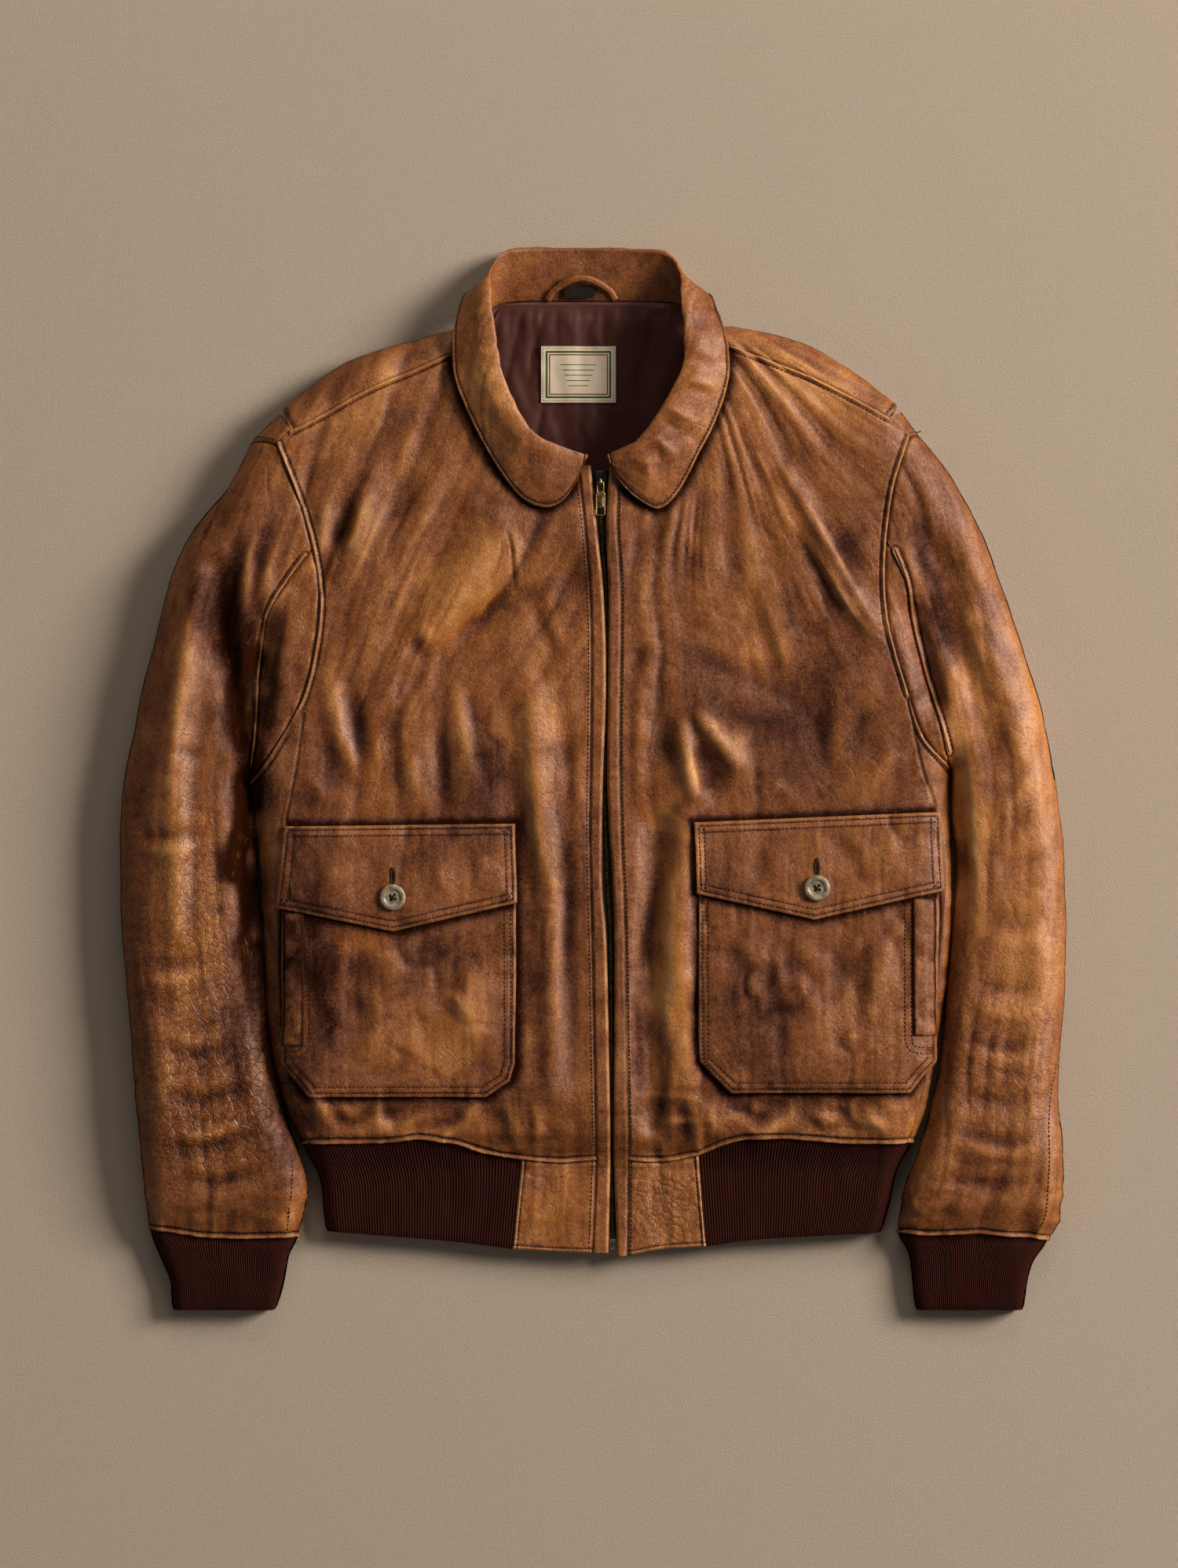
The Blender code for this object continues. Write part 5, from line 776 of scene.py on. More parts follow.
def seamLook(plan, line, style, shift, toneAndShading, wear):
    # Adds a seam's own relief, puckers, rubbing and dark stitch line near it, with painted shading
    # on the puckers; the shade style gives only a painted shadow beside an edge that lies over the
    # piece.
    gap, _, share, _ = nearest(plan, line, 14)
    near = gap < 14
    s = gap[near]
    # Painted shadow on this piece beside the edge of a part that lies over it.
    if style == "shade":
        toneAndShading[near] -= 1.5 * np.exp(-(s / 4.5) ** 2)
        return
    rise, rub = profile(style, s)
    run = share[near] * runOf(line)[-1]
    ripple = grainOf(np.stack([run, 0.4 * s, 0 * s], axis=-1), "ripple")
    ripple = relief["pucker"] * ripple * np.exp(-s / 5.5) * ease(s, 0.6, 3)
    shift[near] += rise + ripple
    rubbed = 0.75 + 0.5 * grainOf(np.stack([run, s, 0 * s], axis=-1), "seamRub")
    wear[near] += rub * rubbed
    toneAndShading[near] -= 0.5 * np.exp(-(s / 1.1) ** 2) * (style in ("sunk", "plain"))
    # Painted shading: the tone follows the puckers, lighter on their tops and darker in their
    # dips.
    toneAndShading[near] += 0.5 * ripple
    for at in seamStyles[style][2]:
        toneAndShading[near] -= 0.7 * rubbed * np.exp(-((s - at) / 0.7) ** 2)


def surface(plan, kind="body", face="front", groups=(), seamsOn=(), lift=0.0, quiet=1.0,
            flatter=1.0):
    # Outer surface of a cloth piece: the skin, moved along its normal by the creases, by
    # the leather's form, by cracked cells and by the seams' own relief, and its looks.
    front = face == "front"
    base, normal, away = skin(plan, kind, face)
    crease = creaseField(plan, groups) * ease(away, -1, 8)
    crackle = np.clip(patchField(plan, "crackle"), 0, 1) * (1 if front else 0.5)
    form, crumple, fibre, warp = leatherForm(plan, base, away, kind, flatter)
    cell = borders(plan + warp, (8.5, 6.0), 1)
    cracks = relief["crackle"] * crackle * (1 - 1.5 * np.exp(-(cell / 0.13) ** 2))
    shift = quiet * (crease + form + crumple + cracks + 0.12 * fibre)
    if kind == "body" and front:
        middle = np.abs(plan[..., 0] - skinShape["opening"])
        shift = shift * (0.22 + 0.78 * ease(middle, 9, 26))
        for side in (left, right):
            under = ease(nearest(plan, rollLine[side], 60)[0], 32, 46)
            shift = np.where(shift > 0, shift * (0.12 + 0.88 * under), shift)
    spread = plan + 2.0 * warp + 13 * np.stack([grainOf(base, "spreadX"),
                                                grainOf(base, "spreadY")], axis=-1)
    # The tone holds painted shading besides the leather's colour: the shade and highlight patches,
    # and lighter crease ridges with darker crease troughs.
    toneAndShading = np.clip(patchField(spread, "toneAndShading"), -1.5, 1.1) * (
        1 if front else 1 - 0.8 * ease(away, 0, 30))
    toneAndShading = (toneAndShading + relief["fibre"] * fibre + 0.05 * crease + 0.10 * grainOf(base, "toneAndShading")
            + 0.08 * grainOf(base, "fineTone"))
    wear = 0.16 * np.clip(crease - 1.0, 0, 2) * (0.6 + 0.6 * grainOf(base, "rub"))
    for line, style in seamsOn:
        seamLook(plan, line, style, shift, toneAndShading, wear)
    # Painted shade in hollows and painted highlight on bumps: the relief against its own blur goes
    # into the tone.
    hollow = shift - blurred(shift, 4)
    toneAndShading += relief["hollowShading"] * np.clip(hollow, -1.4, 1.0)
    wear += 0.22 * np.clip(hollow - 0.25, 0, 1) * (0.6 + 0.6 * grainOf(base, "ridgeRub"))
    if not front:
        flat = ease(base[..., 2], 0.2, 7.0)
        shift = flat * shift + (1 - flat) * np.minimum(0.6 * shift, 0)
    return {"base": base, "normal": normal, "shift": shift + lift, "toneAndShading": toneAndShading,
            "wear": np.clip(wear, 0, 1), "gloss": np.clip(patchField(plan, "gloss"), 0, 1),
            "crackle": crackle, "pebble": np.clip(patchField(plan, "pebble"), 0, 1)}


looks = ("toneAndShading", "wear", "gloss", "crackle", "pebble")
jacket = bpy.data.collections.new("leatherJacket")
bpy.context.scene.collection.children.link(jacket)


def lowest(values, reach):
    # Smallest value within reach rows and columns.
    for axis in (0, 1):
        padded = np.concatenate([values.take([0] * reach, axis=axis), values,
                                 values.take([-1] * reach, axis=axis)], axis=axis)
        size = values.shape[axis]
        values = np.min([padded.take(range(k, k + size), axis=axis)
                         for k in range(2 * reach + 1)], axis=0)
    return values


def quads(index, flip):
    # Triangles of a grid of vertex numbers.
    a, b, c, d = index[:-1, :-1], index[:-1, 1:], index[1:, 1:], index[1:, :-1]
    faces = np.concatenate([np.stack([a, b, c], -1).reshape(-1, 3),
                            np.stack([a, c, d], -1).reshape(-1, 3)])
    return faces[:, ::-1] if flip else faces


def wrapped(index):
    # Rows of vertex numbers whose last column is the first again.
    return np.concatenate([index, index[:, :1]], axis=1)


def coarse(count, step):
    return np.unique(np.append(np.arange(0, count - 1, step), count - 1))


def makeMesh(name, points, faces, slots, attributes=None, sharp=50):
    # A mesh object at the origin from arrays of points in millimetres and triangles.
    for ending, word in (("_l", "Left"), ("_r", "Right")):
        name = name[:-2] + word if name.endswith(ending) else name
    mesh = bpy.data.meshes.new(name)
    mesh.vertices.add(len(points))
    mesh.vertices.foreach_set("co", ((points + planShift) * 0.001).astype(np.float32).ravel())
    mesh.loops.add(3 * len(faces))
    mesh.loops.foreach_set("vertex_index", faces.astype(np.int32).ravel())
    mesh.polygons.add(len(faces))
    mesh.polygons.foreach_set("loop_start", np.arange(0, 3 * len(faces), 3, dtype=np.int32))
    mesh.polygons.foreach_set("material_index", slots.astype(np.int32))
    mesh.update(calc_edges=True)
    for key, values in (attributes or {}).items():
        mesh.attributes.new(key, "FLOAT", "POINT").data.foreach_set(
            "value", values.astype(np.float32))
    mesh.shade_smooth()
    mesh.set_sharp_from_angle(angle=np.radians(sharp))
    thing = bpy.data.objects.new(name, mesh)
    jacket.objects.link(thing)
    return thing


def sewnPoints(points, bases):
    # Points whose bases fall together become one, at their mean.
    _, first, use = np.unique(np.rint(bases * 100).astype(np.int64), axis=0,
                              return_index=True, return_inverse=True)
    use = use.ravel()
    count = np.bincount(use)[:, None]
    mean = np.stack([np.bincount(use, points[:, k]) for k in range(3)], axis=1) / count
    return mean, first, use


def shell(name, grids, wall, step=4, flip=False):
    # Cloth with a wall: a fine outer side, a coarse inner side that stays below it, and a
    # rim wherever the outer side ends. Grids that share a line are sewn along it.
    points, inner, bases, innerBases, faces, innerFaces, rims = [], [], [], [], [], [], []
    values = {key: [] for key in looks}
    count = innerCount = 0
    for grid in grids:
        outer = grid["base"] + grid["normal"] * grid["shift"][..., None]
        outer[..., 2] = np.maximum(outer[..., 2], 0)
        low = grid["base"] + grid["normal"] * (lowest(grid["shift"], step // 2)
                                               - wall)[..., None]
        rows, columns = outer.shape[:2]
        index = count + np.arange(rows * columns).reshape(rows, columns)
        keepRows, keepColumns = coarse(rows, step), coarse(columns, step)
        low = low[keepRows][:, keepColumns]
        low[..., 2] = np.maximum(low[..., 2], 0.4)
        innerIndex = innerCount + np.arange(low.shape[0] * low.shape[1]).reshape(low.shape[:2])
        turned = flip != grid.get("flip", False)
        faces.append(quads(index, turned))
        innerFaces.append(quads(innerIndex, not turned))
        for line, innerLine, keep, back in (
                (index[0], innerIndex[0], keepColumns, True),
                (index[-1], innerIndex[-1], keepColumns, False),
                (index[:, 0], innerIndex[:, 0], keepRows, False),
                (index[:, -1], innerIndex[:, -1], keepRows, True)):
            at = np.rint(np.interp(np.arange(len(line)), keep, np.arange(len(keep)))).astype(int)
            rims.append((line, innerLine[at], back != turned))
        points.append(outer.reshape(-1, 3))
        inner.append(low.reshape(-1, 3))
        bases.append(grid["base"].reshape(-1, 3))
        innerBases.append(grid["base"][keepRows][:, keepColumns].reshape(-1, 3))
        for key in looks:
            values[key].append(grid[key].reshape(-1))
        count += rows * columns
        innerCount += low.shape[0] * low.shape[1]
    points, first, use = sewnPoints(np.vstack(points), np.vstack(bases))
    inner, innerFirst, innerUse = sewnPoints(np.vstack(inner), np.vstack(innerBases))
    faces = use[np.vstack(faces)]
    edges = np.sort(np.vstack([faces[:, [0, 1]], faces[:, [1, 2]], faces[:, [2, 0]]]), axis=1)
    code = edges[:, 0] * len(use) + edges[:, 1]
    found, uses = np.unique(code, return_counts=True)
    openEdges = found[uses == 1]
    base = len(first)
    sides = []
    for line, innerLine, back in rims:
        line, innerLine = use[line], innerUse[innerLine] + base
        a, b, c, d = line[:-1], line[1:], innerLine[:-1], innerLine[1:]
        key = np.sort(np.stack([a, b], -1), axis=1)
        bare = np.isin(key[:, 0] * len(use) + key[:, 1], openEdges)
        one, two = np.stack([b, a, c], -1)[bare], np.stack([b, c, d], -1)[bare]
        both = np.vstack([one, two])
        sides.append(both[:, ::-1] if back else both)
    inside = innerUse[np.vstack(innerFaces)] + base
    whole = np.vstack([faces] + sides + [inside])
    slots = np.concatenate([np.zeros(len(faces) + sum(map(len, sides)), dtype=int),
                            np.ones(len(inside), dtype=int)])
    good = ((whole[:, 0] != whole[:, 1]) & (whole[:, 1] != whole[:, 2])
            & (whole[:, 2] != whole[:, 0]))
    attributes = {key: np.concatenate([np.concatenate(values[key])[first],
                                       np.zeros(len(innerFirst))]) for key in looks}
    return makeMesh(name, np.vstack([points, inner]), whole[good], slots[good], attributes)


def settle(thing, node, materials, body="jacket"):
    # Gives a finished piece its materials, hangs it on its body and hides the frame's part
    # that it takes the place of.
    for name in materials:
        thing.data.materials.append(finish(name))
    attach(thing, body)
    if node:
        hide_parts(node)


def tubes(lines, radius, sides=8, squash=1.0, closed=False):
    # Round bars along lines: a ring of points across each line, turned with its direction.
    allPoints, allFaces, count = [], [], 0
    for line, normals in lines:
        run = np.gradient(line, axis=0)
        if closed:
            run[0] = run[-1] = line[1] - line[-2]
        run /= np.linalg.norm(run, axis=1, keepdims=True)
        across = np.cross(run, normals)
        across /= np.linalg.norm(across, axis=1, keepdims=True)
        up = np.cross(across, run)
        turn = np.linspace(0, 2 * np.pi, sides, endpoint=False)[None, :, None]
        size = np.broadcast_to(radius, (len(line),))[:, None, None]
        ring = (line[:, None] + size * (np.cos(turn) * across[:, None]
                                        + squash * np.sin(turn) * up[:, None]))
        index = wrapped(count + np.arange(len(line) * sides).reshape(-1, sides))
        if closed:
            index = np.concatenate([index[:-1], index[:1]])
        allFaces.append(quads(index, False))
        if not closed:
            k = np.arange(1, sides - 1)
            for end, other in ((index[0], False), (index[-1], True)):
                cap = np.stack([np.full(len(k), end[0]), end[k], end[k + 1]], -1)
                allFaces.append(cap[:, ::-1] if other else cap)
        allPoints.append(ring.reshape(-1, 3))
        count += len(line) * sides
    return np.vstack(allPoints), np.vstack(allFaces)


thread = {"pitch": 3.2, "length": 2.5, "radius": 0.44, "above": 0.12, "rows": (3.0, 7.8),
          "ringsAt": (-0.5, -0.28, 0.28, 0.5), "ringSizes": (0.35, 1.0, 1.0, 0.35),
          "endDip": -0.22}
stitchLines = {left: [], right: [], "collar": []}


def stitchRow(line, normals, pitch=thread["pitch"], across=False, length=thread["length"],
              radius=thread["radius"]):
    # Short capsules laid end to end along a line on a surface: four rings of four points,
    # thin at both ends, each turned into the line's direction. Nothing loops over stitches.
    along = np.array(thread["ringsAt"]) * length
    size = np.array(thread["ringSizes"]) * radius
    dip = np.array((thread["endDip"], 0.0, 0.0, thread["endDip"]))
    turn = np.array((0.25, 0.75, 1.25, 1.75)) * np.pi
    shape = np.vstack([quads(wrapped(np.arange(16).reshape(4, 4)), False),
                       [[0, 1, 2], [0, 2, 3]], [[14, 13, 12], [15, 14, 12]]])
    run = runOf(line)
    number = max(1, int(run[-1] / pitch))
    at = (np.arange(number) + 0.5) * run[-1] / number
    at = at + 0.12 * pitch * noise(np.stack([at, 0 * at, 0 * at], -1), 5, 1)

    def read(values, places):
        return np.stack([np.interp(places, run, values[:, k]) for k in range(3)], -1)

    centre = read(line, at)
    t = read(line, at + 0.6) - read(line, at - 0.6)
    t /= np.linalg.norm(t, axis=1, keepdims=True)
    b = np.cross(t, read(normals, at))
    b /= np.linalg.norm(b, axis=1, keepdims=True)
    n = np.cross(b, t)
    if across:
        t, b = b, -t
    grid = (centre[:, None, None] + along[None, :, None, None] * t[:, None, None]
            + dip[None, :, None, None] * n[:, None, None]
            + (size[:, None] * np.cos(turn))[None, :, :, None] * b[:, None, None]
            + (size[:, None] * np.sin(turn))[None, :, :, None] * n[:, None, None])
    faces = 16 * np.arange(number)[:, None, None] + shape
    return grid.reshape(-1, 3), faces.reshape(-1, 3)


def stitched(group, got, above=thread["above"], **row):
    # Notes a row of stitches just above places on a surface.
    line = got["base"] + got["normal"] * (got["shift"] + above)[..., None]
    stitchLines[group].append((line, got["normal"], row))


def stitchPlan(plan):
    return resampled(np.asarray(plan, dtype=float), even(max(8, int(runOf(plan)[-1] / 2))))


def sewn(group, plan, **where):
    stitched(group, surface(stitchPlan(plan), **where))


def beside(line, step):
    # The line again, moved step to its left in plan.
    run = np.gradient(line, axis=0)
    run /= np.linalg.norm(run, axis=1, keepdims=True)
    return line + step * np.stack([-run[:, 1], run[:, 0]], axis=1)


print("surface functions ready")


def shaderOf(name):
    made = bpy.data.materials.new(name)
    made.use_nodes = True
    tree = made.node_tree
    return made, tree, tree.nodes["Principled BSDF"]


def add(tree, kind, inputs=None, **values):
    node = tree.nodes.new(kind)
    for key, value in values.items():
        setattr(node, key, value)
    for key, value in (inputs or {}).items():
        if isinstance(value, bpy.types.NodeSocket):
            tree.links.new(value, node.inputs[key])
        else:
            node.inputs[key].default_value = value
    return node


def mixed(tree, factor, a, b):
    # Colour a turned into colour b by a factor.
    node = add(tree, "ShaderNodeMix", data_type="RGBA")
    for socket, value in ((node.inputs[0], factor), (node.inputs[6], a), (node.inputs[7], b)):
        if isinstance(value, bpy.types.NodeSocket):
            tree.links.new(value, socket)
        else:
            socket.default_value = value
    return node.outputs[2]


def maths(tree, what, a, b=0.0, c=0.0, clamp=False):
    node = add(tree, "ShaderNodeMath", {0: a, 1: b, 2: c}, operation=what)
    node.use_clamp = clamp
    return node.outputs[0]


def ramp(tree, factor, *stops):
    node = add(tree, "ShaderNodeValToRGB", {0: factor})
    bar = node.color_ramp
    while len(bar.elements) > 1:
        bar.elements.remove(bar.elements[-1])
    bar.elements[0].position, bar.elements[0].color = stops[0][0], stops[0][1]
    for place, colour in stops[1:]:
        bar.elements.new(place).color = colour
    return node.outputs[0]


def cloud(tree, where, scale, detail=3.0, rough=0.55, twist=0.0):
    return add(tree, "ShaderNodeTexNoise", {"Vector": where, "Scale": scale, "Detail": detail,
                                            "Roughness": rough, "Distortion": twist}).outputs[0]


def cellEdges(tree, where, scale):
    # Distance to the nearest border of random cells.
    return add(tree, "ShaderNodeTexVoronoi", {"Vector": where, "Scale": scale},
               feature="DISTANCE_TO_EDGE").outputs[0]


def drawnOut(tree, where, scale):
    return add(tree, "ShaderNodeMapping", {"Vector": where, "Scale": scale}).outputs[0]


def mask(tree, factor, none, full):
    # Black where the factor is at none, white where it is at full.
    stops = (none, (0, 0, 0, 1)), (full, (1, 1, 1, 1))
    return ramp(tree, factor, *sorted(stops))


def bumped(tree, shader, height, strength, distance):
    bump = add(tree, "ShaderNodeBump", {"Height": height, "Strength": strength,
                                        "Distance": distance})
    tree.links.new(bump.outputs[0], shader.inputs["Normal"])


def attribute(tree, name):
    return add(tree, "ShaderNodeAttribute", attribute_name=name).outputs["Fac"]


# Leather: colours from deep to rubbed, where each comes on the ramp, sizes of the noise
# (scale, detail, roughness, twist), how much each adds to the colour and to the height
hide = {
    # The blackest colour ends the ramp for painted shadow: where the sleeves meet the body and
    # along edges that lie over the leather.
    "shadowBlack": (0.018, 0.0042, 0.0012, 1), "deep": (0.034, 0.0065, 0.0012, 1),
    "dark": (0.092, 0.0205, 0.0026, 1), "mid": (0.235, 0.067, 0.0095, 1),
    "tan": (0.405, 0.138, 0.020, 1), "light": (0.59, 0.245, 0.052, 1),
    "worn": (0.66, 0.33, 0.100, 1),
    "ramp": {"shadowBlack": 0.0, "deep": 0.1, "dark": 0.26, "mid": 0.48, "tan": 0.68, "light": 0.92},
    "noise": ((16, 4, 0.6, 0.6), (62, 5, 0.62, 0.3), (420, 4, 0.6), (1250, 3, 0.7)),
    "tint": (0.42, 0.26, 0.45, 0.55), "toneTint": 0.36,
    "scuff": 0.30, "pore": 0.26, "split": 0.45, "line": 0.34, "rub": 1.6,
    "pores": (700.0, 0.10), "splits": (150.0, 0.09), "lines": (92.0, 0.045), "shove": 0.045,
    "roughness": (0.40, 0.66), "glossSmooth": -0.20, "wearRough": 0.12, "darkRough": 0.3,
    "shine": (0.90, 0.08), "grain": 0.42, "depth": 0.0009,
    "height": {"cells": 0.45, "fine": 0.8, "pebble": 1.5, "middle": 0.9, "speckle": 0.45,
               "splits": -1.4, "lines": -0.7},
}


def leatherFinish(name, shade):
    # Worn aniline leather: patches from the piece's tone attribute, which holds painted shade
    # and painted highlights besides the leather's uneven colour, and four sizes of noise run
    # through a ramp from deep brown to tan, scuffed and rubbed places lighter, dark pores,
    # splits and veins; the grain is small cells with fine noise, pebbled and split by piece.
    made, tree, shader = shaderOf(name)
    where = add(tree, "ShaderNodeTexCoord").outputs["Object"]
    toneAndShading, wear, gloss, crackle, pebble = (attribute(tree, key) for key in looks)
    spots = [cloud(tree, where, *size) for size in hide["noise"]]
    _, middle, fine, speckle = spots
    # The tone attribute brings painted shade and painted highlights into the colour here.
    value = maths(tree, "MULTIPLY_ADD", toneAndShading, hide["toneTint"], shade)
    for spot, amount in zip(spots, hide["tint"]):
        value = maths(tree, "MULTIPLY_ADD", maths(tree, "SUBTRACT", spot, 0.5), amount, value)
    colour = ramp(tree, value, *[(place, hide[key]) for key, place in hide["ramp"].items()])
    scuff = cloud(tree, drawnOut(tree, where, (1.0, 0.35, 1.0)), 150, 6, 0.75, 1.2)
    scuffs = mask(tree, scuff, 0.60, 0.74)
    colour = mixed(tree, maths(tree, "MULTIPLY", scuffs, hide["scuff"]), colour, hide["light"])
    rubbed = maths(tree, "MULTIPLY_ADD", maths(tree, "SUBTRACT", middle, 0.42), 1.4, wear)
    rubbed = maths(tree, "MULTIPLY", rubbed,
                   maths(tree, "MULTIPLY", wear, hide["rub"], clamp=True), clamp=True)
    colour = mixed(tree, rubbed, colour, hide["worn"])
    scale, width = hide["pores"]
    cells = cellEdges(tree, where, scale)
    pores = mask(tree, cells, width, 0.0)
    colour = mixed(tree, maths(tree, "MULTIPLY", pores, hide["pore"]), colour, hide["deep"])
    scale, width = hide["splits"]
    splits = mask(tree, cellEdges(tree, where, scale), width, 0.0)
    splits = maths(tree, "MULTIPLY", splits, crackle)
    colour = mixed(tree, maths(tree, "MULTIPLY", splits, hide["split"]), colour, hide["deep"])
    shove = add(tree, "ShaderNodeTexNoise", {"Vector": where, "Scale": 38.0, "Detail": 4.0})
    bent = add(tree, "ShaderNodeVectorMath", {0: shove.outputs["Color"]}, operation="SCALE")
    bent.inputs["Scale"].default_value = hide["shove"]
    bent = add(tree, "ShaderNodeVectorMath", {0: where, 1: bent.outputs[0]}, operation="ADD")
    scale, width = hide["lines"]
    net = cellEdges(tree, drawnOut(tree, bent.outputs[0], (1.0, 0.5, 1.0)), scale)
    lines = mask(tree, net, width, 0.0)
    lines = maths(tree, "MULTIPLY", lines, mask(tree, middle, 0.42, 0.62))
    colour = mixed(tree, maths(tree, "MULTIPLY", lines, hide["line"]), colour, hide["deep"])
    tree.links.new(colour, shader.inputs["Base Color"])
    low, high = hide["roughness"]
    rough = maths(tree, "MULTIPLY_ADD", middle, high - low, low)
    rough = maths(tree, "MULTIPLY_ADD", gloss, hide["glossSmooth"], rough)
    rough = maths(tree, "MULTIPLY_ADD", wear, hide["wearRough"], rough)
    rough = maths(tree, "MULTIPLY_ADD", maths(tree, "MULTIPLY", toneAndShading, -1.0, clamp=True),
                  hide["darkRough"], rough, clamp=True)
    tree.links.new(rough, shader.inputs["Roughness"])
    tree.links.new(maths(tree, "MULTIPLY_ADD", value, *hide["shine"], clamp=True),
                   shader.inputs["Specular IOR Level"])
    wrinkle = cloud(tree, drawnOut(tree, where, (1.0, 0.42, 0.7)), 330, 3, 0.6, 0.8)
    high = hide["height"]
    height = maths(tree, "MULTIPLY", cells, high["cells"])
    height = maths(tree, "MULTIPLY_ADD", fine, high["fine"], height)
    height = maths(tree, "MULTIPLY_ADD", maths(tree, "MULTIPLY", wrinkle, pebble),
                   high["pebble"], height)
    for key, part in (("middle", middle), ("speckle", speckle), ("splits", splits),
                      ("lines", lines)):
        height = maths(tree, "MULTIPLY_ADD", part, high[key], height)
    bumped(tree, shader, height, hide["grain"], hide["depth"])
    return made


def clothFinish(name, colour, dark, rough, weave, strength, shine=0.25):
    # Woven cloth or knit: noise tints the colour, and two crossed fine waves raise the threads.
    made, tree, shader = shaderOf(name)
    where = add(tree, "ShaderNodeTexCoord").outputs["Object"]
    fuzz = cloud(tree, where, 900, 4, 0.7)
    broad = cloud(tree, where, 40, 3, 0.5)
    warp, weft = (add(tree, "ShaderNodeTexWave", {"Vector": where, "Scale": weave,
                                                  "Distortion": 0.6},
                      bands_direction=way).outputs["Fac"] for way in "XY")
    threads = maths(tree, "MULTIPLY", warp, weft)
    factor = maths(tree, "MULTIPLY_ADD", fuzz, 0.5, maths(tree, "MULTIPLY", broad, 0.5))
    tree.links.new(mixed(tree, factor, dark, colour), shader.inputs["Base Color"])
    shader.inputs["Roughness"].default_value = rough
    shader.inputs["Specular IOR Level"].default_value = shine
    height = maths(tree, "MULTIPLY_ADD", fuzz, 0.6, threads)
    bumped(tree, shader, height, strength, 0.0005)
    return made


def metalFinish(name, colour, dark, rough, metallic=1.0):
    # Old metal or horn: a slow stain and fine scratches in colour, roughness and height.
    made, tree, shader = shaderOf(name)
    where = add(tree, "ShaderNodeTexCoord").outputs["Object"]
    stain = cloud(tree, where, 260, 4, 0.6)
    lines = cloud(tree, drawnOut(tree, where, (1.0, 0.15, 1.0)), 1500, 3, 0.6)
    clean = mask(tree, stain, 0.36, 0.62)
    tree.links.new(mixed(tree, clean, dark, colour), shader.inputs["Base Color"])
    tree.links.new(maths(tree, "MULTIPLY_ADD", lines, 0.24, rough - 0.1),
                   shader.inputs["Roughness"])
    shader.inputs["Metallic"].default_value = metallic
    bumped(tree, shader, lines, 0.25, 0.0002)
    return made


# What makes each finish, its name, then what the function takes
finishes = {
    "leather": (leatherFinish, "wornLeather", 0.42),
    "trim": (leatherFinish, "wornLeatherTrim", 0.48),
    "knit": (clothFinish, "ribKnit", (0.072, 0.0150, 0.0088, 1), (0.026, 0.0052, 0.0034, 1),
             0.95, 1200, 0.7, 0.12),
    "satin": (clothFinish, "satinLining", (0.080, 0.021, 0.016, 1),
              (0.042, 0.0105, 0.0082, 1), 0.58, 1900, 0.12, 0.22),
    "inside": (clothFinish, "innerLining", (0.16, 0.07, 0.05, 1), (0.09, 0.037, 0.028, 1),
               0.6, 1900, 0.12),
    "label": (clothFinish, "labelCloth", (0.95, 0.80, 0.60, 1), (0.78, 0.62, 0.43, 1),
              0.88, 1000, 0.6),
    "labelGreen": (clothFinish, "labelGreen", (0.085, 0.17, 0.065, 1), (0.05, 0.10, 0.04, 1),
                   0.88, 1000, 0.6),
    "labelRed": (clothFinish, "labelRed", (0.33, 0.075, 0.05, 1), (0.22, 0.05, 0.035, 1),
                 0.88, 1000, 0.6),
    "tape": (clothFinish, "zipTape", (0.022, 0.012, 0.008, 1), (0.009, 0.005, 0.0035, 1),
             0.9, 1400, 0.6),
    "thread": (clothFinish, "thread", (0.026, 0.010, 0.005, 1), (0.010, 0.004, 0.002, 1),
               0.75, 2400, 0.4),
    "brass": (metalFinish, "agedBrass", (0.42, 0.30, 0.13, 1), (0.13, 0.085, 0.04, 1), 0.38),
    # The teeth are the brass made much darker: painted shade of the narrow gap between the
    # plackets.
    "teeth": (metalFinish, "shadeDarkenedTeeth", (0.13, 0.088, 0.038, 1), (0.035, 0.023, 0.011, 1),
              0.45),
    "steel": (metalFinish, "dullNickel", (0.46, 0.40, 0.30, 1), (0.16, 0.13, 0.09, 1), 0.34),
    "horn": (metalFinish, "horn", (0.33, 0.26, 0.17, 1), (0.13, 0.09, 0.05, 1), 0.34, 0.0),
    "snap": (metalFinish, "blackSnap", (0.030, 0.028, 0.027, 1), (0.012, 0.011, 0.010, 1),
             0.3, 0.7),
}
madeFinishes = {}


def finish(name):
    if name not in madeFinishes:
        maker, *values = finishes[name]
        madeFinishes[name] = maker(*values)
    return madeFinishes[name]


print("finishes ready")


fineness = 1.0
pitch = {key: value * fineness for key, value in {
    "front": 1.83, "side": 2.15, "back": 3.1, "sleeve": 1.97, "pleat": 2.4, "gusset": 1.6,
    "pocket": 1.65, "flap": 1.35, "strip": 1.5, "tab": 1.3}.items()}
frontGroups = {left: ("frontLeft", "waistLeft"), right: ("frontRight", "waistRight")}
sleeveGroups = {left: ("sleeveLeft",), right: ("sleeveRight",)}
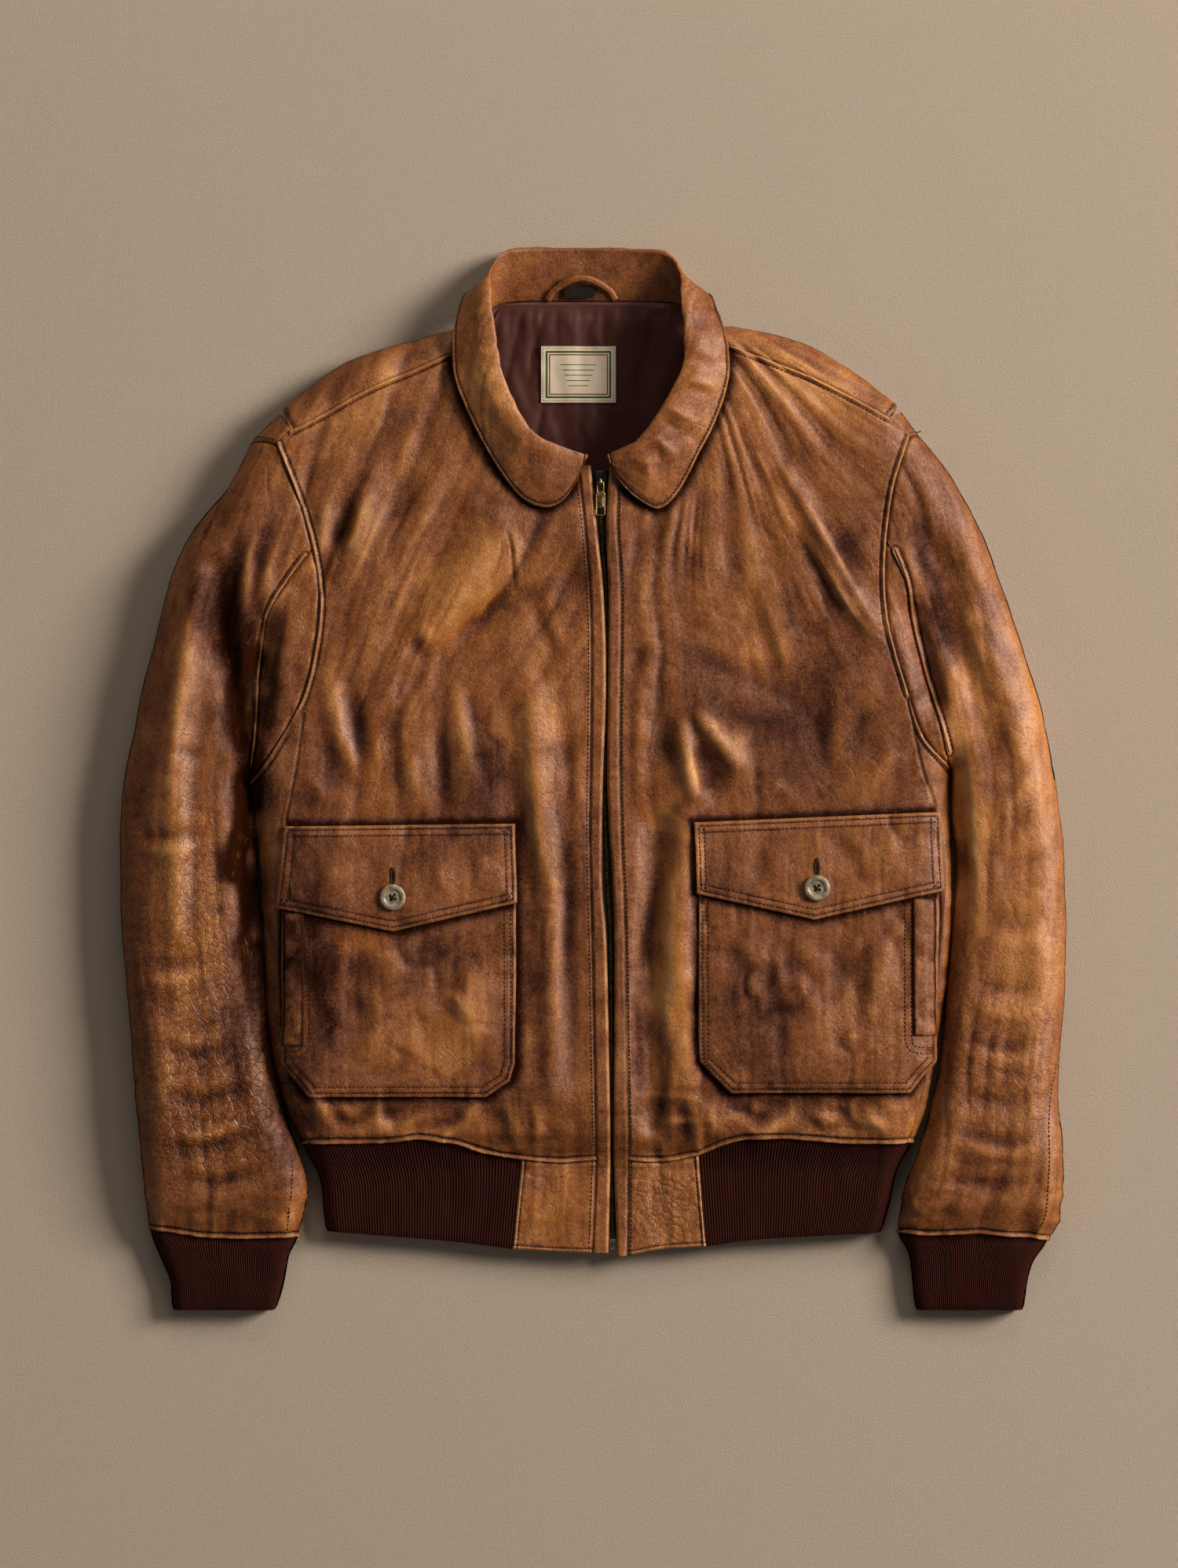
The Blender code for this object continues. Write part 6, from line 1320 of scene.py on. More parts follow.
# Width, length and, for a shape that is no rectangle, area of each flat piece, in metres
flats = {
    "front": (0.30, 0.66, 0.150), "side": (0.10, 0.31, 0.020), "back": (0.62, 0.70, 0.300),
    "pleat": (0.085, 0.33, 0.0175), "sleeve": (0.32, 0.66, 0.140), "gusset": (0.05, 0.18, 0.0042),
    "cuff": (0.24, 0.06, None), "waistKnit": (0.76, 0.075, None), "tab": (0.065, 0.074, None),
    "placket": (0.0115, 0.535, None), "tabStrip": (0.0115, 0.074, None),
    "pocket": (0.180, 0.200, None), "flap": (0.185, 0.088, 0.0125), "welt": (0.018, 0.104, None),
    "collarStand": (0.46, 0.038, None), "collarLeaf": (0.62, 0.066, 0.0340),
    "zipTape": (0.0105, 0.588, None), "lining": (0.21, 0.215, 0.0335),
    "label": (0.057, 0.043, None), "sizeTag": (0.022, 0.010, None),
}


sideFrom = 0.75  # share of the armhole where the front ends and the side panel begins


def sides(side, name):
    return name + "_" + sideName[side]


def pocketEdge(side):
    # The outline that a pocket and its flap cover on the front.
    table = np.array(pocketRows[side], dtype=float)[::-1]
    flap = np.array(flapCorners[side], dtype=float)
    return np.vstack([flap[1:2], np.stack([table[::-1, 1], table[::-1, 0]], 1),
                      np.stack([table[:, 2], table[:, 0]], 1), flap[-1:], flap[:2]])


def collarEdge(side):
    return smooth(np.array(collarRows[side], dtype=float)[:, 7:9], even(40))


def sidePiece(side, name, grids, wall=leather["wall"], node=None,
              materials=("leather", "inside"), step=4, turned=True):
    # Makes and settles a piece that comes once on either side.
    thing = shell(sides(side, name), grids, wall, step=step, flip=turned and side == right)
    settle(thing, sides(side, node or name), materials)


def styled(name, side, count, style):
    return seam(name, side, even(count)), style


def outerSide(side):
    upper = seam("armhole", side, sideFrom * even(90))
    lower = seam("sideSeam", side, even(180))
    return joined(upper, np.vstack([upper[-1:], lower[1:]]))[::-1]


def waistFront(side):
    return joined(seam("tabTop", side, even(40)), seam("knitTop", side, even(90)))


def waistSide(side):
    return seam("waistSideTop", side, even(6))


def waistBackSide(side, shares):
    # From the outline inwards to the back's side seam.
    return smooth([lineOf("waistSideTop", side)[-1], lineOf("backSide", side)[-1]], shares)


def waistBack(shares):
    # From right to left.
    return smooth([lineOf("backSide", right)[-1], lineOf("backSide", left)[-1]], shares)


def frontNeck(side):
    # From the shoulder to the zip, just outside the collar stand.
    table = np.array(collarRows[side], dtype=float)
    fine = smooth(table[8::-1, 0:2], even(4))
    run = np.gradient(fine, axis=0)
    run /= np.linalg.norm(run, axis=1, keepdims=True)
    out = np.stack([run[:, 1], -run[:, 0]], axis=1) * turnOf[side]
    return smooth(fine + out * (leather["collarWall"] + 1.5), even(60))


def frontPanel(side):
    outer = outerSide(side)
    rows = dense(runOf(outer)[-1], pitch["front"])
    outer = resampled(outer, rows)
    inner = seam("placketSeam", side, 1 - rows)
    shoulder = joined(seam("shoulderTip", side, even(12))[::-1],
                      seam("shoulderSeam", side, even(90))[::-1])
    neck = frontNeck(side)
    shoulder[-1], neck[-1] = neck[0], inner[-1]
    bottom = waistFront(side)[::-1]
    columns = dense(runOf(bottom)[-1], pitch["front"])
    bottom[0], bottom[-1] = outer[0], inner[0]
    plan = coons(resampled(bottom, columns), resampled(joined(shoulder, neck), columns),
                 outer, inner)
    # The last two lines paint shadow on the front beside the pocket and flap outline and beside
    # the collar leaf's edge.
    on = ((seam("armhole", side, sideFrom * even(60)), "welt"),
          styled("sideSeam", side, 40, "plain"),
          styled("shoulderSeam", side, 40, "welt"), (neck, "sunk"),
          styled("placketSeam", side, 60, "plain"), (waistFront(side), "welt"),
          (pocketEdge(side), "shade"), (collarEdge(side), "shade"))
    got = surface(plan, groups=frontGroups[side], seamsOn=on)
    sidePiece(side, "front", [got])
    use = {"groups": frontGroups[side], "seamsOn": on}
    turn = turnOf[side]
    sewn(side, beside(resampled(seam("armhole", side, even(90)), 0.01 + 0.73 * even(120)),
                      4.0 * turn), **use)
    sewn(side, beside(seam("shoulderSeam", side, even(60)), 4.0 * turn), **use)
    sewn(side, beside(resampled(waistFront(side), 0.01 + 0.98 * even(90)), -4.0 * turn), **use)
    sewn(side, beside(seam("placketSeam", side, 0.02 + 0.96 * even(90)), -2.0 * turn), **use)


def sidePanel(side):
    length = runOf(seam("sideSeam", side, even(60)))[-1]
    rows = dense(length, pitch["side"])
    edge, frontSeam = seam("bodyEdge", side, 1 - rows), seam("sideSeam", side, 1 - rows)
    frontSeam[-1] = seam("armhole", side, [sideFrom])[0]
    backSeam = seam("backSide", side, 1 - rows)
    u = dense(38, pitch["side"], ends="end")
    ruled = edge[:, None] + u[None, :, None] * (frontSeam - edge)[:, None]
    shift = seam("armhole", side, 1 - (1 - sideFrom) * u) - ruled[-1]
    front = ruled + (rows ** 6)[:, None, None] * shift[None]
    across = dense(60, pitch["side"], ends="start")
    top = smooth([backSeam[-1], edge[-1]], across)
    bottom = waistBackSide(side, 1 - across)
    back = coons(bottom, top, backSeam, edge)
    on = (styled("sideSeam", side, 40, "plain"),
          (seam("armhole", side, sideFrom + (1 - sideFrom) * even(30)), "welt"),
          (waistSide(side), "welt"))
    onBack = (styled("backSide", side, 40, "plain"), (waistBackSide(side, even(12)), "welt"))
    got = [surface(back, face="back", groups=("back",), seamsOn=onBack),
           surface(front, groups=frontGroups[side], seamsOn=on)]
    sidePiece(side, "side", got)
    turn = turnOf[side]
    sewn(side, beside(seam("armhole", side, 0.76 + 0.22 * even(30)), 4.0 * turn),
         groups=frontGroups[side], seamsOn=on)


def backPanel():
    counts = int(160 / pitch["back"]), int(92 / pitch["back"])
    shoulders = [seam("shoulderFold", side, even(counts[0])) for side in (right, left)]
    necks = [seam("backNeck", side, even(counts[1])) for side in (right, left)]
    top = joined(shoulders[0][::-1], necks[0], necks[1][::-1], shoulders[1])
    edges = []
    for side in (right, left):
        line = joined(seam("backFold", side, even(160)), seam("backSide", side, even(140)))[::-1]
        edges.append(line)
    rows = dense(runOf(edges[0])[-1], 1.15 * pitch["back"])
    edges = [resampled(line, rows) for line in edges]
    plan = coons(waistBack(even(len(top) - 1)), top, edges[0], edges[1])
    on = [(waistBack(even(12)), "welt"), (top, "sunk")]
    for side in (right, left):
        on += [styled("backFold", side, 60, "edge"), styled("backSide", side, 30, "plain")]
    got = [surface(plan, face="back", groups=("back",), seamsOn=on)]
    for side, columns in ((right, np.s_[:counts[0] + 1]), (left, np.s_[-counts[0] - 1:])):
        fold = plan[-1, columns]
        line = seam("shoulderSeam", side, even(counts[0]))
        line = line[::-1] if side == right else line
        shares = dense(24, 0.6 * pitch["back"], ends="end")[:, None, None]
        strip = fold[None] + shares * (line - fold)[None]
        yoke = (styled("shoulderSeam", side, 40, "plain"),
                (np.array([strip[0, 0 if side == right else -1],
                           strip[-1, 0 if side == right else -1]]), "edge"))
        extra = surface(strip, seamsOn=yoke)
        tip = np.linspace(1, 0, strip.shape[1]) if side == right else np.linspace(
            0, 1, strip.shape[1])
        down = ease(shares[:, 0, 0], 0, 0.3)[:, None]
        extra["shift"] += 1.3 * ease(tip, 0.86, 0.97)[None, :] * down
        got.append(extra)
    thing = shell("backPanel", got, leather["wall"])
    settle(thing, "back", ("leather", "inside"))
    for side in (left, right):
        a, b = lineOf("shoulderFold", side)[-1], lineOf("shoulderSeam", side)[-1]
        turn = turnOf[side]
        sewn(side, beside(resampled(np.array([a, b]), 0.1 + 0.8 * even(8)), 3.0 * turn), lift=1.3)


# How far down the pleat opens and its depth there, the places of its inner folds, how far
# down its top sinks under the yoke, and the shares of the columns over its open face
pleatShape = {"opens": (15.6, 74.6), "depth": (-1.2, 20.0), "folds": (-1.5, -7.0),
              "sinks": (9.4, 15.6), "columns": (0.35, 0.65, 0.85, 1)}


def pleatColumns(side, rows):
    # The seven lines that the pleat is ruled between, from its hidden edge to the armhole.
    head = smooth([lineOf("backArmhole", side)[0], lineOf("sleeveHead", side)[-1]], even(20))
    arm = joined(head[::-1], seam("backArmhole", side, even(120)))
    run = runOf(arm)
    inward = turnOf[side]
    edge = seam("backFold", side, 0.04 + 0.96 * rows)
    arm = resampled(arm, rows)
    depth = np.interp(rows * run[-1], pleatShape["opens"], pleatShape["depth"])
    step = lambda value: edge + np.stack([inward * value, 0 * rows], axis=1)
    lines = [step(depth)] + [step(place + 0 * rows) for place in pleatShape["folds"]]
    lines += [lines[-1] + (arm - lines[-1]) * share for share in pleatShape["columns"]]
    return np.stack(lines, axis=1)[::-1], run[-1]


def between(lines, at):
    # Points between neighbouring columns of a table, at places counted in columns.
    low = np.clip(np.floor(at).astype(int), 0, lines.shape[-2] - 2)
    part = (at - low)[:, None]
    return lines[..., low, :] * (1 - part) + lines[..., low + 1, :] * part


def pleat(side):
    rows = dense(280, pitch["pleat"])
    table, length = pleatColumns(side, rows)
    at = np.concatenate([np.linspace(0, 1, 8)[:-1], np.linspace(1, 2, 5)[:-1],
                         np.linspace(2, 6, int(40 / pitch["pleat"]))])
    fold = seam("pleatFold", side, at / 6)
    plan = between(table, at)
    low, high = lineOf("backFold", side)[-1], plan[0, -1]
    target = low[1] + (high[1] - low[1]) * (plan[0, :, 0] - low[0]) / (high[0] - low[0])
    up = rows[:, None]
    plan[..., 1] += (1 - up) ** 8 * (target - plan[0, :, 1])[None]
    plan += (up ** 12)[..., None] * (fold - plan[-1])[None]
    plan[-1] = fold
    on = (styled("backArmhole", side, 60, "plain"),)
    got = surface(plan, face="back", groups=("back",), seamsOn=on)
    fromTop = (1 - rows) * length
    sunk = np.interp(fromTop, pleatShape["sinks"], (0, 1))[:, None]
    sunk = sunk * (1 - ease(at, 1.0, 1.6))[None]
    got["shift"] = got["shift"] - sunk * (leather["wall"] + leather["layGap"])
    tip, head = lineOf("shoulderTip", side), lineOf("sleeveHead", side)
    line = np.vstack([tip[:1], head[:1], resampled(head[1:], (0, 0.4, 0.7, 0.9, 1))])
    seamLine = between(line, at)
    shares = dense(18, 1.4, ends="end")[:, None, None]
    over = fold[None] + shares * (seamLine - fold)[None]
    onTop = (styled("sleeveHead", side, 20, "plain"), styled("shoulderTip", side, 20, "plain"))
    got = [got, surface(over, seamsOn=onTop)]
    sidePiece(side, "pleat", got)
    turn = turnOf[side]
    sewn(side, beside(seam("sleeveHead", side, 0.1 + 0.8 * even(12)), -2.5 * turn))


# Shares of the armhole where the gusset's eight stations are
gussetMarks = (0.30, 0.34, 0.45, 0.6, 0.75, 0.86, 0.95, 1.0)


def sleeveLines(side, r):
    # The sleeve's outer line, the front's inner line and the back's inner line at places r,
    # which run from 0 at the shoulder through 9 at the armpit to 18 at the cuff.
    armpit = lineOf("armhole", side)[-1]
    long = seam("sleeveOuter", side, even(200))
    split = np.interp(-armpit[1], -long[:, 1], runOf(long) / runOf(long)[-1])
    lower = 1 - (1 - np.clip((r - 9) / 9, 0, 1)) ** 1.35
    outer = seam("sleeveOuter", side, np.where(r < 9, split * r / 9, split + (1 - split) * lower))
    marks = (np.array(gussetMarks) - 0.3) / 0.7
    arm = seam("armhole", side, np.interp(r, (0, 1, 2), (0, 0.15, 0.30)))
    gusset = smooth(np.vstack([seam("armhole", side, [0.30]), lineOf("gussetSeam", side)[1:-1],
                               armpit]), np.interp(r, np.arange(2, 10), marks))
    below = seam("sleeveInner", side, lower)
    r = r[:, None]
    frontLine = np.where(r < 2, arm, np.where(r < 9, gusset, below))
    backLine = np.where(r < 9, seam("backArmhole", side, np.clip(r[:, 0] / 9, 0, 1)), below)
    return outer, frontLine, backLine


# Rows of stitches down the front of each sleeve: how many steps, and their line
sleeveRows = {
    left: (20, ((-229, -286), (-228, -300), (-229, -320), (-232, -344))),
    right: (40, ((355, -215), (350, -250), (349, -290), (347, -330), (340, -347))),
}


def sleeve(side):
    guess = np.linspace(0, 18, 900)
    run = runOf(sleeveLines(side, guess)[0])
    shares = dense(run[-1], pitch["sleeve"])
    r = np.interp(shares * run[-1], run, guess)
    r[np.argmin(np.abs(r - 9))] = 9.0
    outer, frontLine, backLine = (line[::-1] for line in sleeveLines(side, r))
    below = (r >= 9)[::-1]
    columns = dense(108, pitch["sleeve"])
    cuffLine = seam("cuffSeam", side, columns)
    stations = lineOf("sleeveHead", side)
    head = resampled(joined(stations[:2], stations[1:]), columns)[::-1]
    front = coons(cuffLine, head, outer, frontLine)
    backHead = smooth([lineOf("backArmhole", side)[0], stations[-1]], columns)
    back = coons(cuffLine[::-1], backHead, backLine, outer)
    gusset = seam("gussetSeam", side, 0.02 + 0.96 * even(60))
    on = ((seam("armhole", side, 0.30 * even(20)), "sunk"), (gusset, "welt"),
          styled("cuffSeam", side, 30, "welt"), styled("sleeveHead", side, 12, "sunk"))
    onBack = (styled("backArmhole", side, 60, "plain"),
              styled("cuffSeam", side, 30, "welt"))
    got = [surface(back, "sleeve", "back", ("backSleeves",), onBack),
           surface(front, "sleeve", "front", sleeveGroups[side], on)]
    for grid, column in ((got[0], 0), (got[1], -1)):
        inner = 0.5 * (got[0]["shift"][:, 0] + got[1]["shift"][:, -1])
        grid["shift"][below, column] = inner[below]
    got[1]["normal"][below, -1] = got[0]["normal"][below, 0]
    sidePiece(side, "sleeve", got)
    use = {"kind": "sleeve", "groups": sleeveGroups[side], "seamsOn": on}
    turn = turnOf[side]
    sewn(side, beside(gusset, -4.0 * turn), **use)
    sewn(side, beside(seam("cuffSeam", side, 0.02 + 0.96 * even(40)), 4.0 * turn), **use)
    count, line = sleeveRows[side]
    sewn(side, smooth(np.array(line), even(count)), **use)


def gussetPiece(side):
    r = np.linspace(2.06, 8.94, int(170 / pitch["gusset"]))
    outer = sleeveLines(side, r)[1][::-1]
    inner = seam("armhole", side, np.interp(r, np.arange(2, 10), gussetMarks))[::-1]
    columns = dense(30, pitch["gusset"], reach=5)
    plan = coons(smooth([outer[0], inner[0]], columns), smooth([outer[-1], inner[-1]], columns),
                 outer, inner)
    on = ((outer, "sunk"), (inner, "sunk"))
    got = surface(plan, "sleeve", "front", sleeveGroups[side], on)
    sidePiece(side, "gusset", [got])


knit = {"ribHeight": 0.42, "columnsPerRib": 5, "waistRib": 2.4, "cuffRib": 2.0,
        "backStretch": 1.5, "hemRound": 2.2, "hemDrop": 1.3, "seamDrop": 1.3, "cuffHigh": 56,
        "cuffWide": 112, "waistHigh": 66}


def ribbed(grid, hem):
    # Ribs as a cosine over the columns, with the folded hem rounded off.
    columns = np.arange(grid["shift"].shape[1])
    wave = np.cos(2 * np.pi * columns / knit["columnsPerRib"])
    wave = np.sign(wave) * np.abs(wave) ** 0.7
    grid["shift"] = (grid["shift"] + knit["ribHeight"] * wave[None]
                     - knit["hemDrop"] * np.exp(-(hem / knit["hemRound"]) ** 2)[:, None])
    for key in looks:
        grid[key] = 0 * grid[key]
    # Painted shading: the tone follows the ribs, lighter on their tops and darker between them;
    # the knit's finish does not read it.
    grid["toneAndShading"] = grid["toneAndShading"] + wave[None]
    return grid


def ribColumns(length, rib):
    return knit["columnsPerRib"] * max(1, round(length / rib))


def cuff(side):
    rows = dense(knit["cuffHigh"], 3.4, edgePitch=1.2, reach=5)
    outer, inner = (seam(name, side, 1 - rows) for name in ("cuffOuter", "cuffInner"))
    count = ribColumns(knit["cuffWide"], knit["cuffRib"])
    hem = smooth([outer[0], inner[0]], even(count))
    top = seam("cuffSeam", side, even(count))
    front = coons(hem, top, outer, inner)
    back = coons(hem[::-1], top[::-1], inner, outer)
    got = [surface(back, "sleeve", "back", quiet=0.4),
           surface(front, "sleeve", "front", quiet=0.5)]
    got = [ribbed(grid, rows * knit["cuffHigh"]) for grid in got]
    for grid in got:
        grid["shift"] -= knit["seamDrop"] * ease(rows, 0.86, 1.0)[:, None]
    sidePiece(side, "cuff", got, wall=leather["knitWall"],
              materials=("knit", "knit"), step=5)


def waistKnit():
    rows = dense(knit["waistHigh"], 4.2, edgePitch=1.3, reach=5)
    fromHem = rows * knit["waistHigh"]
    got, edges = [], {}
    for side in (left, right):
        edges[side] = seam("waistEdge", side, 1 - rows)
    for side in (right, left):
        topLine = joined(seam("knitTop", side, even(90)), waistSide(side))
        hemLine = smooth(np.vstack([lineOf("knitHem", side), lineOf("waistEdge", side)[-1:]]),
                         even(90))
        count = ribColumns(runOf(topLine)[-1], knit["waistRib"])
        top, hem = resampled(topLine, even(count)), resampled(hemLine, even(count))
        tabSide = smooth([hem[0], top[0]], rows)
        plan = coons(hem[::-1], top[::-1], edges[side], tabSide)
        grid = surface(plan, groups=frontGroups[side], quiet=0.6)
        grid["flip"] = side == right
        got.append(ribbed(grid, fromHem))
    top = joined(waistBackSide(right, even(8)), waistBack(even(60)),
                 waistBackSide(left, even(8))[::-1])
    count = ribColumns(runOf(top)[-1], knit["backStretch"] * knit["waistRib"])
    hem = smooth([edges[right][0], edges[left][0]], even(count))
    plan = coons(hem, resampled(top, even(count)), edges[right], edges[left])
    got.append(ribbed(surface(plan, face="back", quiet=0.4), fromHem))
    for grid in got:
        grid["shift"] -= knit["seamDrop"] * ease(rows, 0.88, 1.0)[:, None]
    thing = shell("waistKnit", got, leather["knitWall"], step=5)
    settle(thing, "waist_knit", ("knit", "knit"))


def waistTab(side):
    rows = dense(72, pitch["tab"])
    top, hem = seam("tabTop", side, even(40))[::-1], seam("tabHem", side, even(40))[::-1]
    inner = seam("tabSeam", side, 1 - rows)
    outer = smooth([hem[0], top[0]], rows)
    columns = dense(57, pitch["tab"])
    plan = coons(resampled(hem, columns), resampled(top, columns), outer, inner)
    on = ((outer, "edge"), (hem, "edge"), (inner, "plain"), (top, "sunk"))
    got = surface(plan, groups=frontGroups[side], seamsOn=on)
    got["shift"] += 0.5
    sidePiece(side, "waistTab", [got], node="waist_tab",
              materials=("trim", "inside"))
    turn = turnOf[side]
    use = {"groups": frontGroups[side], "seamsOn": on, "lift": 0.5}
    sewn(side, beside(outer, -3.0 * turn), **use)
    sewn(side, beside(hem, 3.0 * turn), **use)
    sewn(side, beside(inner, 2.5 * turn), **use)


def strip(name, node, seamName, edgeName, side, length, flat, slot, finishName):
    rows = dense(length, pitch["strip"])
    outer, inner = seam(seamName, side, 1 - rows), seam(edgeName, side, 1 - rows)
    columns = dense(11, 1.0, edgePitch=0.55, reach=3.5)
    plan = coons(smooth([outer[0], inner[0]], columns), smooth([outer[-1], inner[-1]], columns),
                 outer, inner)
    on = ((outer, "plain"),)
    got = surface(plan, groups=frontGroups[side], seamsOn=on)
    s = np.linalg.norm(plan - plan[:, -1:], axis=-1)
    got["shift"] += 0.7 - 1.9 * np.clip(1 - s / 2.6, 0, 1) ** 2 - 0.5 * np.exp(-(
        np.linalg.norm(plan - plan[:, :1], axis=-1) / 1.2) ** 2)
    run = rows[:, None] * length
    rub = 0.5 + 0.8 * noise(np.stack([run + 0 * s, s, 0 * s], -1), (11, 3, 9), 3)
    got["wear"] = np.clip(got["wear"] + 0.55 * np.exp(-((s - 1.2) / 1.2) ** 2) * rub, 0, 1)
    thing = shell(name, [got], leather["wall"], flip=side == right)
    settle(thing, node, (finishName, "inside"))


for side in (left, right):
    frontPanel(side)
    sidePanel(side)
    pleat(side)
    sleeve(side)
    gussetPiece(side)
    print("panels done", sideName[side])
backPanel()
print("back done")
for side in (left, right):
    cuff(side)
    waistTab(side)
    strip(sides(side, "placket"), sides(side, "placket"), "placketSeam", "placketEdge", side,
          532, flats["placket"], "leather", "leather")
    strip(sides(side, "tabStrip"), sides(side, "tab_strip"), "tabSeam", "tabEdge", side, 72,
          flats["tabStrip"], "leather_trim", "trim")
waistKnit()
print("knit, tabs and plackets done")


collar = {"stations": 480, "standRows": 14, "bendRows": 18, "fallRows": 26, "rollOver": 5.0,
          "bendAside": 10.0, "bendShare": 0.18, "stitchFromEdge": 3.0, "lowest": -1.1,
          "gathers": 0.9, "gloss": 0.1, "crackle": 0.06, "pebble": 0.25,
          "noise": ((1.1, 38, 0), (0.5, 13, 1), (0.25, 6, 2))}
creases["collar"] = (
    ("ridge", 5, 1.4, (52, 286), (70, 278), (86, 268)),
    ("trough", 4, 1.4, (50, 276), (64, 268), (84, 258)),
    ("ridge", 4, 1.3, (44, 262), (58, 254), (66, 240)),
    ("trough", 3.5, 1.2, (50, 256), (54, 242), (56, 228)),
    ("ridge", 4, 1.0, (40, 250), (44, 236), (46, 224)),
    ("fold", 5, 1.2, (66, 300), (82, 300), (98, 294)),
    ("fold", 6, 1.2, (72, 330), (86, 322), (100, 318)),
    ("trough", 5, 1.0, (72, 352), (84, 346), (98, 346)),
    ("ridge", 5, 1.0, (-48, 262), (-60, 246), (-66, 236)),
    ("trough", 5, 1.0, (-40, 254), (-50, 238), (-56, 224)),
    ("fold", 6, 1.1, (-66, 300), (-82, 290), (-96, 286)),
    ("fold", 6, 1.1, (-70, 332), (-86, 330), (-100, 326)),
    ("trough", 5, 1.0, (-74, 356), (-86, 352), (-100, 350)),
    ("ridge", 4, 0.8, (-26, 246), (-34, 232), (-36, 218)),
)


def across3(grid):
    # Unit normals of a grid of points: columns crossed with rows.
    along, up = np.gradient(grid, axis=1), np.gradient(grid, axis=0)
    normal = np.cross(along, up)
    return normal / np.maximum(np.linalg.norm(normal, axis=-1, keepdims=True), 1e-9)


def collarGrid():
    # Cubic arc from the roll over a bend and straight down to the leaf's edge.
    rows = np.array(collarRows[left] + collarRows[right][::-1], dtype=float)
    fine = smooth(rows, dense(1000, 1000 / collar["stations"] * fineness, edgePitch=1.0, reach=9))
    neck, roll, bend, edge = fine[:, 0:3], fine[:, 3:6], fine[:, 6:7], fine[:, 7:10]
    out = roll - neck
    out /= np.linalg.norm(out, axis=1, keepdims=True)
    fall = np.clip((roll[:, 2:3] - bend) / roll[:, 2:3], 0, 1)
    aside = edge[:, :2] - roll[:, :2]
    length = np.linalg.norm(aside, axis=1, keepdims=True)
    aside = aside * np.minimum(collar["bendAside"], 0.5 * length) / length
    first = roll + collar["rollOver"] * out
    second = roll[:, :2] + fall * collar["rollOver"] * out[:, :2] + (1 - fall) * aside
    second = np.concatenate([second, bend], axis=1)
    low = second + (edge - second) * collar["bendShare"]
    share = even(collar["standRows"])[:, None, None]
    stand = neck + (roll - neck) * share
    t = even(collar["bendRows"])[1:, None, None]
    leaf = ((1 - t) ** 3 * roll + 3 * t * (1 - t) ** 2 * first + 3 * t ** 2 * (1 - t) * second
            + t ** 3 * low)
    share = (even(collar["fallRows"])[1:, None, None]) ** 0.8
    grid = np.concatenate([stand, leaf, low + (edge - low) * share])
    grid[..., 2] = np.maximum(grid[..., 2], 0)
    return grid


def collarPieces():
    # Stand and leaf cut from one grid at the roll, which the two pieces share.
    grid = collarGrid()
    normal = across3(grid)
    split = collar["standRows"]
    steps = np.linalg.norm(np.diff(grid[::-1], axis=0), axis=-1)
    fromEdge = np.vstack([np.zeros(grid.shape[1]), np.cumsum(steps, axis=0)])[::-1]
    sideSteps = np.linalg.norm(np.diff(grid, axis=1), axis=-1)
    fromStart = np.hstack([np.zeros((len(grid), 1)), np.cumsum(sideSteps, axis=1)])
    ends = np.minimum(fromStart, fromStart[:, -1:] - fromStart)
    s = np.minimum(fromEdge, np.where(np.arange(len(grid))[:, None] > split, ends, 99))
    plan = grid[..., :2]
    crease = creaseField(plan, ("collar",)) * ease(grid[..., 2], 10, 34)
    lie = ease(grid[..., 2], 0.5, 10)
    gathers = noise(np.stack([fromStart, 0.8 * s, 0 * s], -1), (13, 60, 9), 3)
    form = (sum(amount * noise(grid, size, which) for amount, size, which in collar["noise"])
            + collar["gathers"] * (np.abs(gathers) - 0.3))
    rise, rub = profile("edge", s)
    roll = np.abs(np.arange(len(grid)) - split)[:, None]
    inner = grid.shape[0] - 1 - split
    # Painted shading in the collar's tone: lighter on crease ridges and on bumps, darker in crease
    # troughs and hollows. It is also lighter a little way off the roll, where the collar stands
    # high.
    toneAndShading = patchField(plan, "toneAndShading") + 0.12 * crease + 0.14 * noise(grid, 26, 4)
    toneAndShading = toneAndShading - 0.7 * np.exp(-((s - collar["stitchFromEdge"]) / 0.8) ** 2)
    toneAndShading = toneAndShading + 0.35 * np.exp(-((roll - 7) / 8.0) ** 2) * ease(grid[..., 2], 4, 20)
    toneAndShading = toneAndShading + 0.5 * np.clip(form - blurred(form, 4), -1, 1) - 0.15
    wear = rub * (0.8 + 0.5 * noise(grid, 8, 5)) + 0.2 * np.clip(crease - 0.7, 0, 1)
    whole = {"base": grid, "normal": normal, "shift": (crease + form) * lie + rise, "toneAndShading": toneAndShading,
             "wear": np.clip(wear, 0, 1)}
    whole.update({key: 0 * s + collar[key] for key in ("gloss", "crackle", "pebble")})
    whole["shift"] = np.where(np.arange(len(grid))[:, None] > split + inner // 2,
                              np.maximum(whole["shift"], collar["lowest"]), whole["shift"])
    stand = {key: value[:split + 1] for key, value in whole.items()}
    leaf = {key: value[split:] for key, value in whole.items()}
    thing = shell("collarStand", [stand], leather["collarWall"])
    settle(thing, "collar_stand", ("leather", "leather"))
    thing = shell("collarLeaf", [leaf], leather["collarWall"])
    settle(thing, "collar_leaf", ("trim", "leather"))
    outer = grid + normal * (whole["shift"] + thread["above"])[..., None]
    columns = np.nonzero(np.minimum(ends[-1], 99) > 2.5)[0]
    k = (fromEdge[:, columns] > collar["stitchFromEdge"]).sum(axis=0) - 1
    a, b = fromEdge[k, columns], fromEdge[k + 1, columns]
    t = ((a - collar["stitchFromEdge"]) / (a - b))[:, None]
    line = outer[k, columns] * (1 - t) + outer[k + 1, columns] * t
    stitchLines["collar"].append((line, normal[k, columns], {}))
    return outer, normal, split


